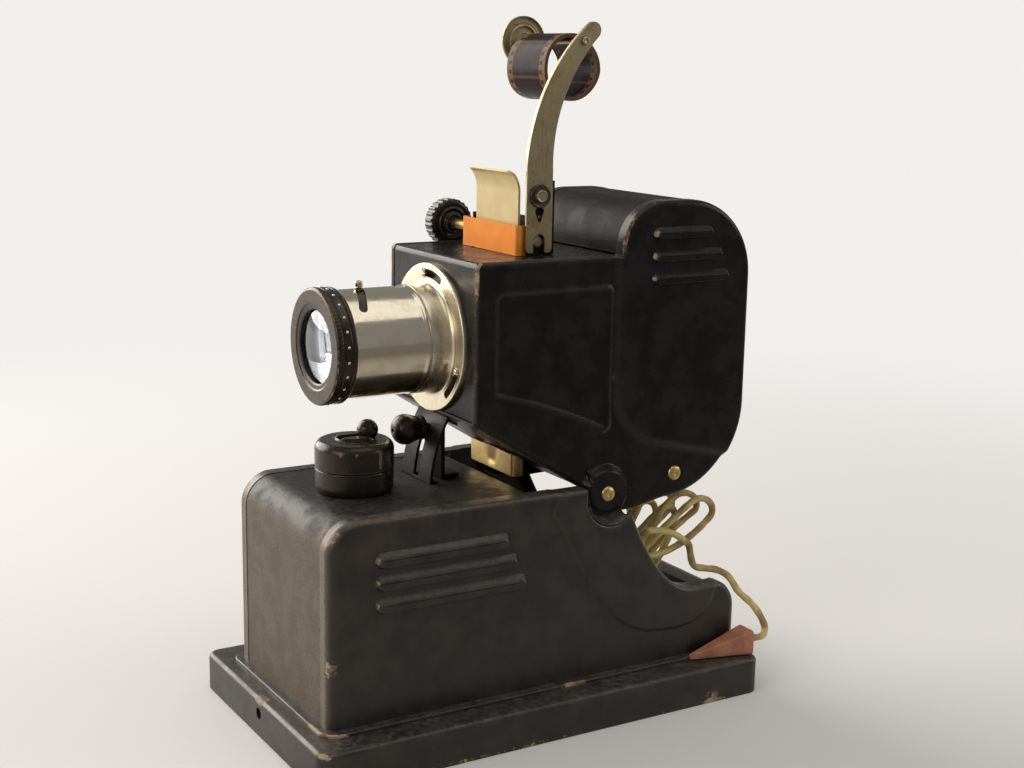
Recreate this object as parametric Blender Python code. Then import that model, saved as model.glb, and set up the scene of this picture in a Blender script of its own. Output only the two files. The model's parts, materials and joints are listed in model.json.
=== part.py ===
# Filmstrip projector: a sheet-metal base with a switch and a mains lead, and a tilting head with
# a lamp house, a film gate, a folding reel arm and a focusing lens.
# Metres, +Z up. The origin is the centre of the underside, and the lens looks along -Y.
import math

import bmesh
import bpy
import numpy as np
from mathutils import Vector
from mathutils.geometry import delaunay_2d_cdt

# Shared values
GAP = 0.0003
OVERRUN = 0.002
SHEET = 0.0012
CIRCLE_STEPS = 32
SMALL_STEPS = 20
ARC_STEPS = 6

# Plinth
PLINTH_LENGTH = 0.250
PLINTH_WIDTH = 0.146
PLINTH_HEIGHT = 0.019
PLINTH_CORNER = 0.007
PLINTH_EDGE = 0.0025
PLINTH_HOLE_RADIUS = 0.003
PLINTH_HOLE_HEIGHT = 0.012

# Housing
HOUSING_WIDTH = 0.108
HOUSING_TOP = 0.117
HOUSING_FRONT = -0.112
HOUSING_BEND = 0.015
DECK_REAR = -0.004
FOOT_WIDTH = 0.003
FRONT_FOOT_WIDTH = 0.0045
TAIL_TOP = 0.0576
TAIL_FRONT = 0.092
TAIL_REAR = 0.1215
TAIL_BEND = 0.015
REAR_CURVE_TOP = 0.0986
REAR_CURVE_START = 0.050
REAR_CURVE_POWER = 2.2
LOUVRE_RISE = 0.0025
LOUVRE_HEIGHT = 0.007
LOUVRE_PITCH = 0.0108
BASE_LOUVRE_TOP = 0.101
BASE_LOUVRE_FRONT = -0.090
BASE_LOUVRE_LENGTH = 0.072
BASE_LOUVRE_LENGTHENING = 0.005
BASE_LOUVRE_COUNT = 3

# Hinge of the head
HINGE_Y = 0.0402
HINGE_Z = 0.1122
DISC_RADIUS = 0.0145
DISC_SLOPE = 0.003
LOBE_RADIUS = 0.0102
LOBE_HEEL_DEG = 304.0
LOBE_TOE_DEG = 158.0
EAR_TOE_DEG = 190.0
EAR_HEEL_DEG = -76.0
EAR_RADIUS = 0.0093
EAR_OUTSIDE = 0.0475
HINGE_HOLE_RADIUS = 0.0023
HINGE_SHANK_RADIUS = 0.0019
SCREW_HEAD_RADIUS = 0.0040
SCREW_HEAD_HEIGHT = 0.0022
HINGE_SHANK_END = 0.0440

# Switch on the deck
SWITCH_Y = -0.074
SWITCH_RADIUS = 0.0191
SWITCH_BASE_HEIGHT = 0.0115
SWITCH_CAP_HEIGHT = 0.013
SWITCH_CAP_WALL = 0.003
SWITCH_RIM = 0.002
SWITCH_SEAT_RADIUS = 0.005
SWITCH_BOSS_RADIUS = 0.0095
SWITCH_BOSS_HEIGHT = 0.0018
SWITCH_SLOT_WIDTH = 0.0066
SWITCH_SLOT_LENGTH = 0.021
LEVER_PIVOT_RADIUS = 0.0030
LEVER_STEM_RADIUS = 0.0020
LEVER_BALL_RADIUS = 0.0050
LEVER_LENGTH = 0.0165
LEVER_LEAN_DEG = 32.0
LEVER_PIVOT_DROP = 0.0075

# Clamp of the tilt strip
CLAMP_X = -0.005
CLAMP_Z = 0.1425
BRACKET_Y = -0.0285
BRACKET_SHEET = 0.002
BRACKET_WIDTH = 0.018
BRACKET_HEIGHT = 0.0290
BRACKET_FOOT = 0.010
CLAMP_SHANK_RADIUS = 0.0020
CLAMP_HOLE_RADIUS = 0.0024
CLAMP_REACH = 0.0040
KNOB_FRONT = -0.0510
KNOB_REAR = -0.0345
KNOB_DOME_RADIUS = 0.0067
KNOB_WAIST_RADIUS = 0.0050
KNOB_DOME_LENGTH = 0.0070
KNOB_SEAT_RADIUS = 0.0060
CLAMP_HEAD_RADIUS = 0.0030
CLAMP_HEAD_HEIGHT = 0.0010
STRIP_RADIUS = 0.0785
STRIP_SHEET = 0.0015
STRIP_WIDTH = 0.030
STRIP_SLOT_WIDTH = 0.0050
STRIP_LOW_DEG = -6.0
STRIP_HIGH_DEG = 28.4
STRIP_SLOT_LOW_DEG = 4.5
STRIP_SLOT_HIGH_DEG = 25.4
STRIP_TAB = 0.006
DECK_SLOT_LENGTH = 0.0066

# Transformer and partition
CORE_WIDTH = 0.070
CORE_DEPTH = 0.030
CORE_HEIGHT = 0.058
CORE_Y = -0.074
CORE_WINDOW_WIDTH = 0.013
CORE_WINDOW_HEIGHT = 0.034
CORE_LEG_WIDTH = 0.020
WINDING_DEPTH = 0.050
PARTITION_Y = -0.0055

# Head
HEAD_WIDTH = 0.088
HEAD_FRONT = -0.034
HEAD_TOP = 0.2293
HEAD_FRONT_LOW = 0.1535
HEAD_BEND = 0.004
HEAD_LOW_REAR_Y = 0.0285
HEAD_LOW_REAR_Z = 0.1151
HEAD_FLOOR_REAR = 0.0250
HEAD_REAR_LOW_Y = 0.0600
HEAD_REAR_LOW_Z = 0.1006
LAMP_STEP = 0.0025
LAMP_STEP_FRONT = 0.0425
LAMP_STEP_SLOPE = 0.005
LAMP_STEP_LOW = 0.165
LAMP_STEP_BEND = 0.034
LAMP_STEP_REAR_Z = 0.118
LOBE_RISE = 0.005
HOOD_FRONT = 0.048
HOOD_TOP = 0.2555
HOOD_REAR = 0.126
HOOD_FRONT_BEND = 0.023
HOOD_REAR_BEND = 0.039
HOOD_LOW_BEND = 0.047
HOOD_LOW = 0.104
HOOD_WIDE_END_DEG = -25.0
HOOD_NARROW_END_DEG = -80.0
LAMP_LOUVRE_TOP = 0.2405
LAMP_LOUVRE_FRONT = 0.064
LAMP_LOUVRE_LENGTH = 0.038
LAMP_LOUVRE_LENGTHENING = 0.0055
LAMP_LOUVRE_PITCH = 0.0115
LAMP_LOUVRE_COUNT = 3
PANEL_RISE = 0.0010
PANEL_SLOPE = 0.0015
PANEL_FRONT = -0.0225
PANEL_REAR = 0.0425
PANEL_TOP = 0.2145
PANEL_FRONT_LOW = 0.1665
PANEL_REAR_LOW = 0.1435
PANEL_CORNER = 0.003

# Lamp, carrier and condenser
CARRIER_Y = 0.0844
CARRIER_Z = 0.1164
CARRIER_PLATE_Z = 0.121
CARRIER_LENGTH = 0.026
CARRIER_FLANGE = 0.0105
CARRIER_SHEET = 0.0015
CARRIER_SHANK_END = 0.0385
SOCKET_RADIUS = 0.013
SOCKET_HEIGHT = 0.028
SOCKET_BORE_RADIUS = 0.0095
SOCKET_BORE_DEPTH = 0.018
BULB_NECK_RADIUS = 0.009
BULB_RADIUS = 0.0165
BULB_NECK_TOP = 0.155
BULB_TOP = 0.217
REFLECTOR_RADIUS = 0.024
REFLECTOR_CURVE = 0.040
REFLECTOR_WALL = 0.0012
REFLECTOR_Y = 0.108
REFLECTOR_STEM_RADIUS = 0.003
CONDENSER_Y = 0.0440
CONDENSER_RADIUS = 0.0240
CONDENSER_WALL = 0.0014
CONDENSER_FRONT = 0.0220
CONDENSER_REAR = 0.0500
CONDENSER_CROWN = 0.0055
CONDENSER_EDGE = 0.0020
CONDENSER_PLATE_LOW = 0.150

# Film gate
LENS_Z = 0.1885
FILM_WIDTH = 0.035
APERTURE_WIDTH = 0.024
APERTURE_HEIGHT = 0.018
GATE_Y = 0.0034
GATE_WIDTH = 0.0435
GATE_TOP = 0.262
GATE_LOW = 0.146
GATE_LIP_REACH = 0.0070
GATE_LIP_RISE = 0.0065
GATE_CORNER = 0.004
FILM_SPACE = 0.002
GATE_SLOT_MARGIN = 0.0004
COVER_Y = 0.0002
COVER_WIDTH = 0.052
COVER_HEIGHT = 0.0144
COVER_RETURN = 0.0036
CHUTE_WIDTH = 0.042
CHUTE_Y = 0.0024
CHUTE_LOW = 0.108
CHUTE_TOP = 0.1300
CHUTE_RETURN = 0.0050
CHUTE_NOTCH_WIDTH = 0.011
CHUTE_NOTCH_DEPTH = 0.008

# Film drive and gate bracket
DRIVE_Y = 0.010
DRIVE_Z = 0.2373
SHAFT_RADIUS = 0.0025
SHAFT_NEAR = 0.0264
SHAFT_FAR = -0.0655
ROLLER_RADIUS = 0.0043
ROLLER_NECK_RADIUS = 0.0036
ROLLER_FLANGE = 0.0060
FILM_KNOB_RADIUS = 0.0118
FILM_KNOB_NEAR = -0.0560
FILM_KNOB_FAR = -0.0660
FILM_KNOB_FLUTES = 14
FILM_KNOB_FLUTE_RADIUS = 0.0014
FILM_KNOB_HUB_RADIUS = 0.0050
FILM_KNOB_HUB_LENGTH = 0.0020
EAR_X = 0.0253
EAR_FRONT = 0.0049
EAR_REAR = 0.0200
EAR_TOP = 0.2650
EAR_LOW_TOP = 0.2460
BEARING_GAP = 0.0003

# Reel arm, axle, spool disc and film roll
ARM_X = 0.0270
ARM_SHEET = 0.0015
ARM_Y = 0.0104
ARM_LOW = 0.2306
ARM_PIVOT_Z = 0.2580
ARM_BEND_Z = 0.270
ARM_BEND_RADIUS = 0.090
ARM_TIP_DEG = 47.0
ARM_WIDTH = 0.0146
ARM_TIP_WIDTH = 0.0082
ARM_NOTCH_WIDTH = 0.0040
ARM_NOTCH_DEPTH = 0.0090
ARM_SLOT_WIDTH = 0.0050
ARM_SLOT_TOP = 0.2530
ARM_SLOT_LOW = 0.2455
RIVET_SHANK_RADIUS = 0.0020
RIVET_HOLE_RADIUS = 0.0024
RIVET_WASHER_RADIUS = 0.0056
RIVET_WASHER_HEIGHT = 0.0007
RIVET_HEAD_RADIUS = 0.0030
RIVET_HEAD_HEIGHT = 0.0016
AXLE_DEG = 42.5
AXLE_RADIUS = 0.0015
AXLE_HEAD_RADIUS = 0.0030
AXLE_HEAD_HEIGHT = 0.0012
AXLE_FAR = -0.0305
DISC_X = -0.0290
SPOOL_RADIUS = 0.0125
SPOOL_SHEET = 0.0010
SPOOL_RING_RADIUS = 0.0075
SPOOL_RING_RISE = 0.0008
ROLL_RADIUS = 0.0165
ROLL_WALL = 0.0022

# Lens
FLANGE_RADIUS = 0.0362
FLANGE_SHEET = 0.0020
SLEEVE_RADIUS = 0.0260
SLEEVE_WALL = 0.0012
SLEEVE_FRONT = -0.0842
SLEEVE_REAR = -0.0300
SLEEVE_COLLAR_RADIUS = 0.0275
SLEEVE_COLLAR_LENGTH = 0.0045
SLEEVE_BEAD_Y = -0.0450
SLEEVE_BEAD_RISE = 0.0005
SLEEVE_BEAD_LENGTH = 0.0024
LENS_HOLE_RADIUS = 0.0264
MOUNT_SCREW_RADIUS = 0.0315
MOUNT_SCREW_DEG = (98.0, 218.0, 338.0)
MOUNT_SCREW_HEAD_RADIUS = 0.0030
MOUNT_SCREW_HEAD_HEIGHT = 0.0018
MOUNT_SHANK_RADIUS = 0.0015
MOUNT_SHANK_LENGTH = 0.0060
MOUNT_SLOT_WIDTH = 0.0040
MOUNT_SLOT_DEG = 28.0
TUBE_RADIUS = 0.0244
TUBE_WALL = 0.0020
TUBE_FRONT = -0.0928
TUBE_REAR = -0.0420
TUBE_CELL_RADIUS = 0.0186
TUBE_CELL_LENGTH = 0.0120
RING_RADIUS = 0.0280
RING_FRONT = -0.0950
RING_REAR = -0.0845
RING_LIP_RADIUS = 0.0175
RING_LIP = 0.0019
RING_CHAMFER = 0.0012
PIN_Y = -0.0715
PIN_RADIUS = 0.0018
PIN_HEAD_RADIUS = 0.0025
PIN_HEAD_LOW = 0.0267
PIN_TOP = 0.0300
PIN_SLOT_WIDTH = 0.0046
PIN_TURN_DEG = 40.0
PIN_TRAVEL = 0.0050
FRONT_GLASS_RADIUS = 0.0182
FRONT_GLASS_FRONT = -0.0890
FRONT_GLASS_EDGE = 0.0040
FRONT_GLASS_CROWN = 0.0030
REAR_GLASS_RADIUS = 0.0220
REAR_GLASS_FRONT = -0.0560
REAR_GLASS_EDGE = 0.0035
REAR_GLASS_CROWN = 0.0025

# Cord
CORD_DIAMETER = 0.0038
HANK_RESOLUTION = 1
FREE_RESOLUTION = 2
FREE_SPACING = 0.0085
BUSH_Z = 0.050
BUSH_RADIUS = 0.0045
BUSH_FLANGE_RADIUS = 0.0065
BUSH_FLANGE = 0.0020
BUSH_TAIL_LENGTH = 0.0200
BUSH_TIP_RADIUS = 0.0030
HANK_X = 0.0140
HANK_Y = 0.1030
HANK_Z = 0.0760
HANK_SLOPE_DEG = 33.0
HANK_STRAIGHT = 0.034
HANK_INNER_RADIUS = 0.0076
HANK_PITCH = 0.0045
HANK_LAYERS = 4
HANK_LOOPS_PER_LAYER = 2
HANK_POINTS_PER_LOOP = 24
HANK_RUN_SHARE = 0.125
HANK_CLIMB_SHARE = 0.36
PLUG_X = 0.0635
PLUG_FRONT = 0.0890
PLUG_REAR = 0.1220
PLUG_WIDTH = 0.0130
PLUG_HEIGHT = 0.0130
PLUG_TIP_WIDTH = 0.0040
PLUG_TIP_HEIGHT = 0.0045
PLUG_EDGE = 0.0012

# Where the two free cords run, between their straight ends
LEAD_ROUTE = [(0.0306, 0.0290, 0.0505), (0.0306, 0.0400, 0.0526), (0.0306, 0.0520, 0.0562),
              (0.0306, 0.0660, 0.0615), (0.0306, 0.0770, 0.0671)]
TAIL_ROUTE = [(0.0312, 0.1030, 0.0670), (0.0320, 0.1070, 0.0674), (0.0332, 0.1115, 0.0660),
              (0.0348, 0.1160, 0.0628), (0.0370, 0.1205, 0.0580), (0.0400, 0.1250, 0.0520),
              (0.0445, 0.1295, 0.0455), (0.0500, 0.1338, 0.0400), (0.0560, 0.1370, 0.0345),
              (0.0610, 0.1370, 0.0295), (0.0633, 0.1325, 0.0265)]


# Finishes: colour, roughness, metallic
FINISHES = {
    "black_enamel": ((0.020, 0.019, 0.020), 0.35, 0.0),
    "bakelite": ((0.016, 0.011, 0.009), 0.25, 0.0),
    "nickel": ((0.62, 0.57, 0.46), 0.28, 1.0),
    "aged_nickel": ((0.36, 0.32, 0.22), 0.45, 1.0),
    "brass": ((0.62, 0.42, 0.17), 0.35, 1.0),
    "cream_plate": ((0.72, 0.62, 0.40), 0.35, 0.3),
    "orange_enamel": ((0.75, 0.20, 0.05), 0.35, 0.0),
    "steel": ((0.45, 0.44, 0.42), 0.40, 1.0),
    "iron_core": ((0.10, 0.09, 0.08), 0.60, 0.6),
    "copper_winding": ((0.35, 0.16, 0.07), 0.50, 0.2),
    "porcelain": ((0.75, 0.73, 0.68), 0.25, 0.0),
    "glass": ((0.80, 0.84, 0.86), 0.05, 0.0),
    "mirror": ((0.85, 0.85, 0.85), 0.08, 1.0),
    "film": ((0.07, 0.03, 0.04), 0.25, 0.0),
    "cotton_flex": ((0.55, 0.43, 0.12), 0.85, 0.0),
    "terracotta": ((0.42, 0.15, 0.09), 0.60, 0.0),
}


def clear_scene():
    for item in list(bpy.data.objects):
        bpy.data.objects.remove(item, do_unlink=True)


def finish(name):
    """The material of one finish, made the first time that it is asked for."""
    found = bpy.data.materials.get(name)
    if found:
        return found
    colour, roughness, metallic = FINISHES[name]
    made = bpy.data.materials.new(name)
    made.use_nodes = True
    shader = made.node_tree.nodes["Principled BSDF"]
    shader.inputs["Base Color"].default_value = (*colour, 1.0)
    shader.inputs["Roughness"].default_value = roughness
    shader.inputs["Metallic"].default_value = metallic
    return made


def pivot(name, place, parent=None):
    """An empty on a joint's axis, which the pieces of the moving body hang from."""
    made = bpy.data.objects.new(name, None)
    bpy.context.collection.objects.link(made)
    made.parent = parent
    above = parent["place"] if parent else (0, 0, 0)
    made.location = Vector(place) - Vector(above)
    made["place"] = tuple(place)
    return made


def mesh_from(points, faces):
    """A mesh with its faces turned outwards."""
    mesh = bpy.data.meshes.new("solid")
    mesh.from_pydata([tuple(p) for p in points], [], faces)
    shape = bmesh.new()
    shape.from_mesh(mesh)
    bmesh.ops.recalc_face_normals(shape, faces=shape.faces)
    shape.to_mesh(mesh)
    shape.free()
    return mesh


def evaluate(item):
    depsgraph = bpy.context.evaluated_depsgraph_get()
    return bpy.data.meshes.new_from_object(item.evaluated_get(depsgraph))


def boolean(mesh, others, operation):
    """The mesh after each of the others is cut from it or joined to it."""
    body = bpy.data.objects.new("body", mesh)
    bpy.context.collection.objects.link(body)
    tools = []
    for other in others:
        tool = bpy.data.objects.new("tool", other)
        bpy.context.collection.objects.link(tool)
        step = body.modifiers.new("step", "BOOLEAN")
        step.solver = "EXACT"
        step.operation = operation
        step.object = tool
        tools.append(tool)
    result = evaluate(body)
    for item in [body, *tools]:
        bpy.data.objects.remove(item, do_unlink=True)
    return result


def cut(mesh, *cutters):
    return boolean(mesh, cutters, "DIFFERENCE")


def join(mesh, *others):
    return boolean(mesh, others, "UNION")


def piece(name, mesh, finish_name, parent=None, smooth_deg=35.0):
    """A named piece. Its mesh is given in world places, and its origin is its pivot."""
    if parent:
        offset = Vector(parent["place"])
        for vertex in mesh.vertices:
            vertex.co -= offset
    made = bpy.data.objects.new(name, mesh)
    bpy.context.collection.objects.link(made)
    made.parent = parent
    mesh.materials.clear()
    mesh.materials.append(finish(finish_name))
    mesh.shade_smooth()
    mesh.set_sharp_from_angle(angle=math.radians(smooth_deg))
    return made


# Axis names and how a flat outline's two numbers lie across each axis
ACROSS = {"X": (1, 2, 0), "Y": (0, 2, 1), "Z": (0, 1, 2)}


def spread(flat, along, axis):
    """Points of space from pairs across an axis and one place along it."""
    first, second, third = ACROSS[axis]
    points = np.zeros((len(flat), 3))
    points[:, first] = [p[0] for p in flat]
    points[:, second] = [p[1] for p in flat]
    points[:, third] = along
    return points


def prism(outline, low, high, axis):
    """An outline carried straight from one place to another along an axis."""
    count = len(outline)
    points = np.vstack([spread(outline, low, axis), spread(outline, high, axis)])
    sides = [(i, (i + 1) % count, count + (i + 1) % count, count + i) for i in range(count)]
    ends = [tuple(range(count)), tuple(range(2 * count - 1, count - 1, -1))]
    return mesh_from(points, sides + ends)


def block(low, high):
    """A box between two corners."""
    outline = [(low[0], low[1]), (high[0], low[1]), (high[0], high[1]), (low[0], high[1])]
    return prism(outline, low[2], high[2], "Z")


def circle(centre, radius, steps):
    angles = [2 * math.pi * i / steps for i in range(steps)]
    return [(centre[0] + radius * math.cos(a), centre[1] + radius * math.sin(a)) for a in angles]


def arc(centre, radius, start_deg, end_deg, steps=ARC_STEPS):
    angles = np.radians(np.linspace(start_deg, end_deg, steps + 1))
    return [(centre[0] + radius * math.cos(a), centre[1] + radius * math.sin(a)) for a in angles]


def rod(centre, radius, low, high, axis, steps=SMALL_STEPS):
    """A round bar: its centre is given across the axis."""
    return prism(circle(centre, radius, steps), low, high, axis)


def rounded_rectangle(low, high, radius, steps=ARC_STEPS):
    corners = [((high[0] - radius, high[1] - radius), 0), ((low[0] + radius, high[1] - radius), 90),
               ((low[0] + radius, low[1] + radius), 180), ((high[0] - radius, low[1] + radius), 270)]
    return [p for centre, turn in corners for p in arc(centre, radius, turn, turn + 90, steps)]


def turned(profile, centre, axis, steps=CIRCLE_STEPS, closed=False):
    """A profile of (radius, place along the axis) turned about the axis through a centre.

    A closed profile makes a ring or a tube. An open one starts and ends on the axis.
    """
    rows = []
    points = []
    for radius, along in profile:
        if radius == 0:
            ring = [centre]
        else:
            ring = circle(centre, radius, steps)
        rows.append(range(len(points), len(points) + len(ring)))
        points.extend(spread(ring, along, axis))
    faces = []
    pairs = list(zip(rows, rows[1:])) + ([(rows[-1], rows[0])] if closed else [])
    for one, two in pairs:
        for i in range(steps):
            j = (i + 1) % steps
            corners = [one[i % len(one)], one[j % len(one)], two[j % len(two)], two[i % len(two)]]
            corners = list(dict.fromkeys(corners))
            if len(corners) > 2:
                faces.append(tuple(corners))
    return mesh_from(points, faces)


def tube(radius, bore, low, high, centre, axis, steps=CIRCLE_STEPS):
    profile = [(radius, low), (radius, high), (bore, high), (bore, low)]
    return turned(profile, centre, axis, steps, closed=True)


def band(path, thickness):
    """The outline of a strip that lies to the right of an open path."""
    points = np.array(path)
    steps = np.diff(points, axis=0)
    steps /= np.linalg.norm(steps, axis=1)[:, None]
    right = np.stack([steps[:, 1], -steps[:, 0]], axis=1)
    before = np.vstack([right[:1], right])
    after = np.vstack([right, right[-1:]])
    middle = before + after
    middle /= (1 + np.sum(before * after, axis=1))[:, None]
    inner = points + thickness * middle
    return [tuple(p) for p in points] + [tuple(p) for p in inner[::-1]]


def inside(point, loop):
    """True where a point lies within a closed loop of the plane."""
    y, z = point
    hit = False
    for (y0, z0), (y1, z1) in zip(loop, loop[1:] + loop[:1]):
        if (z0 > z) != (z1 > z) and y < y0 + (z - z0) * (y1 - y0) / (z1 - z0):
            hit = not hit
    return hit


def depth_in(point, loop):
    """How far inside a loop a point lies, and zero outside."""
    if not inside(point, loop):
        return 0
    p = np.array(point)
    a = np.array(loop)
    b = np.roll(a, -1, axis=0)
    share = np.sum((p - a) * (b - a), axis=1) / np.sum((b - a) ** 2, axis=1)
    nearest = a + np.clip(share, 0, 1)[:, None] * (b - a)
    return float(np.min(np.linalg.norm(p - nearest, axis=1)))


def inset(loop, distance):
    """A loop drawn in by a distance, for shapes without sharp hollows."""
    points = np.array(loop)
    ahead = np.roll(points, -1, axis=0) - points
    ahead /= np.linalg.norm(ahead, axis=1)[:, None]
    behind = np.roll(ahead, 1, axis=0)
    left = np.stack([-(ahead + behind)[:, 1], (ahead + behind)[:, 0]], axis=1)
    left /= (1 + np.sum(ahead * behind, axis=1))[:, None]
    return [tuple(p) for p in points + distance * left]


def pressed_sheet(outline, face, zones, holes, side):
    """A cheek of sheet metal, pressed outwards or inwards in zones.

    outline, holes: loops of (y, z). face: how far the plain sheet's outer face is from X = 0.
    zones: (loop, rise, slope), each loop anticlockwise. side: +1 for the right cheek.
    """
    rims = [inset(loop, slope) for loop, rise, slope in zones]
    loops = [outline] + [loop for loop, rise, slope in zones] + rims + holes
    points = [Vector(p) for loop in loops for p in loop]
    edges = []
    start = 0
    for loop in loops:
        count = len(loop)
        edges += [(start + i, start + (i + 1) % count) for i in range(count)]
        start += count
    flat, _, cells, *_ = delaunay_2d_cdt(points, edges, [], 0, GAP * GAP)
    kept = []
    for cell in cells:
        middle = sum((flat[i] for i in cell), Vector((0, 0))) / len(cell)
        if inside(middle, outline) and not any(inside(middle, hole) for hole in holes):
            kept.append(cell)
    outer = []
    for place in flat:
        height = face
        for loop, rise, slope in zones:
            height += rise * min(depth_in(place, loop) / slope, 1)
        outer.append((side * height, place[0], place[1]))
    inner = [(x - side * SHEET, y, z) for x, y, z in outer]
    count = len(outer)
    faces = [tuple(cell) for cell in kept]
    faces += [tuple(count + i for i in reversed(cell)) for cell in kept]
    borders = {}
    for cell in kept:
        for i, j in zip(cell, cell[1:] + cell[:1]):
            borders[(i, j)] = borders.get((i, j), 0) + 1
    for i, j in borders:
        if (j, i) not in borders:
            faces.append((j, i, count + i, count + j))
    used = sorted({i for corners in faces for i in corners})
    index = {old: new for new, old in enumerate(used)}
    points = [(outer + inner)[i] for i in used]
    return mesh_from(points, [tuple(index[i] for i in corners) for corners in faces])


def louvre(front, low, length):
    """The loop of one louvre: a long rib with round ends."""
    radius = LOUVRE_HEIGHT / 2
    middle = low + radius
    return (arc((front + length - radius, middle), radius, -90, 90, 4)
            + arc((front + radius, middle), radius, 90, 270, 4))


def make_plinth():
    half_width = PLINTH_WIDTH / 2
    half_length = PLINTH_LENGTH / 2
    low = (-half_width, -half_length)
    high = (half_width, half_length)
    outline = rounded_rectangle(low, high, PLINTH_CORNER)
    top = inset(outline, PLINTH_EDGE)
    count = len(outline)
    shoulder = PLINTH_HEIGHT - PLINTH_EDGE
    rows = [spread(outline, 0, "Z"), spread(outline, shoulder, "Z"),
            spread(inset(outline, PLINTH_EDGE / 4), PLINTH_HEIGHT - PLINTH_EDGE / 4, "Z"),
            spread(top, PLINTH_HEIGHT, "Z")]
    faces = [tuple(range(count)), tuple(range(4 * count - 1, 3 * count - 1, -1))]
    for row in range(3):
        for i in range(count):
            j = (i + 1) % count
            faces.append((row * count + i, row * count + j, (row + 1) * count + j, (row + 1) * count + i))
    shell = mesh_from(np.vstack(rows), faces)
    hollow = rounded_rectangle((low[0] + SHEET, low[1] + SHEET), (high[0] - SHEET, high[1] - SHEET),
                               PLINTH_CORNER - SHEET)
    key_hole = rod((0, PLINTH_HOLE_HEIGHT), PLINTH_HOLE_RADIUS, low[1] - OVERRUN,
                   low[1] + SHEET + OVERRUN, "Y")
    shell = cut(shell, prism(hollow, -OVERRUN, PLINTH_HEIGHT - PLINTH_EDGE, "Z"), key_hole)
    piece("plinth", shell, "black_enamel")

    wall = SHEET + GAP
    outline = rounded_rectangle((low[0] + wall, low[1] + wall), (high[0] - wall, high[1] - wall),
                                PLINTH_CORNER - wall)
    piece("bottom_plate", prism(outline, 0, SHEET, "Z"), "steel")


def tail_path():
    """The tail sheet's outer line, from its free front edge over the top and down to the plinth."""
    centre = (TAIL_REAR - TAIL_BEND, TAIL_TOP - TAIL_BEND)
    return ([(TAIL_FRONT, TAIL_TOP)] + arc(centre, TAIL_BEND, 90, 0)
            + [(TAIL_REAR, PLINTH_HEIGHT + GAP)])


def deck_path():
    """The front sheet's outer line, from the plinth up the front and back along the deck."""
    centre = (HOUSING_FRONT + HOUSING_BEND, HOUSING_TOP - HOUSING_BEND)
    return ([(HOUSING_FRONT, PLINTH_HEIGHT + GAP)] + arc(centre, HOUSING_BEND, 180, 90)
            + [(DECK_REAR, HOUSING_TOP)])


def housing_outline():
    """The base cheek: front, deck, ear round the hinge, hollow rear curve and tail."""
    hinge = (HINGE_Y, HINGE_Z)
    share = np.linspace(0, 1, 10)
    rise = (REAR_CURVE_TOP - TAIL_TOP) * (1 - share) ** REAR_CURVE_POWER
    rear_curve = [(REAR_CURVE_START + s * (TAIL_FRONT - REAR_CURVE_START), TAIL_TOP + r)
                  for s, r in zip(share, rise)]
    ear = arc(hinge, EAR_RADIUS, EAR_TOE_DEG, EAR_HEEL_DEG, 16)
    ear_foot = arc(hinge, DISC_RADIUS, EAR_TOE_DEG, EAR_TOE_DEG, 1)[:1]
    ear_heel = arc(hinge, DISC_RADIUS, EAR_HEEL_DEG, EAR_HEEL_DEG, 1)[:1]
    deck_end = [(ear_foot[0][0], HOUSING_TOP)]
    return deck_path()[:-1] + deck_end + ear_foot + ear + ear_heel + rear_curve + tail_path()[1:]


def make_housing():
    half = HOUSING_WIDTH / 2
    floor = PLINTH_HEIGHT + GAP
    hinge = (HINGE_Y, HINGE_Z)
    inner_half = half - SHEET - GAP
    outline = housing_outline()[::-1]
    zones = [(circle(hinge, DISC_RADIUS, 28), EAR_OUTSIDE - half, DISC_SLOPE)]
    for row in range(BASE_LOUVRE_COUNT):
        loop = louvre(BASE_LOUVRE_FRONT, BASE_LOUVRE_TOP - LOUVRE_HEIGHT - row * LOUVRE_PITCH,
                      BASE_LOUVRE_LENGTH + row * BASE_LOUVRE_LENGTHENING)
        zones.append((loop, LOUVRE_RISE, LOUVRE_HEIGHT / 4))
    holes = [circle(hinge, HINGE_HOLE_RADIUS, 16)]
    for name, side in (("housing_cheek_right", 1), ("housing_cheek_left", -1)):
        cheek = pressed_sheet(outline, half, zones, holes, side)
        edges = sorted([side * (half - SHEET / 2), side * (half + FOOT_WIDTH)])
        foot = block((edges[0], HOUSING_FRONT, floor), (edges[1], TAIL_REAR, floor + SHEET))
        piece(name, join(cheek, foot), "black_enamel")

    sheet = prism(band(deck_path(), SHEET), -inner_half, inner_half, "X")
    foot = block((-inner_half, HOUSING_FRONT - FRONT_FOOT_WIDTH, floor),
                 (inner_half, HOUSING_FRONT + SHEET / 2, floor + SHEET))
    sheet = join(sheet, foot)
    strip_half = STRIP_WIDTH / 2 + GAP
    strip_y = HINGE_Y - STRIP_RADIUS
    slot = block((CLAMP_X - strip_half, strip_y - GAP, HOUSING_TOP - SHEET - OVERRUN),
                 (CLAMP_X + strip_half, strip_y - GAP + DECK_SLOT_LENGTH, HOUSING_TOP + OVERRUN))
    piece("housing_front_sheet", cut(sheet, slot), "black_enamel")

    sheet = prism(band(tail_path(), SHEET), -inner_half, inner_half, "X")
    piece("housing_tail_sheet", sheet, "black_enamel")

    wall = block((-inner_half, PARTITION_Y, floor),
                 (inner_half, PARTITION_Y + SHEET, HOUSING_TOP - SHEET - GAP))
    bush_hole = rod((cord_side(), BUSH_Z), BUSH_RADIUS + GAP, PARTITION_Y - OVERRUN,
                    PARTITION_Y + SHEET + OVERRUN, "Y")
    piece("housing_partition", cut(wall, bush_hole), "black_enamel")


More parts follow.
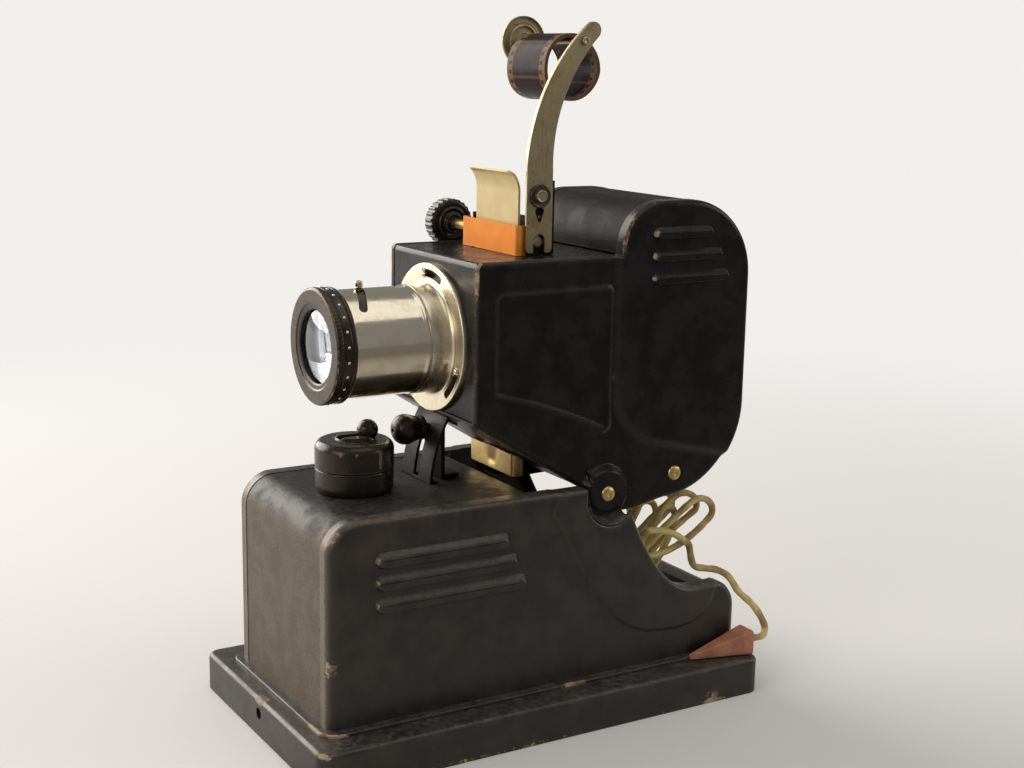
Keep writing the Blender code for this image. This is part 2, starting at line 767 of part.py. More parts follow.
def make_transformer():
    """A laminated core with three legs, and a winding round the middle leg."""
    floor = PLINTH_HEIGHT + GAP
    half = CORE_WIDTH / 2
    depth = CORE_DEPTH / 2
    core = block((-half, CORE_Y - depth, floor), (half, CORE_Y + depth, floor + CORE_HEIGHT))
    window_low = floor + (CORE_HEIGHT - CORE_WINDOW_HEIGHT) / 2
    window_high = window_low + CORE_WINDOW_HEIGHT
    leg = CORE_LEG_WIDTH / 2
    windows = []
    for side in (-1, 1):
        edges = sorted([side * leg, side * (leg + CORE_WINDOW_WIDTH)])
        windows.append(block((edges[0], CORE_Y - depth - OVERRUN, window_low),
                             (edges[1], CORE_Y + depth + OVERRUN, window_high)))
    piece("transformer_core", cut(core, *windows), "iron_core")

    reach = leg + CORE_WINDOW_WIDTH - GAP
    winding = block((-reach, CORE_Y - WINDING_DEPTH / 2, window_low + GAP),
                    (reach, CORE_Y + WINDING_DEPTH / 2, window_high - GAP))
    bore = block((-leg - GAP, CORE_Y - depth - GAP, window_low - OVERRUN),
                 (leg + GAP, CORE_Y + depth + GAP, window_high + OVERRUN))
    piece("transformer_winding", cut(winding, bore), "copper_winding")


def make_switch():
    """A round surface switch with a ball lever that leans to either side of a slot."""
    centre = (0, SWITCH_Y)
    low = HOUSING_TOP + GAP
    seam = low + SWITCH_BASE_HEIGHT
    top = seam + GAP + SWITCH_CAP_HEIGHT
    seat = top - LEVER_PIVOT_DROP - LEVER_PIVOT_RADIUS - GAP
    profile = [(0, low), (SWITCH_RADIUS, low), (SWITCH_RADIUS, seam), (SWITCH_SEAT_RADIUS, seam),
               (SWITCH_SEAT_RADIUS, seat), (0, seat)]
    piece("switch_base", turned(profile, centre, "Z"), "bakelite")
    hollow = SWITCH_RADIUS - SWITCH_CAP_WALL
    ceiling = top - SWITCH_CAP_WALL
    profile = [(0, ceiling), (hollow, ceiling), (hollow, seam + GAP), (SWITCH_RADIUS, seam + GAP),
               (SWITCH_RADIUS, top - SWITCH_RIM), (SWITCH_RADIUS - SWITCH_RIM, top),
               (SWITCH_BOSS_RADIUS, top), (SWITCH_BOSS_RADIUS - SWITCH_BOSS_HEIGHT, top + SWITCH_BOSS_HEIGHT),
               (0, top + SWITCH_BOSS_HEIGHT)]
    cap = turned(profile, centre, "Z")
    boss_top = top + SWITCH_BOSS_HEIGHT
    slot = block((-SWITCH_SLOT_WIDTH / 2, SWITCH_Y - SWITCH_SLOT_LENGTH / 2, ceiling - OVERRUN),
                 (SWITCH_SLOT_WIDTH / 2, SWITCH_Y + SWITCH_SLOT_LENGTH / 2, boss_top + OVERRUN))
    piece("switch_cap", cut(cap, slot), "bakelite")

    place = (0, SWITCH_Y, top - LEVER_PIVOT_DROP)
    empty = pivot("switch_lever_pivot", place)
    lean = math.radians(LEVER_LEAN_DEG)
    direction = Vector((0, math.sin(lean), math.cos(lean)))
    lever = turned(lever_profile(), (0, 0), "Z", SMALL_STEPS)
    turn = direction.to_track_quat("Z", "Y").to_matrix().to_4x4()
    lever.transform(turn)
    for vertex in lever.vertices:
        vertex.co += Vector(place)
    piece("switch_lever", lever, "bakelite", empty)


def lever_profile():
    """Round foot, thin stem and ball, from the pivot upwards."""
    foot = [(LEVER_PIVOT_RADIUS * math.sin(a), -LEVER_PIVOT_RADIUS * math.cos(a))
            for a in np.radians([0, 40, 80, 115])]
    angle = math.asin(LEVER_STEM_RADIUS / LEVER_BALL_RADIUS)
    ball = [(LEVER_BALL_RADIUS * math.sin(a), LEVER_LENGTH - LEVER_BALL_RADIUS * math.cos(a))
            for a in np.linspace(angle, math.pi, 9)]
    foot_end = (LEVER_STEM_RADIUS, LEVER_PIVOT_RADIUS)
    return foot + [foot_end] + ball[:-1] + [(0, LEVER_LENGTH + LEVER_BALL_RADIUS)]


def make_clamp():
    """The bracket behind the tilt strip, and the screw and knob in front of it."""
    low = HOUSING_TOP + GAP
    half = BRACKET_WIDTH / 2
    corner = (CLAMP_X - half, BRACKET_Y, low)
    upright = block(corner, (CLAMP_X + half, BRACKET_Y + BRACKET_SHEET, low + BRACKET_HEIGHT))
    foot = block(corner, (CLAMP_X + half, BRACKET_Y + BRACKET_FOOT, low + BRACKET_SHEET))
    hole = rod((CLAMP_X, CLAMP_Z), CLAMP_HOLE_RADIUS, BRACKET_Y - OVERRUN,
               BRACKET_Y + BRACKET_SHEET + OVERRUN, "Y")
    piece("clamp_bracket", cut(join(upright, foot), hole), "black_enamel")

    centre = (CLAMP_X, CLAMP_Z)
    empty = pivot("clamp_pivot", (CLAMP_X, KNOB_REAR, CLAMP_Z))
    bore = CLAMP_SHANK_RADIUS + GAP
    recess = KNOB_FRONT + CLAMP_HEAD_HEIGHT
    dome_end = KNOB_FRONT + KNOB_DOME_LENGTH
    knob = [(bore, recess), (CLAMP_HEAD_RADIUS + GAP, recess), (CLAMP_HEAD_RADIUS + GAP, KNOB_FRONT)]
    knob += [(KNOB_DOME_RADIUS * (1 - share ** 2 / 3), dome_end - share * KNOB_DOME_LENGTH)
             for share in (0.9, 0.6, 0.25, 0)]
    knob += [(KNOB_WAIST_RADIUS, dome_end + KNOB_DOME_LENGTH / 3), (KNOB_SEAT_RADIUS, KNOB_REAR),
             (bore, KNOB_REAR)]
    piece("clamp_knob", turned(knob, centre, "Y", SMALL_STEPS, closed=True), "bakelite", empty)

    head = recess - GAP
    end = BRACKET_Y + BRACKET_SHEET + CLAMP_REACH
    screw = [(0, KNOB_FRONT), (CLAMP_HEAD_RADIUS, KNOB_FRONT), (CLAMP_HEAD_RADIUS, head),
             (CLAMP_SHANK_RADIUS, head), (CLAMP_SHANK_RADIUS, end), (0, end)]
    piece("clamp_screw", turned(screw, centre, "Y", SMALL_STEPS), "brass", empty)


def head_low_z(y):
    """Height of the head's sloping lower edge at a place y."""
    share = (y - HEAD_FRONT) / (HEAD_LOW_REAR_Y - HEAD_FRONT)
    return HEAD_FRONT_LOW + share * (HEAD_LOW_REAR_Z - HEAD_FRONT_LOW)


def hood_path(end_deg):
    """The hood's outer line, from its front foot over the top and down the rear."""
    front = (HOOD_FRONT + HOOD_FRONT_BEND, HOOD_TOP - HOOD_FRONT_BEND)
    rear = (HOOD_REAR - HOOD_REAR_BEND, HOOD_TOP - HOOD_REAR_BEND)
    low = (HOOD_REAR - HOOD_LOW_BEND, HOOD_LOW + HOOD_LOW_BEND)
    return ([(HOOD_FRONT, HEAD_TOP + GAP)] + arc(front, HOOD_FRONT_BEND, 180, 90, 7)
            + arc(rear, HOOD_REAR_BEND, 90, 0, 9) + arc(low, HOOD_LOW_BEND, 0, end_deg, 7))


def head_outline():
    """The head cheek: front, top, lamp house, hinge lobe and sloping lower edge."""
    hinge = (HINGE_Y, HINGE_Z)
    heel = arc(hinge, DISC_RADIUS, LOBE_HEEL_DEG, LOBE_HEEL_DEG, 1)[:1]
    lobe = arc(hinge, LOBE_RADIUS, LOBE_HEEL_DEG, LOBE_TOE_DEG, 14)
    return ([(HEAD_FRONT, HEAD_FRONT_LOW), (HEAD_FRONT, HEAD_TOP)] + hood_path(-90)
            + [(HEAD_REAR_LOW_Y, HEAD_REAR_LOW_Z)] + heel + lobe)


def lamp_zone():
    """The raised lamp-house area. It runs past the cheek's outline at the top and rear."""
    far = HOOD_REAR + HOOD_LOW_BEND
    bend_centre = (LAMP_STEP_FRONT + LAMP_STEP_BEND, LAMP_STEP_LOW)
    bend = arc(bend_centre, LAMP_STEP_BEND, 180, 262, 8)
    return bend + [(HOOD_REAR, LAMP_STEP_REAR_Z), (far, LAMP_STEP_REAR_Z), (far, HOOD_TOP + HOOD_LOW_BEND),
                   (LAMP_STEP_FRONT, HOOD_TOP + HOOD_LOW_BEND)]


def panel_zone():
    """The pressed panel: straight front, top and rear, and a lower edge that sags in an S."""
    share = np.linspace(0, 1, 7)[1:-1]
    low = [(PANEL_FRONT + s * (PANEL_REAR - PANEL_FRONT),
            PANEL_FRONT_LOW + (3 * s ** 2 - 2 * s ** 3) * (PANEL_REAR_LOW - PANEL_FRONT_LOW)) for s in share]
    return ([(PANEL_FRONT, PANEL_FRONT_LOW)] + low
            + arc((PANEL_REAR - PANEL_CORNER, PANEL_REAR_LOW + PANEL_CORNER), PANEL_CORNER, 270, 360, 3)
            + arc((PANEL_REAR - PANEL_CORNER, PANEL_TOP - PANEL_CORNER), PANEL_CORNER, 0, 90, 3)
            + arc((PANEL_FRONT + PANEL_CORNER, PANEL_TOP - PANEL_CORNER), PANEL_CORNER, 90, 180, 3))


def make_head_shell(head):
    half = HEAD_WIDTH / 2
    inner_half = half - SHEET - GAP
    hinge = (HINGE_Y, HINGE_Z)
    zones = [(lamp_zone(), LAMP_STEP, LAMP_STEP_SLOPE),
             (circle(hinge, DISC_RADIUS, 28), LOBE_RISE, DISC_SLOPE),
             (panel_zone(), PANEL_RISE, PANEL_SLOPE)]
    for row in range(LAMP_LOUVRE_COUNT):
        loop = louvre(LAMP_LOUVRE_FRONT, LAMP_LOUVRE_TOP - LOUVRE_HEIGHT / 2 - row * LAMP_LOUVRE_PITCH,
                      LAMP_LOUVRE_LENGTH + row * LAMP_LOUVRE_LENGTHENING)
        zones.append((loop, LOUVRE_RISE, LOUVRE_HEIGHT / 4))
    holes = [circle(hinge, HINGE_HOLE_RADIUS, 16), circle((CARRIER_Y, CARRIER_Z), HINGE_HOLE_RADIUS, 16)]
    for name, side in (("head_cheek_right", 1), ("head_cheek_left", -1)):
        piece(name, pressed_sheet(head_outline()[::-1], half, zones, holes, side), "black_enamel", head)

    path = ([(HEAD_FRONT, HEAD_FRONT_LOW + SHEET)]
            + arc((HEAD_FRONT + HEAD_BEND, HEAD_TOP - HEAD_BEND), HEAD_BEND, 180, 90, 3)
            + [(HOOD_FRONT - GAP, HEAD_TOP)])
    sheet = prism(band(path, SHEET), -inner_half, inner_half, "X")
    lens_hole = rod((0, LENS_Z), LENS_HOLE_RADIUS, HEAD_FRONT - OVERRUN, HEAD_FRONT + SHEET + OVERRUN, "Y",
                    CIRCLE_STEPS)
    margin = GATE_SLOT_MARGIN
    gate_slot = block((-GATE_WIDTH / 2 - margin, GATE_Y - margin, HEAD_TOP - SHEET - OVERRUN),
                      (GATE_WIDTH / 2 + margin, GATE_Y + SHEET + FILM_SPACE, HEAD_TOP + OVERRUN))
    screw_holes = [rod(place, MOUNT_SHANK_RADIUS + GAP, HEAD_FRONT - OVERRUN,
                       HEAD_FRONT + SHEET + OVERRUN, "Y", 12)
                   for place in mount_screw_places()]
    piece("head_front_sheet", cut(sheet, lens_hole, gate_slot, *screw_holes), "black_enamel", head)

    front = HEAD_FRONT + SHEET + GAP
    outline = [(front, head_low_z(front)), (HEAD_FLOOR_REAR, head_low_z(HEAD_FLOOR_REAR)),
               (HEAD_FLOOR_REAR, head_low_z(HEAD_FLOOR_REAR) + SHEET), (front, head_low_z(front) + SHEET)]
    floor = prism(outline, -inner_half, inner_half, "X")
    film_slot = block((-FILM_WIDTH / 2 - SHEET, GATE_Y, CHUTE_LOW),
                      (FILM_WIDTH / 2 + SHEET, GATE_Y + SHEET + FILM_SPACE, GATE_LOW))
    piece("head_floor", cut(floor, film_slot), "black_enamel", head)

    wide = half + LAMP_STEP - SHEET - GAP
    hood = prism(band(hood_path(HOOD_WIDE_END_DEG), SHEET), -wide, wide, "X")
    centre = (HOOD_REAR - HOOD_LOW_BEND, HOOD_LOW + HOOD_LOW_BEND)
    tail = arc(centre, HOOD_LOW_BEND, HOOD_WIDE_END_DEG + 1, HOOD_NARROW_END_DEG, 7)
    hood = join(hood, prism(band(tail, SHEET), -inner_half, inner_half, "X"))
    piece("lamp_hood", hood, "black_enamel", head)


def make_tilt_strip(head):
    """The slotted strip bent about the hinge, with a tab under the head's floor."""
    centre = (HINGE_Y, HINGE_Z)
    path = arc(centre, STRIP_RADIUS, 180 - STRIP_LOW_DEG, 180 - STRIP_HIGH_DEG, 12)
    half = STRIP_WIDTH / 2
    strip = prism(band(path, STRIP_SHEET), CLAMP_X - half, CLAMP_X + half, "X")
    slot_half = STRIP_SLOT_WIDTH / 2
    slot_path = arc(centre, STRIP_RADIUS + OVERRUN, 180 - STRIP_SLOT_LOW_DEG, 180 - STRIP_SLOT_HIGH_DEG, 8)
    slot = prism(band(slot_path, STRIP_SHEET + 2 * OVERRUN), CLAMP_X - slot_half, CLAMP_X + slot_half, "X")
    top = path[-1][0]
    low = [(top, head_low_z(top) - GAP), (top + STRIP_TAB, head_low_z(top + STRIP_TAB) - GAP)]
    tab = low + [(y, z - STRIP_SHEET) for y, z in reversed(low)]
    strip = join(strip, prism(tab, CLAMP_X - half, CLAMP_X + half, "X"))
    piece("tilt_strip", cut(strip, slot), "black_enamel", head)


def shouldered_screw(name, place, seat, shank_end, side, parent=None):
    """A round-headed screw along X. seat: the face that its head lies on."""
    head = seat + GAP
    top = head + SCREW_HEAD_HEIGHT
    profile = [(0, side * shank_end), (HINGE_SHANK_RADIUS, side * shank_end), (HINGE_SHANK_RADIUS, side * head),
               (SCREW_HEAD_RADIUS, side * head), (SCREW_HEAD_RADIUS, side * (head + SCREW_HEAD_HEIGHT / 2)),
               (SCREW_HEAD_RADIUS * 3 / 4, side * top), (0, side * top)]
    piece(name, turned(profile, place, "X", SMALL_STEPS), "brass", parent)


def make_screws(head):
    half = HEAD_WIDTH / 2
    for word, side in (("right", 1), ("left", -1)):
        shouldered_screw("hinge_screw_" + word, (HINGE_Y, HINGE_Z), half + LOBE_RISE, HINGE_SHANK_END, side)
        shouldered_screw("carrier_screw_" + word, (CARRIER_Y, CARRIER_Z), half, CARRIER_SHANK_END, side, head)


def make_lamp(head):
    half = HEAD_WIDTH / 2 - SHEET - GAP
    centre = (0, CARRIER_Y)
    length = CARRIER_LENGTH / 2
    top = CARRIER_PLATE_Z + CARRIER_SHEET
    carrier = block((-half, CARRIER_Y - length, CARRIER_PLATE_Z), (half, CARRIER_Y + length, top))
    flanges = []
    holes = []
    for side in (-1, 1):
        edges = sorted([side * half, side * (half - CARRIER_SHEET)])
        flanges.append(block((edges[0], CARRIER_Y - length, top - CARRIER_FLANGE),
                             (edges[1], CARRIER_Y + length, top)))
        holes.append(rod((CARRIER_Y, CARRIER_Z), HINGE_HOLE_RADIUS, edges[0] - OVERRUN,
                         edges[1] + OVERRUN, "X", 12))
    piece("lamp_carrier", cut(join(carrier, *flanges), *holes), "steel", head)

    low = top + GAP
    rim = low + SOCKET_HEIGHT
    pit = rim - SOCKET_BORE_DEPTH
    profile = [(0, low), (SOCKET_RADIUS, low), (SOCKET_RADIUS, rim), (SOCKET_BORE_RADIUS, rim),
               (SOCKET_BORE_RADIUS, pit), (0, pit)]
    piece("lamp_socket", turned(profile, centre, "Z", 24), "porcelain", head)

    shoulder = [(BULB_RADIUS * math.cos(a), BULB_TOP - BULB_RADIUS + BULB_RADIUS * math.sin(a))
                for a in np.radians([0, 30, 60])]
    profile = [(0, pit + GAP), (BULB_NECK_RADIUS, pit + GAP), (BULB_NECK_RADIUS, BULB_NECK_TOP),
               (BULB_RADIUS, BULB_NECK_TOP + BULB_RADIUS)] + shoulder + [(0, BULB_TOP)]
    piece("lamp_bulb", turned(profile, centre, "Z", 24), "glass", head)

    # A dish on a stem that stands on the hood's rear wall
    lens = (0, LENS_Z)
    rim = math.asin(REFLECTOR_RADIUS / REFLECTOR_CURVE)
    angles = np.linspace(rim, 0, 6)
    crown = REFLECTOR_Y + REFLECTOR_CURVE
    face = [(REFLECTOR_CURVE * math.sin(a), crown + REFLECTOR_CURVE * math.cos(a) - 2 * REFLECTOR_CURVE)
            for a in angles]
    back = [(r, y + REFLECTOR_WALL) for r, y in reversed(face)]
    stem_end = HOOD_REAR - SHEET - GAP
    stem_start = max(y for r, y in back)
    stem = [(REFLECTOR_STEM_RADIUS, stem_start), (REFLECTOR_STEM_RADIUS, stem_end), (0, stem_end)]
    outer = [p for p in back if p[0] > REFLECTOR_STEM_RADIUS]
    profile = [(0, face[-1][1])] + face[-2::-1] + outer[::-1] + stem
    piece("reflector", turned(profile, lens, "Y", 24), "mirror", head)


def lens_solid(radius, front, edge, front_crown, rear_crown):
    """Profile of a round glass with a crown on each face. A crown of zero is flat."""
    steps = np.linspace(0, 1, 5)
    near = [(radius * s, front - front_crown * (1 - s ** 2)) for s in steps]
    far = [(radius * s, front + edge + rear_crown * (1 - s ** 2)) for s in reversed(steps)]
    return near + far


def make_condenser(head):
    half = HEAD_WIDTH / 2 - SHEET - GAP
    centre = (0, LENS_Z)
    bore = CONDENSER_RADIUS - CONDENSER_WALL
    plate = block((-half, CONDENSER_Y, CONDENSER_PLATE_LOW),
                  (half, CONDENSER_Y + SHEET, HEAD_TOP - SHEET - GAP))
    holder = join(plate, rod(centre, CONDENSER_RADIUS, CONDENSER_FRONT, CONDENSER_REAR, "Y", CIRCLE_STEPS))
    opening = rod(centre, bore, CONDENSER_FRONT - OVERRUN, CONDENSER_REAR + OVERRUN, "Y", CIRCLE_STEPS)
    piece("condenser_holder", cut(holder, opening), "steel", head)

    radius = bore - GAP
    front = CONDENSER_FRONT + CONDENSER_EDGE
    profile = lens_solid(radius, front, CONDENSER_EDGE, 0, CONDENSER_CROWN)
    piece("condenser_lens_front", turned(profile, centre, "Y", CIRCLE_STEPS), "glass", head)
    rear = CONDENSER_REAR - 2 * CONDENSER_EDGE
    profile = lens_solid(radius, rear, CONDENSER_EDGE, CONDENSER_CROWN, 0)
    piece("condenser_lens_rear", turned(profile, centre, "Y", CIRCLE_STEPS), "glass", head)


def make_gate(head):
    half = HEAD_WIDTH / 2 - SHEET - GAP
    window = block((-APERTURE_WIDTH / 2, HEAD_FRONT, LENS_Z - APERTURE_HEIGHT / 2),
                   (APERTURE_WIDTH / 2, CONDENSER_FRONT, LENS_Z + APERTURE_HEIGHT / 2))
    rear = GATE_Y + SHEET + FILM_SPACE
    low = head_low_z(rear) + 2 * SHEET + GAP
    plate = block((-half, rear, low), (half, rear + SHEET, HEAD_TOP - SHEET - GAP))
    piece("aperture_plate", cut(plate, window), "steel", head)

    # The cream plate stands in the head's top slot and leans forward at its lip
    path = [(GATE_Y, GATE_LOW), (GATE_Y, GATE_TOP),
            (GATE_Y - GATE_LIP_REACH / 2, GATE_TOP + GATE_LIP_RISE * 3 / 4),
            (GATE_Y - GATE_LIP_REACH, GATE_TOP + GATE_LIP_RISE)]
    plate = prism(band(path, SHEET), -GATE_WIDTH / 2, GATE_WIDTH / 2, "X")
    lip = GATE_TOP + GATE_LIP_RISE + SHEET
    edge = GATE_WIDTH / 2
    corners = []
    for side in (-1, 1):
        outline = [(side * (edge - GATE_CORNER), lip + OVERRUN), (side * (edge + OVERRUN), lip + OVERRUN),
                   (side * (edge + OVERRUN), lip - GATE_CORNER - OVERRUN),
                   (side * edge, lip - GATE_CORNER - OVERRUN)]
        corners.append(prism(outline, GATE_Y - 2 * GATE_LIP_REACH, rear, "Y"))
    piece("gate_plate", cut(plate, window, *corners), "cream_plate", head)

    low = HEAD_TOP + GAP
    edge = COVER_WIDTH / 2
    outline = [(-edge, COVER_Y + COVER_RETURN), (-edge, COVER_Y), (edge, COVER_Y),
               (edge, COVER_Y + COVER_RETURN)]
    cover = prism(band(outline[::-1], SHEET), low, low + COVER_HEIGHT, "Z")
    piece("gate_cover", cover, "orange_enamel", head)

    edge = CHUTE_WIDTH / 2
    outline = [(-edge, CHUTE_Y + CHUTE_RETURN), (-edge, CHUTE_Y), (edge, CHUTE_Y),
               (edge, CHUTE_Y + CHUTE_RETURN)]
    chute = prism(band(outline[::-1], SHEET), CHUTE_LOW, CHUTE_TOP, "Z")
    above = [(CHUTE_Y - OVERRUN, head_low_z(CHUTE_Y - OVERRUN) - GAP),
             (CHUTE_Y + 2 * CHUTE_RETURN, head_low_z(CHUTE_Y + 2 * CHUTE_RETURN) - GAP),
             (CHUTE_Y + 2 * CHUTE_RETURN, GATE_LOW), (CHUTE_Y - OVERRUN, GATE_LOW)]
    slope = prism(above, -CHUTE_WIDTH, CHUTE_WIDTH, "X")
    notch = block((-CHUTE_NOTCH_WIDTH / 2, CHUTE_Y - OVERRUN, CHUTE_TOP - CHUTE_NOTCH_DEPTH),
                  (CHUTE_NOTCH_WIDTH / 2, CHUTE_Y + SHEET + OVERRUN, CHUTE_TOP + OVERRUN))
    piece("film_chute", cut(chute, slope, notch), "brass", head)


def make_drive(head):
    """The bracket with its two ears, and the shaft, roller and knob that turn in them."""
    low = HEAD_TOP + GAP
    outside = EAR_X + SHEET
    back = block((-outside, EAR_REAR - SHEET, low), (outside, EAR_REAR, EAR_LOW_TOP))
    far_ear = block((-outside, EAR_FRONT, low), (-EAR_X, EAR_REAR, EAR_LOW_TOP))
    near_ear = block((EAR_X, EAR_FRONT, low), (outside, EAR_REAR, EAR_TOP))
    axis = (DRIVE_Y, DRIVE_Z)
    bearing = rod(axis, SHAFT_RADIUS + BEARING_GAP, -outside - OVERRUN, outside + OVERRUN, "X")
    rivet_hole = rod((ARM_Y, ARM_PIVOT_Z), RIVET_HOLE_RADIUS, EAR_X - OVERRUN, outside + OVERRUN, "X")
    piece("gate_bracket", cut(join(back, far_ear, near_ear), bearing, rivet_hole), "steel", head)

    drive = pivot("film_drive_pivot", (0, DRIVE_Y, DRIVE_Z), head)
    piece("drive_shaft", rod(axis, SHAFT_RADIUS, SHAFT_FAR, SHAFT_NEAR, "X"), "brass", drive)
    bore = SHAFT_RADIUS + GAP
    half = FILM_WIDTH / 2
    neck = half - ROLLER_FLANGE
    profile = [(bore, -half), (ROLLER_RADIUS, -half), (ROLLER_RADIUS, -neck), (ROLLER_NECK_RADIUS, -neck),
               (ROLLER_NECK_RADIUS, neck), (ROLLER_RADIUS, neck), (ROLLER_RADIUS, half), (bore, half)]
    piece("drive_roller", turned(profile, axis, "X", SMALL_STEPS, closed=True), "steel", drive)

    bore = SHAFT_RADIUS + GAP
    hub = FILM_KNOB_NEAR + FILM_KNOB_HUB_LENGTH
    chamfer = FILM_KNOB_HUB_LENGTH / 2
    profile = [(bore, hub), (FILM_KNOB_HUB_RADIUS, hub), (FILM_KNOB_HUB_RADIUS, FILM_KNOB_NEAR),
               (FILM_KNOB_RADIUS - chamfer, FILM_KNOB_NEAR), (FILM_KNOB_RADIUS, FILM_KNOB_NEAR - chamfer),
               (FILM_KNOB_RADIUS, FILM_KNOB_FAR + chamfer), (FILM_KNOB_RADIUS - chamfer, FILM_KNOB_FAR),
               (bore, FILM_KNOB_FAR)]
    knob = turned(profile, axis, "X", 2 * FILM_KNOB_FLUTES, closed=True)
    flutes = []
    for i in range(FILM_KNOB_FLUTES):
        angle = 2 * math.pi * i / FILM_KNOB_FLUTES
        place = (DRIVE_Y + FILM_KNOB_RADIUS * math.cos(angle), DRIVE_Z + FILM_KNOB_RADIUS * math.sin(angle))
        flutes.append(rod(place, FILM_KNOB_FLUTE_RADIUS, FILM_KNOB_FAR - OVERRUN,
                          FILM_KNOB_NEAR + OVERRUN, "X", 8))
    piece("film_knob", cut(knob, *flutes), "bakelite", drive)


def arm_centre(turn_deg):
    """A place on the middle line of the arm's bent part."""
    turn = math.radians(turn_deg)
    return (ARM_Y + ARM_BEND_RADIUS * (1 - math.cos(turn)), ARM_BEND_Z + ARM_BEND_RADIUS * math.sin(turn))


def make_reel_arm(head):
    empty = pivot("reel_arm_pivot", (ARM_X, ARM_Y, ARM_PIVOT_Z), head)
    turns = np.linspace(0, ARM_TIP_DEG, 9)
    left = [(ARM_Y - ARM_WIDTH / 2, ARM_LOW)]
    right = [(ARM_Y + ARM_WIDTH / 2, ARM_LOW)]
    for turn in turns:
        y, z = arm_centre(turn)
        half = (ARM_WIDTH + turn / ARM_TIP_DEG * (ARM_TIP_WIDTH - ARM_WIDTH)) / 2
        across = math.radians(turn)
        left.append((y - half * math.cos(across), z + half * math.sin(across)))
        right.append((y + half * math.cos(across), z - half * math.sin(across)))
    tip = arc(arm_centre(ARM_TIP_DEG), ARM_TIP_WIDTH / 2, 180 - ARM_TIP_DEG, -ARM_TIP_DEG, 6)[1:-1]
    plate = prism(left + tip + right[::-1], ARM_X, ARM_X + ARM_SHEET, "X")
    outside = ARM_X + ARM_SHEET + OVERRUN
    inside_face = ARM_X - OVERRUN
    pivot_hole = rod((ARM_Y, ARM_PIVOT_Z), RIVET_HOLE_RADIUS, inside_face, outside, "X")
    axle_hole = rod(arm_centre(AXLE_DEG), AXLE_RADIUS + GAP, inside_face, outside, "X", 12)
    notch = block((inside_face, ARM_Y - ARM_NOTCH_WIDTH / 2, ARM_LOW - OVERRUN),
                  (outside, ARM_Y + ARM_NOTCH_WIDTH / 2, ARM_LOW + ARM_NOTCH_DEPTH))
    slot_radius = ARM_SLOT_WIDTH / 2
    slot = prism(arc((ARM_Y, ARM_SLOT_TOP - slot_radius), slot_radius, 0, 180, 4)
                 + arc((ARM_Y, ARM_SLOT_LOW + slot_radius / 2), slot_radius / 2, 180, 360, 4),
                 inside_face, outside, "X")
    piece("reel_arm", cut(plate, pivot_hole, axle_hole, notch, slot), "aged_nickel", empty)

    seat = ARM_X + ARM_SHEET + GAP
    washer = seat + RIVET_WASHER_HEIGHT
    profile = [(0, EAR_X - GAP), (RIVET_SHANK_RADIUS, EAR_X - GAP), (RIVET_SHANK_RADIUS, seat),
               (RIVET_WASHER_RADIUS, seat), (RIVET_WASHER_RADIUS, washer), (RIVET_HEAD_RADIUS, washer),
               (RIVET_HEAD_RADIUS * 2 / 3, washer + RIVET_HEAD_HEIGHT), (0, washer + RIVET_HEAD_HEIGHT)]
    piece("arm_rivet", turned(profile, (ARM_Y, ARM_PIVOT_Z), "X", SMALL_STEPS), "aged_nickel", head)

    centre = arm_centre(AXLE_DEG)
    profile = [(0, AXLE_FAR), (AXLE_RADIUS, AXLE_FAR), (AXLE_RADIUS, seat), (AXLE_HEAD_RADIUS, seat),
               (AXLE_HEAD_RADIUS * 2 / 3, seat + AXLE_HEAD_HEIGHT), (0, seat + AXLE_HEAD_HEIGHT)]
    piece("reel_axle", turned(profile, centre, "X", 12), "steel", empty)

    near = DISC_X + SPOOL_SHEET
    ring = SPOOL_RING_RADIUS
    rise = SPOOL_RING_RISE
    profile = [(AXLE_RADIUS + GAP, DISC_X), (SPOOL_RADIUS, DISC_X), (SPOOL_RADIUS, near + rise),
               (SPOOL_RADIUS - rise, near + rise), (SPOOL_RADIUS - 2 * rise, near), (ring + rise, near),
               (ring, near + rise), (ring - rise, near), (AXLE_RADIUS + GAP, near)]
    piece("spool_disc", turned(profile, centre, "X", 24, closed=True), "aged_nickel", empty)

    # The coil of film hangs on the axle by the inside of its bore
    bore = ROLL_RADIUS - ROLL_WALL
    middle = (centre[0], centre[1] - bore + AXLE_RADIUS + GAP)
    roll = pivot("film_roll_pivot", (0, *middle), empty)
    solid = tube(ROLL_RADIUS, bore, -FILM_WIDTH / 2, FILM_WIDTH / 2, middle, "X")
    piece("film_roll", solid, "film", roll)


def mount_screw_places():
    return [(MOUNT_SCREW_RADIUS * math.cos(turn), LENS_Z + MOUNT_SCREW_RADIUS * math.sin(turn))
            for turn in np.radians(MOUNT_SCREW_DEG)]


def mount_slot(turn_deg):
    """An arc slot in the flange that starts at a screw and lets the mount turn."""
    centre = (0, LENS_Z)
    half = MOUNT_SLOT_WIDTH / 2
    margin = math.degrees(half / MOUNT_SCREW_RADIUS)
    outer = arc(centre, MOUNT_SCREW_RADIUS + half, turn_deg + margin, turn_deg - MOUNT_SLOT_DEG, 6)
    inner = arc(centre, MOUNT_SCREW_RADIUS - half, turn_deg - MOUNT_SLOT_DEG, turn_deg + margin, 6)
    front = HEAD_FRONT - GAP - FLANGE_SHEET
    return prism(outer + inner, front - OVERRUN, HEAD_FRONT + OVERRUN, "Y")


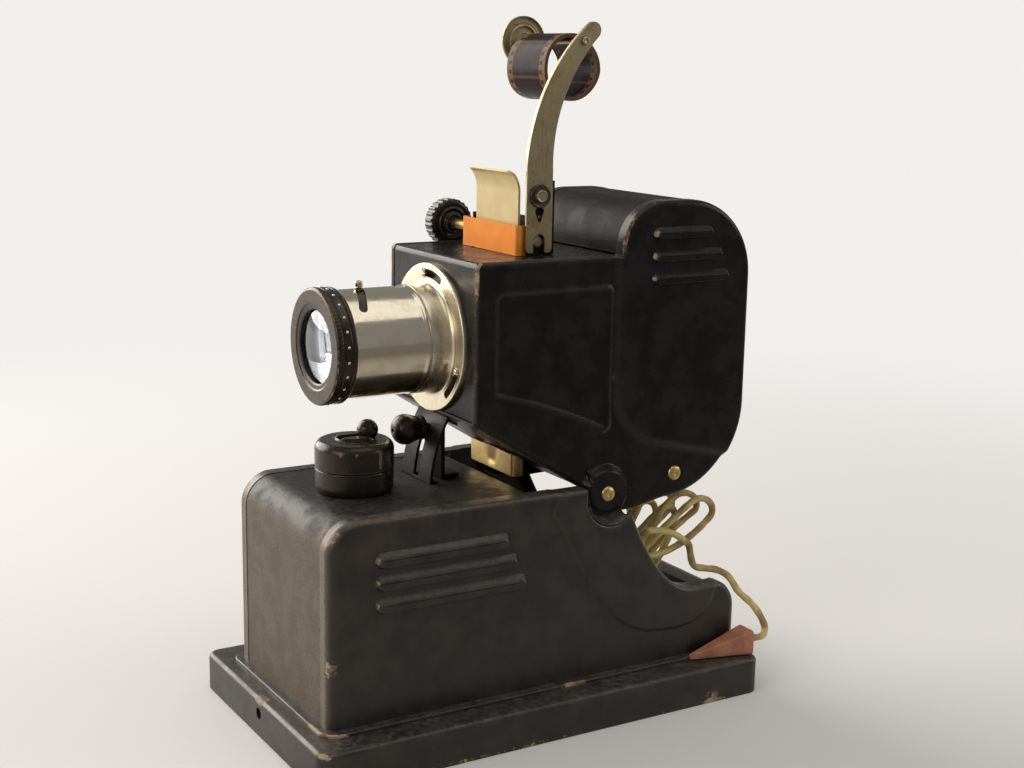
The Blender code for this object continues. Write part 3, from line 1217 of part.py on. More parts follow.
def pin_slot():
    """A cutter along the helix that the focus pin follows."""
    half = PIN_SLOT_WIDTH / 2
    inner = SLEEVE_RADIUS - SLEEVE_WALL - OVERRUN
    outer = SLEEVE_RADIUS + OVERRUN
    margin = math.degrees(half / SLEEVE_RADIUS)
    share = np.linspace(-margin / PIN_TURN_DEG, 1 + margin / PIN_TURN_DEG, 9)
    angles = np.radians(share * PIN_TURN_DEG)
    middle = PIN_Y - np.clip(share, 0, 1) * PIN_TRAVEL
    points = []
    for angle, y in zip(angles, middle):
        for radius, shift in ((inner, -half), (outer, -half), (outer, half), (inner, half)):
            points.append((radius * math.sin(angle), y + shift, LENS_Z + radius * math.cos(angle)))
    faces = [(0, 1, 2, 3), tuple(range(len(points) - 1, len(points) - 5, -1))]
    for row in range(len(share) - 1):
        for i in range(4):
            j = (i + 1) % 4
            faces.append((4 * row + i, 4 * row + j, 4 * row + 4 + j, 4 * row + 4 + i))
    return mesh_from(points, faces)


def make_lens(head):
    centre = (0, LENS_Z)
    mount = pivot("lens_mount_pivot", (0, HEAD_FRONT, LENS_Z), head)
    flange_rear = HEAD_FRONT - GAP
    flange_front = flange_rear - FLANGE_SHEET
    bore = SLEEVE_RADIUS - SLEEVE_WALL
    collar = flange_front - SLEEVE_COLLAR_LENGTH
    bead = SLEEVE_BEAD_LENGTH / 2
    raised = SLEEVE_RADIUS + SLEEVE_BEAD_RISE
    profile = [(bore, SLEEVE_FRONT), (SLEEVE_RADIUS, SLEEVE_FRONT), (SLEEVE_RADIUS, SLEEVE_BEAD_Y - bead),
               (raised, SLEEVE_BEAD_Y - bead / 2), (raised, SLEEVE_BEAD_Y + bead / 2),
               (SLEEVE_RADIUS, SLEEVE_BEAD_Y + bead), (SLEEVE_RADIUS, collar), (SLEEVE_COLLAR_RADIUS, collar),
               (SLEEVE_COLLAR_RADIUS, flange_front), (FLANGE_RADIUS, flange_front),
               (FLANGE_RADIUS, flange_rear),
               (SLEEVE_RADIUS, flange_rear), (SLEEVE_RADIUS, SLEEVE_REAR), (bore, SLEEVE_REAR)]
    solid = turned(profile, centre, "Y", 48, closed=True)
    slots = [mount_slot(turn) for turn in MOUNT_SCREW_DEG]
    piece("lens_mount", cut(solid, pin_slot(), *slots), "nickel", mount)

    seat = flange_front - GAP
    for number, place in enumerate(mount_screw_places(), start=1):
        top = seat - MOUNT_SCREW_HEAD_HEIGHT
        profile = [(0, top), (MOUNT_SCREW_HEAD_RADIUS * 2 / 3, top),
                   (MOUNT_SCREW_HEAD_RADIUS, seat - MOUNT_SCREW_HEAD_HEIGHT / 2), (MOUNT_SCREW_HEAD_RADIUS, seat),
                   (MOUNT_SHANK_RADIUS, seat), (MOUNT_SHANK_RADIUS, seat + MOUNT_SHANK_LENGTH),
                   (0, seat + MOUNT_SHANK_LENGTH)]
        piece(f"mount_screw_{number}", turned(profile, place, "Y", 12), "nickel", head)

    slide = pivot("focus_slide_pivot", (0, RING_REAR, LENS_Z), mount)
    inner = TUBE_RADIUS - TUBE_WALL
    cell = TUBE_FRONT + TUBE_CELL_LENGTH
    profile = [(TUBE_CELL_RADIUS, TUBE_FRONT), (TUBE_RADIUS, TUBE_FRONT), (TUBE_RADIUS, TUBE_REAR),
               (inner, TUBE_REAR), (inner, cell), (TUBE_CELL_RADIUS, cell)]
    turner = pivot("focus_turn_pivot", (0, RING_REAR, LENS_Z), slide)
    piece("lens_tube", turned(profile, centre, "Y", CIRCLE_STEPS, closed=True), "nickel", turner)
    profile = lens_solid(FRONT_GLASS_RADIUS, FRONT_GLASS_FRONT, FRONT_GLASS_EDGE, FRONT_GLASS_CROWN, 0)
    piece("lens_glass_front", turned(profile, centre, "Y", CIRCLE_STEPS), "glass", slide)
    profile = lens_solid(REAR_GLASS_RADIUS, REAR_GLASS_FRONT, REAR_GLASS_EDGE, 0, REAR_GLASS_CROWN)
    piece("lens_glass_rear", turned(profile, centre, "Y", CIRCLE_STEPS), "glass", slide)

    bore = TUBE_RADIUS + GAP
    lip = RING_FRONT + RING_LIP
    profile = [(bore, RING_REAR), (bore, lip), (RING_LIP_RADIUS, lip),
               (RING_LIP_RADIUS, RING_FRONT + RING_CHAMFER),
               (RING_LIP_RADIUS + RING_CHAMFER, RING_FRONT), (RING_RADIUS - RING_CHAMFER, RING_FRONT),
               (RING_RADIUS, RING_FRONT + RING_CHAMFER), (RING_RADIUS, RING_REAR - RING_CHAMFER),
               (RING_RADIUS - RING_CHAMFER, RING_REAR)]
    piece("focus_ring", turned(profile, centre, "Y", 48, closed=True), "bakelite", turner)
    profile = [(0, LENS_Z + TUBE_RADIUS + GAP), (PIN_RADIUS, LENS_Z + TUBE_RADIUS + GAP),
               (PIN_RADIUS, LENS_Z + PIN_HEAD_LOW), (PIN_HEAD_RADIUS, LENS_Z + PIN_HEAD_LOW),
               (PIN_HEAD_RADIUS, LENS_Z + PIN_TOP), (0, LENS_Z + PIN_TOP)]
    piece("focus_pin", turned(profile, (0, PIN_Y), "Z", 14), "nickel", turner)


def hank_outer_radius():
    return HANK_INNER_RADIUS + HANK_LOOPS_PER_LAYER * HANK_PITCH


def cord_side():
    """How far to the side the hank's outer run lies, where the lead meets it."""
    return HANK_X + hank_outer_radius()


def hank_place(u, v, w):
    """A place by the hank's own long, side and upward directions."""
    slope = math.radians(HANK_SLOPE_DEG)
    return (HANK_X + v, HANK_Y + u * math.cos(slope) - w * math.sin(slope),
            HANK_Z + u * math.sin(slope) + w * math.cos(slope))


def racetrack(share, radius):
    """A place on a long loop with round ends. share 0 is the start of the +X run."""
    half = HANK_STRAIGHT / 2
    share %= 1
    bend_share = 1 / 2 - HANK_RUN_SHARE
    far = share >= 1 / 2
    share -= far / 2
    if share < HANK_RUN_SHARE:
        u, v = share / HANK_RUN_SHARE * HANK_STRAIGHT - half, radius
    else:
        turn = (share - HANK_RUN_SHARE) / bend_share * math.pi
        u, v = half + radius * math.sin(turn), radius * math.cos(turn)
    return (-u, -v) if far else (u, v)


def hank_points():
    """The folded cord: loops that spiral in and out again, layer on layer, in one unbroken line."""
    start = CORD_DIAMETER / HANK_STRAIGHT * HANK_RUN_SHARE
    loops = HANK_LAYERS * HANK_LOOPS_PER_LAYER
    points = []
    for step in range(loops * HANK_POINTS_PER_LOOP + 1):
        turns = step / HANK_POINTS_PER_LOOP
        layer = min(int(turns / HANK_LOOPS_PER_LAYER), HANK_LAYERS - 1)
        within = turns - layer * HANK_LOOPS_PER_LAYER
        inward = within if layer % 2 == 0 else HANK_LOOPS_PER_LAYER - within
        level = 0
        for change in range(1, HANK_LAYERS):
            climb = (turns - change * HANK_LOOPS_PER_LAYER) / HANK_CLIMB_SHARE + 1 / 2
            climb = min(max(climb, 0), 1)
            level += climb * climb * (3 - 2 * climb)
        u, v = racetrack(start + turns, hank_outer_radius() - inward * HANK_PITCH)
        points.append(hank_place(u, v, ((HANK_LAYERS - 1) / 2 - level) * HANK_PITCH))
    return points


def smooth_route(points, spacing):
    """Evenly spaced places on a Catmull-Rom curve through a cord's own points."""
    p = np.array(points)
    p = np.vstack([2 * p[0] - p[1], p, 2 * p[-1] - p[-2]])
    dense = []
    for a, b, c, d in zip(p, p[1:], p[2:], p[3:]):
        for t in np.linspace(0, 1, 12, endpoint=False):
            dense.append((2 * b + (c - a) * t + (2 * a - 5 * b + 4 * c - d) * t ** 2
                          + (3 * b - a - 3 * c + d) * t ** 3) / 2)
    dense.append(p[-2])
    dense = np.array(dense)
    walk = np.concatenate([[0], np.cumsum(np.linalg.norm(np.diff(dense, axis=0), axis=1))])
    count = round(walk[-1] / spacing)
    places = np.linspace(0, walk[-1], count + 1)
    return [tuple(np.interp(s, walk, dense[:, k]) for k in range(3)) for s in places]


def cord_tube(name, points, resolution):
    """A round cord along points, as a bevelled curve with filled ends."""
    curve = bpy.data.curves.new(name, "CURVE")
    curve.dimensions = "3D"
    curve.bevel_depth = CORD_DIAMETER / 2
    curve.bevel_resolution = resolution
    curve.use_fill_caps = True
    spline = curve.splines.new("POLY")
    spline.points.add(len(points) - 1)
    for point, place in zip(spline.points, points):
        point.co = (*place, 1)
    curve.materials.append(finish("cotton_flex"))
    made = bpy.data.objects.new(name, curve)
    bpy.context.collection.objects.link(made)
    return made


def least_self_gap(points):
    """The least free space between turns that aren't neighbours along the cord."""
    corners = np.array(points)
    p = np.vstack([corners[:-1] + t * np.diff(corners, axis=0) for t in (0, 1 / 4, 1 / 2, 3 / 4)])
    steps = np.linalg.norm(np.diff(corners, axis=0), axis=1)
    start = np.concatenate([[0], np.cumsum(steps)[:-1]])
    walk = np.concatenate([start + t * steps for t in (0, 1 / 4, 1 / 2, 3 / 4)])
    distance = np.linalg.norm(p[:, None] - p[None], axis=2)
    apart = np.abs(walk[:, None] - walk[None]) > 4 * CORD_DIAMETER
    return float(distance[apart].min() - CORD_DIAMETER)


def straight_end(place, direction):
    """Two points a cord diameter apart, from the first one on along a direction."""
    first = Vector(place)
    return [tuple(first), tuple(first + CORD_DIAMETER * Vector(direction))]


def make_cord():
    root = PARTITION_Y - SHEET
    seat = PARTITION_Y + SHEET + GAP
    tip = PARTITION_Y + SHEET + BUSH_TAIL_LENGTH
    bush = [(0, root), (BUSH_RADIUS, root), (BUSH_RADIUS, seat), (BUSH_FLANGE_RADIUS, seat),
            (BUSH_FLANGE_RADIUS, seat + BUSH_FLANGE), (BUSH_TIP_RADIUS, tip), (0, tip)]
    piece("cord_bush", turned(bush, (cord_side(), BUSH_Z), "Y", SMALL_STEPS), "bakelite")

    hank = hank_points()
    cord_tube("cord_hank", hank, HANK_RESOLUTION)
    print("least gap in cord_hank: %.2f mm" % (least_self_gap(hank) * 1000))

    along = Vector(hank_place(HANK_STRAIGHT, 0, 0)) - Vector(hank_place(0, 0, 0))
    along.normalize()
    meets = Vector(hank[0]) - GAP * along
    leaves = Vector(hank[-1]) + GAP * along
    near = straight_end((cord_side(), tip + GAP, BUSH_Z), (0, 1, 0))
    far = straight_end(meets, -along)[::-1]
    middle = smooth_route([near[1], *LEAD_ROUTE, far[0]], FREE_SPACING)
    cord_tube("cord_lead", near[:1] + middle + far[1:], FREE_RESOLUTION)

    low = PLINTH_HEIGHT + GAP
    near = straight_end(leaves, along)
    far = straight_end((PLUG_X, PLUG_REAR + GAP, low + PLUG_HEIGHT / 2), (0, 1, 0))[::-1]
    middle = smooth_route([near[1], *TAIL_ROUTE, far[0]], FREE_SPACING)
    cord_tube("cord_tail", near[:1] + middle + far[1:], FREE_RESOLUTION)

    # The end piece: a wedge that lies on the plinth's ledge
    rings = [(PLUG_FRONT, PLUG_TIP_WIDTH, PLUG_TIP_HEIGHT), (PLUG_REAR, PLUG_WIDTH, PLUG_HEIGHT)]
    points = []
    for y, width, height in rings:
        outline = rounded_rectangle((PLUG_X - width / 2, low), (PLUG_X + width / 2, low + height),
                                    PLUG_EDGE, 2)
        points.extend(spread(outline, y, "Y"))
    count = len(points) // 2
    faces = [(i, (i + 1) % count, count + (i + 1) % count, count + i) for i in range(count)]
    faces += [tuple(range(count)), tuple(range(2 * count - 1, count - 1, -1))]
    piece("cord_plug", mesh_from(points, faces), "terracotta")


def main():
    clear_scene()
    make_plinth()
    make_housing()
    make_transformer()
    make_switch()
    make_clamp()
    head = pivot("head_pivot", (0, HINGE_Y, HINGE_Z))
    make_head_shell(head)
    make_tilt_strip(head)
    make_screws(head)
    make_lamp(head)
    make_condenser(head)
    make_gate(head)
    make_drive(head)
    make_reel_arm(head)
    make_lens(head)
    make_cord()


main()
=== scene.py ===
import json
import math

import bmesh
import bpy
import numpy as np
from mathutils import Matrix, Vector


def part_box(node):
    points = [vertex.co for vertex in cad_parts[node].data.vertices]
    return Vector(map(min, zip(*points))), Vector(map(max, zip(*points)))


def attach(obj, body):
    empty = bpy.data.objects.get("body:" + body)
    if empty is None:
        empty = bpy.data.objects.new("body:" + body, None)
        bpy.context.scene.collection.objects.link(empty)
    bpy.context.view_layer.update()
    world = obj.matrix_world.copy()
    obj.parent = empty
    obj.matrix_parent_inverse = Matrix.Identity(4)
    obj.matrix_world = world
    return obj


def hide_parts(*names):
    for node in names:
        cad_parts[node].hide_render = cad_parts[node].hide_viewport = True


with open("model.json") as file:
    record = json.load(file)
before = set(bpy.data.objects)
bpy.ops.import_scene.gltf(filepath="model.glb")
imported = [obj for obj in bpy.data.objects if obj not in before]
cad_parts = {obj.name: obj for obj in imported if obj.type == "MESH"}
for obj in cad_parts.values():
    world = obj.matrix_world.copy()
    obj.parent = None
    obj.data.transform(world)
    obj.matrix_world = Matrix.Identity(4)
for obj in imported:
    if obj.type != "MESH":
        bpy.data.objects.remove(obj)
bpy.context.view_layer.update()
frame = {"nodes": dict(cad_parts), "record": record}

# Sizes are in metres. The lens looks along -Y, +Z is up, and +X is the side that the camera sees.
shared = {"sheet": 0.0012, "edge": 0.0027}


# Node trees

def put(tree, kind, settings=None, sockets=None):
    # A node with its settings, and with constants or links on its input sockets.
    made = tree.nodes.new(kind)
    for key, value in (settings or {}).items():
        setattr(made, key, value)
    for key, value in (sockets or {}).items():
        if isinstance(value, bpy.types.NodeSocket):
            tree.links.new(value, made.inputs[key])
        else:
            made.inputs[key].default_value = value
    return made


def sums(tree, operation, first, second=0.0, third=None, clamp=False):
    sockets = {0: first, 1: second}
    if third is not None:
        sockets[2] = third
    return put(tree, "ShaderNodeMath", {"operation": operation, "use_clamp": clamp}, sockets).outputs[0]


def ramp(tree, value, low, high, start=0.0, end=1.0):
    made = put(tree, "ShaderNodeMapRange", {"interpolation_type": "SMOOTHSTEP"},
               {"Value": value, "From Min": low, "From Max": high, "To Min": start, "To Max": end})
    return made.outputs["Result"]


def blendColour(tree, share, first, second, mode="MIX"):
    made = put(tree, "ShaderNodeMix", {"data_type": "RGBA", "blend_type": mode})
    for index, value in ((0, share), (6, first), (7, second)):
        if isinstance(value, bpy.types.NodeSocket):
            tree.links.new(value, made.inputs[index])
        elif index == 0:
            made.inputs[0].default_value = value
        else:
            made.inputs[index].default_value = (*value, 1.0)
    return made.outputs[2]


def noise(tree, place, scale, detail=3.0, roughness=0.55, stretch=None):
    # Noise at object places, drawn out along an axis where stretch is given.
    if stretch:
        place = put(tree, "ShaderNodeVectorMath", {"operation": "MULTIPLY"},
                    {0: place, 1: stretch}).outputs[0]
    made = put(tree, "ShaderNodeTexNoise", {}, {"Vector": place, "Scale": scale, "Detail": detail,
                                                "Roughness": roughness})
    return made.outputs["Fac"]


def startGroup(name, inputs, outputs):
    group = bpy.data.node_groups.new(name, "ShaderNodeTree")
    for label, value in inputs:
        socket = group.interface.new_socket(label, in_out="INPUT", socket_type="NodeSocketFloat")
        socket.default_value = value
    for label in outputs:
        group.interface.new_socket(label, in_out="OUTPUT", socket_type="NodeSocketFloat")
    return group, group.nodes.new("NodeGroupInput"), group.nodes.new("NodeGroupOutput")


def objectPlace(tree):
    return put(tree, "ShaderNodeTexCoord").outputs["Object"]


def grainGroup():
    # Fine pebbled height of a sprayed or cast skin, and a slow mottling.
    group, given, out = startGroup("skin grain", [("Scale", 1400.0), ("Mottle Scale", 60.0)],
                                   ["Height", "Mottle"])
    place = objectPlace(group)
    fine = noise(group, place, given.outputs["Scale"], 2.0, 0.5)
    coarse = noise(group, place, sums(group, "MULTIPLY", given.outputs["Scale"], 0.28), 3.0, 0.6)
    group.links.new(sums(group, "ADD", sums(group, "MULTIPLY", fine, 0.6),
                         sums(group, "MULTIPLY", coarse, 0.4)), out.inputs["Height"])
    slow = noise(group, place, given.outputs["Mottle Scale"], 5.0, 0.6)
    group.links.new(ramp(group, slow, 0.32, 0.68), out.inputs["Mottle"])
    return group


def wearGroup():
    # Where a finish has rubbed off: the piece's own wear attribute broken up by noise.
    group, given, out = startGroup("worn through", [("Amount", 0.5), ("Scale", 500.0)], ["Mask", "Halo"])
    place = objectPlace(group)
    worn = put(group, "ShaderNodeAttribute", {"attribute_name": "wear"}).outputs["Fac"]
    patch = noise(group, place, given.outputs["Scale"], 6.0, 0.7)
    slow = noise(group, place, sums(group, "MULTIPLY", given.outputs["Scale"], 0.09), 3.0, 0.6)
    level = sums(group, "ADD", patch, sums(group, "MULTIPLY", slow, 0.9))
    level = sums(group, "ADD", level, sums(group, "MULTIPLY", worn, given.outputs["Amount"]))
    group.links.new(ramp(group, level, 1.36, 1.42), out.inputs["Mask"])
    group.links.new(ramp(group, level, 1.22, 1.42), out.inputs["Halo"])
    return group


def dustGroup():
    # A thin film of dust on faces that look up.
    group, given, out = startGroup("settled dust", [("Amount", 0.3), ("Scale", 300.0)], ["Mask"])
    place = objectPlace(group)
    facing = put(group, "ShaderNodeNewGeometry").outputs["Normal"]
    up = put(group, "ShaderNodeSeparateXYZ", {}, {0: facing}).outputs["Z"]
    lint = noise(group, place, given.outputs["Scale"], 5.0, 0.7)
    share = sums(group, "MULTIPLY", ramp(group, up, 0.35, 1.0), ramp(group, lint, 0.35, 0.75))
    group.links.new(sums(group, "MULTIPLY", share, given.outputs["Amount"]), out.inputs["Mask"])
    return group


groups = {"grain": grainGroup(), "wear": wearGroup(), "dust": dustGroup()}


def useGroup(tree, name, **values):
    made = tree.nodes.new("ShaderNodeGroup")
    made.node_tree = groups[name]
    for key, value in values.items():
        made.inputs[key.replace("_", " ")].default_value = value
    return made.outputs


def startMaterial(name):
    made = bpy.data.materials.new(name)
    made.use_nodes = True
    return made, made.node_tree, made.node_tree.nodes["Principled BSDF"]


def setSockets(tree, shader, **values):
    for key, value in values.items():
        socket = shader.inputs[key.replace("_", " ")]
        if isinstance(value, bpy.types.NodeSocket):
            tree.links.new(value, socket)
        elif isinstance(value, tuple) and len(value) == 3:
            socket.default_value = (*value, 1.0)
        else:
            socket.default_value = value


def bump(tree, height, distance, strength=1.0):
    return put(tree, "ShaderNodeBump", {}, {"Height": height, "Distance": distance,
                                            "Strength": strength}).outputs[0]


def attributeValue(tree, name):
    return put(tree, "ShaderNodeAttribute", {"attribute_name": name}).outputs["Fac"]


def enamel(name, dark, light, chip, rough=(0.34, 0.48), peel=0.00006, wear=0.36, dust=0.25, grain=1300.0,
           coat=0.12, level=0.5):
    # Sprayed or stoved paint with orange peel, rubbed edges, chips and a little dust.
    made, tree, shader = startMaterial(name)
    skin = useGroup(tree, "grain", Scale=grain, Mottle_Scale=70.0)
    worn = useGroup(tree, "wear", Amount=wear, Scale=420.0)
    dusty = useGroup(tree, "dust", Amount=dust)["Mask"]
    rubbed_and_lit = attributeValue(tree, "rub")
    place = objectPlace(tree)
    rust = ramp(tree, noise(tree, place, 95.0, 4.0, 0.6), 0.45, 0.62)
    bare = blendColour(tree, rust, chip, (0.42 * chip[0], 0.30 * chip[1], 0.24 * chip[2]))
    colour = blendColour(tree, skin["Mottle"], dark, light)
    # Painted light: the rub share lightens the paint, partly as paint rubbed thin and partly as painted
    # highlights and reflections.
    thinned_and_lit = sums(tree, "MULTIPLY", rubbed_and_lit, ramp(tree, noise(tree, place, 900.0, 4.0, 0.6), 0.25, 0.6, 0.25,
                                               0.6))
    colour = blendColour(tree, thinned_and_lit, colour, tuple(0.30 * c + 0.02 for c in chip))
    colour = blendColour(tree, sums(tree, "MULTIPLY", worn["Halo"], 0.45), colour,
                         tuple(0.45 * c for c in chip))
    colour = blendColour(tree, worn["Mask"], colour, bare)
    colour = blendColour(tree, dusty, colour, (0.30, 0.27, 0.23))
    # Painted shade: the shade share darkens the colour where shade falls.
    shaded = sums(tree, "MULTIPLY", attributeValue(tree, "shade"), 0.8)
    colour = blendColour(tree, shaded, colour, tuple(0.12 * c for c in dark))
    roughness = ramp(tree, skin["Mottle"], 0.0, 1.0, rough[0], rough[1])
    roughness = sums(tree, "ADD", roughness, sums(tree, "MULTIPLY", worn["Mask"], 0.25))
    height = sums(tree, "SUBTRACT", skin["Height"], sums(tree, "MULTIPLY", worn["Mask"], 0.8))
    # The warm specular tint stands in for warm light reflected from the surroundings.
    setSockets(tree, shader, Base_Color=colour, Roughness=roughness, Normal=bump(tree, height, peel), IOR=1.5,
               Specular_IOR_Level=level, Specular_Tint=(1.0, 0.90, 0.80), Coat_Weight=coat,
               Coat_Roughness=0.09, Coat_IOR=1.5)
    return made


def metal(name, base, stain, rough=(0.18, 0.34), spots=0.0, stretch=None, brush=900.0, depth=0.000012,
          tarnish=0.35, stained=False):
    # Plated or bare metal with fine drawn lines, slow tarnish and optional spots.
    made, tree, shader = startMaterial(name)
    place = objectPlace(tree)
    lines = noise(tree, place, brush, 3.0, 0.6, stretch or (1.0, 1.0, 1.0))
    slow = ramp(tree, noise(tree, place, 85.0, 5.0, 0.62), 0.38, 0.70)
    spotted = ramp(tree, noise(tree, place, 520.0, 4.0, 0.65), 0.62, 0.70, 0.0, spots)
    colour = blendColour(tree, sums(tree, "MULTIPLY", slow, tarnish), base, stain)
    colour = blendColour(tree, spotted, colour, tuple(0.35 * c for c in stain))
    # Painted shade: when asked, the colour darkens towards a dark brass where the piece's stain share is set.
    if stained:
        colour = blendColour(tree, sums(tree, "MULTIPLY", attributeValue(tree, "stain"), 0.8), colour,
                             tuple(0.22 * c for c in base))
    roughness = ramp(tree, lines, 0.3, 0.7, rough[0], rough[1])
    roughness = sums(tree, "ADD", roughness, sums(tree, "MULTIPLY", slow, 0.12))
    roughness = sums(tree, "ADD", roughness, sums(tree, "MULTIPLY", attributeValue(tree, "satin"), 0.15))
    setSockets(tree, shader, Base_Color=colour, Metallic=1.0, Roughness=roughness,
               Normal=bump(tree, sums(tree, "SUBTRACT", lines, spotted), depth))
    return made


def bakelite(name):
    # Moulded brown-black resin: glossy, with brown flow streaks, rubbed rims and painted highlights.
    made, tree, shader = startMaterial(name)
    place = objectPlace(tree)
    flow = noise(tree, place, 160.0, 6.0, 0.72, (1.0, 1.0, 2.2))
    streak = ramp(tree, flow, 0.56, 0.72)
    worn = useGroup(tree, "wear", Amount=0.42, Scale=520.0)
    dusty = useGroup(tree, "dust", Amount=0.22)["Mask"]
    colour = blendColour(tree, streak, (0.011, 0.008, 0.007), (0.045, 0.020, 0.010))
    # Painted light: the rub share lightens the resin, partly as rubbed resin and partly as painted highlights
    # and reflections.
    rubbed_and_lit = sums(tree, "MULTIPLY", attributeValue(tree, "rub"), ramp(tree, flow, 0.3, 0.65, 0.35, 1.0))
    colour = blendColour(tree, rubbed_and_lit, colour, (0.060, 0.038, 0.022))
    colour = blendColour(tree, worn["Mask"], colour, (0.16, 0.10, 0.05))
    colour = blendColour(tree, dusty, colour, (0.22, 0.19, 0.15))
    roughness = ramp(tree, noise(tree, place, 700.0, 3.0, 0.6), 0.3, 0.7, 0.20, 0.33)
    setSockets(tree, shader, Base_Color=colour, Roughness=roughness, Specular_Tint=(1.0, 0.86, 0.70),
               Normal=bump(tree, noise(tree, place, 1800.0, 2.0, 0.5), 0.00002))
    return made


def glass(name, tint):
    made, tree, shader = startMaterial(name)
    haze = noise(tree, objectPlace(tree), 240.0, 4.0, 0.6)
    setSockets(tree, shader, Base_Color=blendColour(tree, haze, tint, tuple(0.97 * c for c in tint)),
               Roughness=ramp(tree, haze, 0.4, 0.8, 0.02, 0.07), IOR=1.52, Transmission_Weight=1.0,
               Normal=bump(tree, haze, 0.000004))
    return made


def matte(name, dark, light, rough=0.7, scale=900.0, depth=0.00005, slow=90.0):
    made, tree, shader = startMaterial(name)
    skin = useGroup(tree, "grain", Scale=scale, Mottle_Scale=slow)
    setSockets(tree, shader, Base_Color=blendColour(tree, skin["Mottle"], dark, light),
               Roughness=ramp(tree, skin["Height"], 0.3, 0.7, rough - 0.08, rough + 0.08),
               Normal=bump(tree, skin["Height"], depth))
    return made


def cottonFlex(name):
    # Braided cotton: two crossing sets of strands worked out from the piece's own along and around.
    made, tree, shader = startMaterial(name)
    along = attributeValue(tree, "along")
    around = attributeValue(tree, "around")
    crossed = []
    for sign in (1.0, -1.0):
        phase = sums(tree, "ADD", sums(tree, "MULTIPLY", along, 5200.0),
                     sums(tree, "MULTIPLY", around, 8.0 * sign))
        crossed.append(sums(tree, "SINE", phase))
    weave = sums(tree, "MULTIPLY", crossed[0], crossed[1])
    place = objectPlace(tree)
    grime = ramp(tree, noise(tree, place, 40.0, 4.0, 0.6), 0.46, 0.60)
    fuzz = noise(tree, place, 2600.0, 3.0, 0.7)
    colour = blendColour(tree, grime, (0.95, 0.76, 0.26), (0.46, 0.26, 0.085))
    # Painted shade in the hollows of the weave.
    colour = blendColour(tree, ramp(tree, weave, -0.7, 0.4, 0.34, 0.0), colour, (0.34, 0.22, 0.065))
    height = sums(tree, "ADD", weave, sums(tree, "MULTIPLY", fuzz, 0.8))
    setSockets(tree, shader, Base_Color=colour, Roughness=0.88, Sheen_Weight=0.35, Sheen_Roughness=0.5,
               Normal=bump(tree, height, 0.00016))
    return made


def filmStock(name):
    # Developed film: dark base, amber edges with perforations, a faint frame line at each picture.
    made, tree, shader = startMaterial(name)
    across = attributeValue(tree, "across")
    along = attributeValue(tree, "along")
    side = sums(tree, "ABSOLUTE", across)
    pitch = sums(tree, "ABSOLUTE", sums(tree, "SUBTRACT", sums(tree, "FRACT",
                                                               sums(tree, "DIVIDE", along, 0.00475)), 0.5))
    nearRow = ramp(tree, sums(tree, "ABSOLUTE", sums(tree, "SUBTRACT", side, 0.0141)), 0.0011, 0.0014, 1.0,
                   0.0)
    holes = sums(tree, "MULTIPLY", nearRow, ramp(tree, pitch, 0.18, 0.23, 1.0, 0.0))
    border = ramp(tree, side, 0.0120, 0.0126)
    frames = sums(tree, "ABSOLUTE", sums(tree, "SUBTRACT", sums(tree, "FRACT",
                                                                sums(tree, "DIVIDE", along, 0.019)), 0.5))
    bars = ramp(tree, frames, 0.45, 0.47)
    cloud = noise(tree, objectPlace(tree), 130.0, 4.0, 0.6)
    colour = blendColour(tree, cloud, (0.012, 0.006, 0.0075), (0.036, 0.017, 0.018))
    colour = blendColour(tree, sums(tree, "MULTIPLY", bars, 0.5), colour, (0.16, 0.09, 0.05))
    colour = blendColour(tree, sums(tree, "MULTIPLY", border, 0.85), colour, (0.20, 0.115, 0.060))
    colour = blendColour(tree, holes, colour, (0.030, 0.018, 0.014))
    setSockets(tree, shader, Base_Color=colour, Roughness=ramp(tree, cloud, 0.3, 0.7, 0.28, 0.42),
               Specular_IOR_Level=0.05, Normal=bump(tree, sums(tree, "SUBTRACT", cloud, holes), 0.00004))
    return made


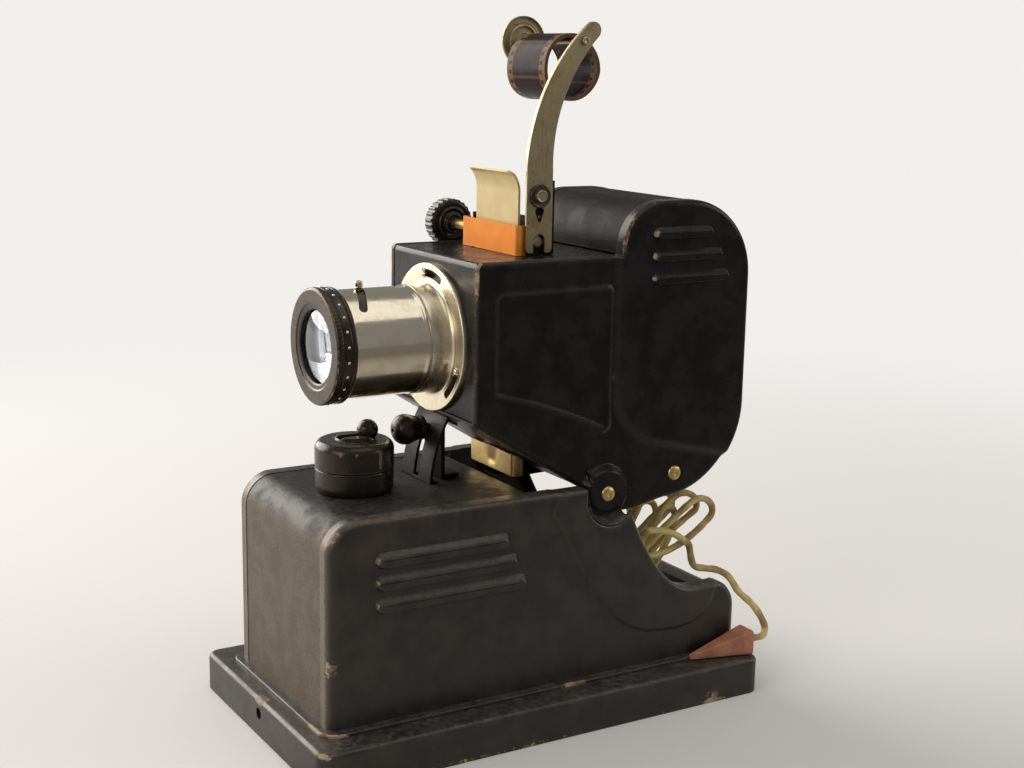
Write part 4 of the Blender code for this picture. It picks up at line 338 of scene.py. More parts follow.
bareSteel = (0.36, 0.27, 0.17)
enamels = {"black_enamel": {"dark": (0.0155, 0.0125, 0.0110), "light": (0.031, 0.0245, 0.0210),
                            "chip": (0.38, 0.28, 0.17)}, "deck_enamel": {"dark": (0.010, 0.009, 0.009),
                                                                         "light": (0.024, 0.021, 0.019),
                                                                         "chip": bareSteel, "rough": (0.40,
                                                                                                      0.60),
                                                                         "peel": 0.00017, "wear": 0.42,
                                                                         "dust": 0.12, "grain": 900.0,
                                                                         "coat": 0.0, "level": 0.27},
           "head_enamel": {"dark": (0.0070, 0.0065, 0.0070), "light": (0.0135, 0.012, 0.012),
                           "chip": bareSteel, "rough": (0.19, 0.32), "peel": 0.00007, "wear": 0.38,
                           "dust": 0.06, "coat": 0.0, "level": 0.22}, "hood_enamel": {"dark": (0.0085, 0.0078,
                                                                                               0.0085),
                                                                                      "light": (0.018, 0.016,
                                                                                                0.017),
                                                                                      "chip": bareSteel,
                                                                                      "rough": (0.42, 0.56),
                                                                                      "peel": 0.00014,
                                                                                      "wear": 0.38,
                                                                                      "dust": 0.06,
                                                                                      "grain": 1000.0,
                                                                                      "coat": 0.0,
                                                                                      "level": 0.09},
           "shaded_enamel": {"dark": (0.0060, 0.0052, 0.0050), "light": (0.012, 0.010, 0.009),
                             "chip": bareSteel, "rough": (0.42, 0.58), "peel": 0.00008, "wear": 0.30,
                             "dust": 0.05, "coat": 0.0, "level": 0.16}, "cream_plate": {"dark": (0.58, 0.44,
                                                                                                 0.195),
                                                                                        "light": (0.66, 0.52,
                                                                                                  0.255),
                                                                                        "chip": (0.80, 0.72,
                                                                                                 0.50),
                                                                                        "rough": (0.34, 0.46),
                                                                                        "peel": 0.00002,
                                                                                        "wear": 0.30,
                                                                                        "dust": 0.05,
                                                                                        "grain": 1500.0,
                                                                                        "coat": 0.0,
                                                                                        "level": 0.25},
           "orange_enamel": {"dark": (0.86, 0.235, 0.012), "light": (0.92, 0.30, 0.022),
                             "chip": (0.92, 0.56, 0.24), "rough": (0.30, 0.40), "peel": 0.00002, "wear": 0.30,
                             "dust": 0.0, "coat": 0.0, "level": 0.12}, }
brassColours = {"base": (0.66, 0.47, 0.20), "stain": (0.36, 0.22, 0.08), "rough": (0.26, 0.42), "spots": 0.5}
metals = {"nickel": {"base": (0.84, 0.75, 0.57), "stain": (0.64, 0.52, 0.32), "rough": (0.085, 0.15),
                     "stretch": (0.12, 1.0, 0.12), "brush": 1500.0, "depth": 0.000003, "tarnish": 0.40},
          "aged_nickel": {"base": (0.46, 0.375, 0.225), "stain": (0.25, 0.18, 0.08), "rough": (0.30, 0.46),
                          "spots": 0.75, "stretch": (1.0, 1.0, 0.10), "brush": 1600.0, "depth": 0.00002,
                          "tarnish": 0.7}, "brass": brassColours, "stained_brass": {**brassColours,
                                                                                    "stained": True},
          "steel": {"base": (0.46, 0.44, 0.40), "stain": (0.26, 0.22, 0.17), "rough": (0.32, 0.50),
                    "spots": 0.4}, "dark_steel": {"base": (0.115, 0.100, 0.085),
                                                  "stain": (0.06, 0.045, 0.035), "rough": (0.24, 0.40),
                                                  "spots": 0.3}, "mirror": {"base": (0.90, 0.90, 0.88),
                                                                            "stain": (0.80, 0.79, 0.74),
                                                                            "rough": (0.05, 0.10)}, }
mattes = {
    "iron_core": {"dark": (0.045, 0.040, 0.036), "light": (0.095, 0.080, 0.066),
        "rough": 0.62, "scale": 1600.0},
    "copper_winding": {"dark": (0.20, 0.085, 0.03), "light": (0.36, 0.16, 0.06),
        "rough": 0.5, "scale": 1500.0},
    "porcelain": {"dark": (0.66, 0.63, 0.56), "light": (0.76, 0.73, 0.66), "rough": 0.28, "scale": 800.0,
                  "depth": 0.00001},
    "terracotta": {"dark": (0.37, 0.140, 0.072), "light": (0.50, 0.220, 0.120),
        "rough": 0.50, "scale": 1100.0,
                   "depth": 0.00006, "slow": 120.0},
}
glasses = {"lamp_glass": {"tint": (0.95, 0.96, 0.96)}, "lens_glass": {"tint": (0.66, 0.72, 0.80)}}
families = ((enamel, enamels), (metal, metals), (matte, mattes), (glass, glasses),
            (bakelite, {"bakelite": {}}), (filmStock, {"film": {}}), (cottonFlex, {"cotton_flex": {}}))
looks = {}
for make, table in families:
    for name, values in table.items():
        looks[name] = make(name.replace("_", " "), **values)
print("materials made:", len(looks))

# The frame's own pieces take the same finishes
nodeSlot = {entry["node"]: entry["material_slot"] for entry in frame["record"]["subparts"]}
for nodeName, item in frame["nodes"].items():
    item.data.materials.clear()
    item.data.materials.append(looks[nodeSlot[nodeName]])


# Surfaces

def gridQuads(rows, columns, wrapRows=False, wrapColumns=False, keep=None):
    # The four corners of each cell of a grid of places, as row numbers of its flattened array.
    first = np.arange(rows if wrapRows else rows - 1)
    second = np.arange(columns if wrapColumns else columns - 1)
    r, c = np.meshgrid(first, second, indexing="ij")
    nextRow, nextColumn = (r + 1) % rows, (c + 1) % columns
    quads = np.stack([r * columns + c, r * columns + nextColumn, nextRow * columns + nextColumn,
                      nextRow * columns + c], axis=-1)
    return quads[keep] if keep is not None else quads.reshape(-1, 4)


def cornerNormals(points, quads):
    # The mean outward direction at each place, from the diagonals of the cells round it.
    a, b, c, d = (points[quads[:, k]] for k in range(4))
    facing = np.cross(c - a, d - b)
    normals = np.zeros_like(points)
    for k in range(4):
        np.add.at(normals, quads[:, k], facing)
    size = np.linalg.norm(normals, axis=1)
    return normals / np.maximum(size, 1e-12)[:, None]


def closedBy(points, quads, lower, extra=None):
    # A closed wall: the places, a second place under each, and strips along every free edge
    points, lower = points.reshape(-1, 3), lower.reshape(-1, 3)
    count = len(points)
    edges = np.vstack([quads[:, [k, (k + 1) % 4]] for k in range(4)])
    edges = edges[edges[:, 0] != edges[:, 1]]
    key = edges[:, 0] * count + edges[:, 1]
    back = edges[:, 1] * count + edges[:, 0]
    free = edges[~np.isin(key, back)]
    rim = np.stack([free[:, 1], free[:, 0], free[:, 0] + count, free[:, 1] + count], axis=1)
    doubled = {name: np.concatenate([values.ravel()] * 2) for name, values in (extra or {}).items()}
    return np.vstack([points, lower]), np.vstack([quads, quads[:, ::-1] + count, rim]), doubled


def walled(points, quads, thickness, extra=None):
    # A closed sheet: the second places are moved in by the thickness along the normals
    points = points.reshape(-1, 3)
    return closedBy(points, quads, points - thickness * cornerNormals(points, quads), extra)


def piece(name, parts, look, body, replaced=(), sharpDeg=38.0, weld=0.000002, turnOut=True):
    # One object from parts of (places, cells, attributes), welded and turned outwards.
    points, quads, start = [], [], 0
    names = sorted({key for part in parts for key in part[2]})
    values = {key: [] for key in names}
    for places, cells, extra in parts:
        places = places.reshape(-1, 3)
        points.append(places)
        quads.append(cells + start)
        for key in names:
            values[key].append(np.asarray(extra.get(key, np.zeros(len(places)))).ravel())
        start += len(places)
    points, quads = np.vstack(points), np.vstack(quads)
    mesh = bpy.data.meshes.new(name)
    mesh.from_pydata(points.tolist(), [], quads.tolist())
    for key in names:
        layer = mesh.attributes.new(key, "FLOAT", "POINT")
        layer.data.foreach_set("value", np.concatenate(values[key]).astype(np.float32))
    shape = bmesh.new()
    shape.from_mesh(mesh)
    bmesh.ops.remove_doubles(shape, verts=shape.verts, dist=weld)
    bmesh.ops.dissolve_degenerate(shape, edges=shape.edges, dist=weld / 4)
    if turnOut:
        bmesh.ops.recalc_face_normals(shape, faces=shape.faces)
    shape.to_mesh(mesh)
    shape.free()
    mesh.materials.append(looks[look])
    mesh.shade_smooth()
    mesh.set_sharp_from_angle(angle=math.radians(sharpDeg))
    made = bpy.data.objects.new(name, mesh)
    bpy.context.scene.collection.objects.link(made)
    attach(made, body)
    if replaced:
        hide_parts(*replaced)
    return made


def softened(corners, radius, steps=4):
    # A line through corners, each rounded by a curve B(t) = (1-t)^2 a + 2t(1-t) corner + t^2 b.
    p = np.array(corners, float)
    radii = np.broadcast_to(np.array(radius, float), (len(p),))
    t = np.linspace(0, 1, steps + 1)[:, None]
    rows = [p[:1]]
    for before, corner, after, size in zip(p, p[1:], p[2:], radii[1:]):
        back, ahead = before - corner, after - corner
        reachBack, reachAhead = np.linalg.norm(back), np.linalg.norm(ahead)
        size = min(size, 0.48 * reachBack, 0.48 * reachAhead)
        if size < 0.00002:
            rows.append(corner[None])
            continue
        a, b = corner + back / reachBack * size, corner + ahead / reachAhead * size
        rows.append((1 - t) ** 2 * a + 2 * t * (1 - t) * corner + t ** 2 * b)
    rows.append(p[-1:])
    return np.vstack(rows)


axisOrder = {"X": (1, 2, 0), "Y": (0, 2, 1), "Z": (0, 1, 2)}


def lathe(profile, centre, axis, steps=96, closed=False, wear=None, shape=None):
    # A profile of (radius, place along the axis) carried round the axis. P(i, a) = centre + r_i (cos a, sin
    # a) across the axis, and s_i along it. shape(a, r, s) may change r.
    profile = np.array(profile, float)
    turn = np.linspace(0, 2 * math.pi, steps, endpoint=False)
    r, a = np.meshgrid(profile[:, 0], turn, indexing="ij")
    s = np.broadcast_to(profile[:, 1][:, None], r.shape)
    if shape is not None:
        r = shape(a, r, s)
    first, second, third = axisOrder[axis]
    points = np.zeros((*r.shape, 3))
    points[..., first] = centre[0] + r * np.cos(a)
    points[..., second] = centre[1] + r * np.sin(a)
    points[..., third] = s
    quads = gridQuads(len(profile), steps, closed, True)
    worn = np.zeros(len(profile)) if wear is None else np.array(wear(profile[:, 0], profile[:, 1]), float)
    return points, quads, {"wear": np.broadcast_to(worn[:, None], r.shape)}


def distanceTo(y, z, line, closed=False):
    # The least distance from each place to a line of corners in the plane.
    a = np.array(line, float)
    b = np.roll(a, -1, axis=0)
    if not closed:
        a, b = a[:-1], b[:-1]
    best = np.full(y.shape, 9.0)
    for start, end in zip(a, b):
        step = end - start
        size = max(float(step @ step), 1e-18)
        share = np.clip(((y - start[0]) * step[0] + (z - start[1]) * step[1]) / size, 0, 1)
        best = np.minimum(best, np.hypot(y - start[0] - share * step[0], z - start[1] - share * step[1]))
    return best


def depthInside(y, z, loop):
    # How far inside a closed loop each place lies: below zero outside.
    a = np.array(loop, float)
    b = np.roll(a, -1, axis=0)
    hit = np.zeros(y.shape, bool)
    for (y0, z0), (y1, z1) in zip(a, b):
        if z0 != z1:
            hit ^= ((z0 > z) != (z1 > z)) & (y < y0 + (z - z0) * (y1 - y0) / (z1 - z0))
    distance = distanceTo(y, z, loop, True)
    return np.where(hit, distance, -distance)


def smooth(value):
    value = np.clip(value, 0, 1)
    return value * value * (3 - 2 * value)


def arcLine(centre, radius, startDeg, endDeg, steps=12):
    turn = np.radians(np.linspace(startDeg, endDeg, steps + 1))
    return [(centre[0] + radius * math.cos(a), centre[1] + radius * math.sin(a)) for a in turn]


def spaced(marks, step):
    # Places between the marks, no further apart than the step.
    rows = [np.linspace(a, b, max(int(math.ceil((b - a) / step)), 1), endpoint=False)
            for a, b in zip(marks, marks[1:])]
    return np.concatenate([*rows, marks[-1:]])


def spot(points, place, radius):
    # A soft patch round a place, one at its middle
    away = np.linalg.norm(points - np.array(place), axis=-1)
    return np.exp(-(away / radius) ** 2)


def louvre(front, low, length, level, side, height=0.0092, rise=0.0027):
    # A long pressed rib: rings of places from its outline in to its middle line. The rise follows the depth
    # inside, softly on the upper flank and steeply on the lower one.
    radius = height / 2
    straight = np.arange(1, int(length / 0.0009)) / int(length / 0.0009)
    turn = np.concatenate([np.linspace(-90, 90, 15), np.full(len(straight), 90.0), np.linspace(90, 270, 15),
                           np.full(len(straight), 270.0)])
    run = length - height
    middle = np.concatenate([np.full(15, run), run * (1 - straight), np.zeros(15), run
                             * straight]) + front + radius
    facing = np.stack([np.cos(np.radians(turn)), np.sin(np.radians(turn))], axis=1)
    depth = np.array([0, 0.05, 0.11, 0.17, 0.24, 0.32, 0.42, 0.54, 0.68, 0.84, 0.97])[:, None]
    flank = 0.64 + 0.35 * facing[:, 1][None]
    x = level - 0.0004 + (rise + 0.0004) * smooth(depth / flank)
    points = np.zeros((*x.shape, 3))
    points[..., 0] = side * x
    points[..., 1] = middle[None] + radius * (1 - depth) * facing[None, :, 0]
    points[..., 2] = low + radius + radius * (1 - depth) * facing[None, :, 1]
    lower = points.copy()
    lower[..., 0] = side * (level - 0.0008)
    worn = 1.5 * spot(points, (side * (level + 0.001), front + 0.0014, low + radius), 0.0026)
    # Painted highlight on the upper flank through the rub share, and painted shade along the lower edge
    # through the shade share.
    rub = 0.16 * np.exp(-((depth - 0.45) / 0.25) ** 2) * np.clip(facing[:, 1][None] + 0.4, 0, 1)
    shade = np.clip(-1.6 * facing[:, 1][None], 0, 1) * np.exp(-((depth - 0.05) / 0.16) ** 2)
    return closedBy(points, gridQuads(len(depth), len(turn), False, True), lower,
                    {"wear": worn, "rub": rub, "shade": shade})


# Camera and stage

view = {"place": (0.65671, -0.38397, 0.32020), "azimuth": 58.788, "elevation": 11.727, "roll": 1.03,
        "lens": 54.46, "sensor": 36.0}


def makeCamera():
    turn, rise, roll = (math.radians(view[k]) for k in ("azimuth", "elevation", "roll"))
    ahead = Vector((-math.sin(turn) * math.cos(rise), math.cos(turn) * math.cos(rise), -math.sin(rise)))
    right = ahead.cross(Vector((0, 0, 1))).normalized()
    up = right.cross(ahead)
    rolledRight = right * math.cos(roll) + up * math.sin(roll)
    rolledUp = -right * math.sin(roll) + up * math.cos(roll)
    data = bpy.data.cameras.new("camera")
    data.lens = view["lens"]
    data.sensor_width = view["sensor"]
    data.clip_start = 0.01
    made = bpy.data.objects.new("camera", data)
    bpy.context.scene.collection.objects.link(made)
    axes = Matrix((rolledRight, rolledUp, -ahead)).transposed().to_4x4()
    made.matrix_world = Matrix.Translation(view["place"]) @ axes
    bpy.context.scene.camera = made


def areaLight(name, place, aim, size, power, colour=(1.0, 1.0, 1.0)):
    data = bpy.data.lights.new(name, "AREA")
    data.shape = "RECTANGLE"
    data.size, data.size_y = size
    data.energy = power
    data.color = colour
    made = bpy.data.objects.new(name, data)
    bpy.context.scene.collection.objects.link(made)
    made.location = place
    made.rotation_euler = (Vector(aim) - Vector(place)).to_track_quat("-Z", "Y").to_euler()


backdropColour = (0.88, 0.865, 0.84)


def makeFloor():
    # A pale table top that runs into the pale backdrop far from the object
    floor = bpy.data.meshes.new("floor")
    floor.from_pydata([(-14.0, -14.0, 0), (14.0, -14.0, 0), (14.0, 14.0, 0), (-14.0, 14.0, 0)], [],
                      [(0, 1, 2, 3)])
    made = bpy.data.objects.new("floor", floor)
    bpy.context.scene.collection.objects.link(made)
    cloth, tree, shader = startMaterial("floor")
    setSockets(tree, shader, Base_Color=(0.84, 0.815, 0.78), Roughness=0.9)
    rays = put(tree, "ShaderNodeLightPath").outputs
    away = put(tree, "ShaderNodeVectorMath", {"operation": "LENGTH"}, {0: objectPlace(tree)}).outputs["Value"]
    far = ramp(tree, away, 0.30, 1.15)
    seen = sums(tree, "MAXIMUM", rays["Is Camera Ray"], sums(tree, "MULTIPLY", rays["Is Glossy Ray"], 0.75))
    # Painted shade: glossy rays meeting the floor right of the object see a dark emission, so reflections
    # show a shaded floor there.
    right = put(tree, "ShaderNodeSeparateXYZ", {}, {0: objectPlace(tree)}).outputs["X"]
    dim = sums(tree, "MULTIPLY", ramp(tree, right, 0.06, 0.60, 0.25, 0.85), rays["Is Glossy Ray"])
    dim = sums(tree, "MULTIPLY", dim, ramp(tree, right, 0.0, 0.06))
    backdrop = put(tree, "ShaderNodeEmission", {}, {"Color": (*backdropColour, 1.0), "Strength": 1.0})
    mixed = put(tree, "ShaderNodeMixShader", {}, {0: sums(tree, "MULTIPLY", far, seen)})
    tree.links.new(shader.outputs[0], mixed.inputs[1])
    tree.links.new(backdrop.outputs[0], mixed.inputs[2])
    dark = put(tree, "ShaderNodeEmission", {}, {"Color": (0.06, 0.056, 0.052, 1.0), "Strength": 1.0})
    ended = put(tree, "ShaderNodeMixShader", {}, {0: dim})
    tree.links.new(mixed.outputs[0], ended.inputs[1])
    tree.links.new(dark.outputs[0], ended.inputs[2])
    tree.links.new(ended.outputs[0], tree.nodes["Material Output"].inputs["Surface"])
    floor.materials.append(cloth)


def makeLight():
    # Soft light from a large window on the left, and less from above, from the front and from the rear
    world = bpy.data.worlds.new("studio")
    bpy.context.scene.world = world
    world.use_nodes = True
    tree = world.node_tree
    shader = tree.nodes["Background"]
    seen = put(tree, "ShaderNodeLightPath").outputs["Is Camera Ray"]
    colour = blendColour(tree, seen, (0.23, 0.235, 0.245), backdropColour)
    tree.links.new(colour, shader.inputs["Color"])
    shader.inputs["Strength"].default_value = 1.0
    areaLight("window", (-2.15, -1.10, 1.02), (0, 0, 0.10), (2.6, 1.8), 84.0, (1.0, 0.965, 0.91))
    areaLight("ceiling", (0.4, 0.2, 2.3), (0, 0, 0), (2.4, 2.4), 15.0, (1.0, 0.985, 0.96))
    areaLight("front", (0.6, -2.3, 1.0), (0, 0, 0.1), (1.6, 1.2), 12.0, (1.0, 0.97, 0.93))
    areaLight("rear", (1.0, 1.9, 0.9), (0, 0, 0.08), (1.2, 1.0), 9.0, (1.0, 0.96, 0.90))
    bpy.context.scene.view_settings.view_transform = "Standard"


makeCamera()
makeFloor()
makeLight()
print("camera and stage made")

# Cord

cordSizes = {
    "diameter": 0.0038, "exit": (0.0306, 0.0157, 0.0500), "hankX": -0.0080, "pitch": 0.0066, "perLoop": 48,
    "run": 0.28, "twist": 0.016, "step": 0.0011,
    # y, z, slant in degrees, half length and end radius of each loose loop
    "loops": [(0.0840, 0.0695, 78.0, 0.0120, 0.0070), (0.0970, 0.0760, 36.0, 0.0190, 0.0060),
              (0.0870, 0.0700, 64.0, 0.0130, 0.0080), (0.1015, 0.0780, 30.0, 0.0210, 0.0055),
              (0.0890, 0.0712, 56.0, 0.0130, 0.0070), (0.1025, 0.0782, 32.0, 0.0200, 0.0060),
              (0.0880, 0.0715, -48.0, 0.0120, 0.0050)],
    "lead": [(0.0290, 0.0290, 0.0505), (0.0220, 0.0420, 0.0530), (0.0100, 0.0550, 0.0560),
             (-0.0030, 0.0660, 0.0590)],
    "tail": [(0.0385, 0.1045, 0.0622), (0.0410, 0.1100, 0.0602), (0.0435, 0.1160, 0.0592),
             (0.0468, 0.1218, 0.0555), (0.0505, 0.1262, 0.0475), (0.0560, 0.1325, 0.0400),
             (0.0605, 0.1362, 0.0310), (0.0633, 0.1335, 0.0262)],
    "plug": (0.0635, 0.1223, 0.0258),
}


def hankLine():
    # Loose loops side by side along X. Each is P = centre + u along its slant + w across it, with (u, w) on a
    # long loop with round ends, and all its sizes drift evenly into the next loop's.
    c = cordSizes
    rows = np.array(c["loops"])
    turns = np.arange(int((len(rows) - 1 + c["run"]) * c["perLoop"]) + 1) / c["perLoop"]
    y, z, slant, half, radius = (np.interp(turns, np.arange(len(rows)) + 0.5, rows[:, k]) for k in range(5))
    share = turns % 1
    far = share >= 0.5
    share = share - 0.5 * far
    bend = np.clip((share - c["run"]) / (0.5 - c["run"]), 0, 1) * math.pi
    onRun = share < c["run"]
    sign = np.where(far, -1.0, 1.0)
    u = sign * np.where(onRun, (2 * share / c["run"] - 1) * half, half + radius * np.sin(bend))
    w = sign * np.where(onRun, radius, radius * np.cos(bend))
    lean = np.radians(slant)
    return np.stack([c["hankX"] + c["pitch"] * turns, y + u * np.cos(lean) - w * np.sin(lean),
                     z + u * np.sin(lean) + w * np.cos(lean)], axis=1)


def evenLine(points, step):
    # Even places on a Catmull-Rom curve through the points.
    p = np.vstack([2 * points[0] - points[1], points, 2 * points[-1] - points[-2]])
    a, b, c, d = p[:-3, None], p[1:-2, None], p[2:-1, None], p[3:, None]
    t = np.linspace(0, 1, 12, endpoint=False)[None, :, None]
    dense = (2 * b + (c - a) * t + (2 * a - 5 * b + 4 * c - d) * t ** 2 + (3 * b - a - 3 * c + d)
             * t ** 3) / 2
    dense = np.vstack([dense.reshape(-1, 3), p[-2:-1]])
    walk = np.concatenate([[0], np.cumsum(np.linalg.norm(np.diff(dense, axis=0), axis=1))])
    places = np.linspace(0, walk[-1], int(round(walk[-1] / step)) + 1)
    return np.stack([np.interp(places, walk, dense[:, k]) for k in range(3)], axis=1), walk[-1]


def lineFrames(line):
    # Two directions across a line at each place, carried along it without twist.
    ahead = np.gradient(line, axis=0)
    ahead /= np.linalg.norm(ahead, axis=1)[:, None]
    across = np.cross(ahead[0], (0.0, 0.0, 1.0))
    across /= np.linalg.norm(across)
    first = [across]
    for direction in ahead[1:]:
        across = across - direction * float(across @ direction)
        across = across / np.linalg.norm(across)
        first.append(across)
    first = np.array(first)
    return first, np.cross(ahead, first)


def makeCord():
    # P(s, a) = line(s) + r(a, s) (cos a, sin a): r swells twice a turn and winds along, as two cores do.
    c = cordSizes
    first = np.array(c["exit"])
    last = np.array(c["plug"])
    line = np.vstack([first, first + (0, 0.004, 0), c["lead"], hankLine(), c["tail"], last + (0, 0.0038, 0),
                      last])
    line, length = evenLine(line, c["step"])
    across, over = lineFrames(line)
    turn = np.linspace(0, 2 * math.pi, 20, endpoint=False)
    walk = np.linspace(0, length, len(line))
    s, a = np.meshgrid(walk, turn, indexing="ij")
    r = c["diameter"] / 2 * (0.955 + 0.045 * np.cos(2 * (a - 2 * math.pi * s / c["twist"])))
    points = line[:, None] + r[..., None] * (np.cos(a)[..., None] * across[:, None]
                                             + np.sin(a)[..., None] * over[:, None])
    quads = gridQuads(len(line), len(turn), False, True)
    rings = [points[0].mean(axis=0)[None], points[-1].mean(axis=0)[None]]
    count = points.shape[0] * points.shape[1]
    capStart = np.array([[count, (k + 1) % 20, k, k] for k in range(20)])
    capEnd = np.array([[count + 1, count - 20 + k, count - 20 + (k + 1) % 20, count - 20 + (k + 1) % 20]
                       for k in range(20)])
    places = np.vstack([points.reshape(-1, 3), *rings])
    extra = {"along": np.append(s.ravel(), [0, length]), "around": np.append(a.ravel(), [0, 0])}
    made = piece("mains_cord", [(places, np.vstack([quads, capStart, capEnd]), extra)], "cotton_flex", "base",
                 ("cord_lead", "cord_hank", "cord_tail"), 60.0)
    return made, line, length


cordPiece, cordLine, cordLength = makeCord()
print("cord length: %.3f m" % cordLength)


wedge = {"x": 0.0635, "aside": -0.0048, "low": 0.0194, "rear": 0.1219, "tip": 0.0891, "halfX": 0.0064,
         "halfZ": 0.0066, "tipHalfX": 0.0012, "tipHalfZ": 0.0011, "power": 0.24}


def makePlug():
    # The wedge at the cord's end. P(s, a): a rounded oblong section that narrows from the rear to the tip.
    w = wedge
    s = softened([(0.0, 0.0), (0.0, 1.0), (1.0, 1.0), (1.0, 0.0)], [0, 0.03, 0.04, 0], 5)
    turn = np.linspace(0, 2 * math.pi, 48, endpoint=False)
    along, size = s[:, 0][:, None], s[:, 1][:, None]
    width = (w["halfX"] + (w["tipHalfX"] - w["halfX"]) * along) * size
    centre = w["halfZ"] + (w["tipHalfZ"] - w["halfZ"]) * along
    c, q = np.cos(turn)[None], np.sin(turn)[None]
    x = w["x"] + w["aside"] * along + width * np.sign(c) * np.abs(c) ** w["power"]
    z = w["low"] + centre + centre * size * np.sign(q) * np.abs(q) ** w["power"]
    y = w["rear"] + (w["tip"] - w["rear"]) * along + 0 * x
    points = np.stack([x, y, z], axis=-1)
    return piece("cord_end_piece", [(points, gridQuads(len(s), 48, False, True), {})], "terracotta", "base",
                 ("cord_plug",), 50.0)


plugPiece = makePlug()
print("cord made")


# Base

base = {"half": 0.0554, "top": 0.1174, "front": -0.1124, "bend": 0.0150, "floor": 0.0193, "deckRear": -0.0040,
        "tailTop": 0.0564, "tailFront": 0.0960, "tailRear": 0.1222, "hinge": (0.0402, 0.1122), "disc": 0.0145,
        "curveTop": 0.1035, "curveStart": 0.0518, "curvePower": 2.25, "band": 0.0095, "earX": 0.0475,
        "grooveRise": 0.0013, "corner": 0.0048, "louvres": [(-0.0900, 0.0940, 0.072),
                                                            (-0.0900, 0.0832, 0.077), (-0.0900, 0.0724,
                                                                                       0.082)],
        "groove": [(5.8, 107.6), (9.5, 103.2), (14.8, 93.3), (20, 82.7), (28.1, 69.4), (36.1, 58),
                   (44.2, 48.8), (52.2, 42.9), (61.5, 38.9), (72.3, 37.2), (83.4, 36.8), (92.8, 37.9),
                   (99.7, 41.6), (104.9, 48.7), (106.1, 53.1)], }


def baseTop(y):
    # Height of the base cheek's upper edge at each y.
    b = base
    hy, hz = b["hinge"]
    front = b["front"] + b["bend"]
    z = np.full_like(y, b["top"])
    rise = np.sqrt(np.maximum(b["bend"] ** 2 - (front - y) ** 2, 0))
    z = np.where(y < front, b["top"] - b["bend"] + rise, z)
    disc = hz - np.sqrt(np.maximum(b["disc"] ** 2 - (y - hy) ** 2, 0))
    discStart = hy - b["disc"] * math.cos(math.radians(10))
    z = np.where((y > discStart) & (y <= b["curveStart"]), disc, z)
    share = (y - b["curveStart"]) / (b["tailFront"] - b["curveStart"])
    curve = b["tailTop"] + (b["curveTop"] - b["tailTop"]) * np.clip(1 - share, 0, 1) ** b["curvePower"]
    z = np.where(y > b["curveStart"], curve, z)
    rear = b["tailRear"] - b["bend"]
    fall = np.sqrt(np.maximum(b["bend"] ** 2 - (y - rear) ** 2, 0))
    return np.where(y > rear, b["tailTop"] - b["bend"] + fall, z)


def roundedDrop(distance, radius):
    # How far a rolled edge has dropped at a distance from it: r - sqrt(r^2 - (r - d)^2).
    inward = np.clip(radius - distance, 0, radius)
    return radius - np.sqrt(radius ** 2 - inward ** 2)


def bentColumns(start, end, marks, step, fine=(0, 0.00015, 0.0004, 0.0008, 0.0013, 0.0019)):
    # Places along y that crowd at the two ends.
    inner = spaced([start + fine[-1], *marks, end - fine[-1]], step)
    return np.concatenate([start + np.array(fine[:-1]), inner, (end - np.array(fine[:-1]))[::-1]])


def cheekSheet(columns, low, high, height, side, edgeRows=(0, 0.0002, 0.0005, 0.0009, 0.0014, 0.0020, 0.0030),
               step=0.0009, lowEdge=False):
    # A pressed cheek: P(y, k) = (side height(y, z), y, z), with z from the lower to the upper edge.
    reach = float((high - low).max())
    drop = np.array(edgeRows)
    count = int(reach / step)
    shares = np.linspace(0, 1, count)
    room = high - low
    drop = np.minimum(drop[:, None], 0.02 * room[None] * np.arange(len(drop))[:, None])
    upper = high[None] - drop[::-1]
    lowest = low[None] + (drop[:-1] if lowEdge else np.zeros((1, len(low))))
    start = lowest[-1:]
    middle = start + (upper[:1] - start) * shares[1:-1, None]
    z = np.vstack([lowest, middle, upper])
    y = np.broadcast_to(columns[None], z.shape)
    x = height(y, z)
    points = np.stack([side * x, y, z], axis=-1)
    return points


def bandAlong(points, width, rows):
    # A strip from an edge of places inwards along X by the width.
    share = np.linspace(0, 1, rows + 1)[:, None]
    side = np.sign(points[:, 0])[None]
    x = points[None, :, 0] - side * np.broadcast_to(width, (points.shape[0],))[None] * share
    return np.stack([x, *(np.broadcast_to(points[None, :, k], x.shape) for k in (1, 2))], axis=-1)


def wornBy(distance, reach=0.0022):
    return np.clip(1 - distance / reach, 0, 1)


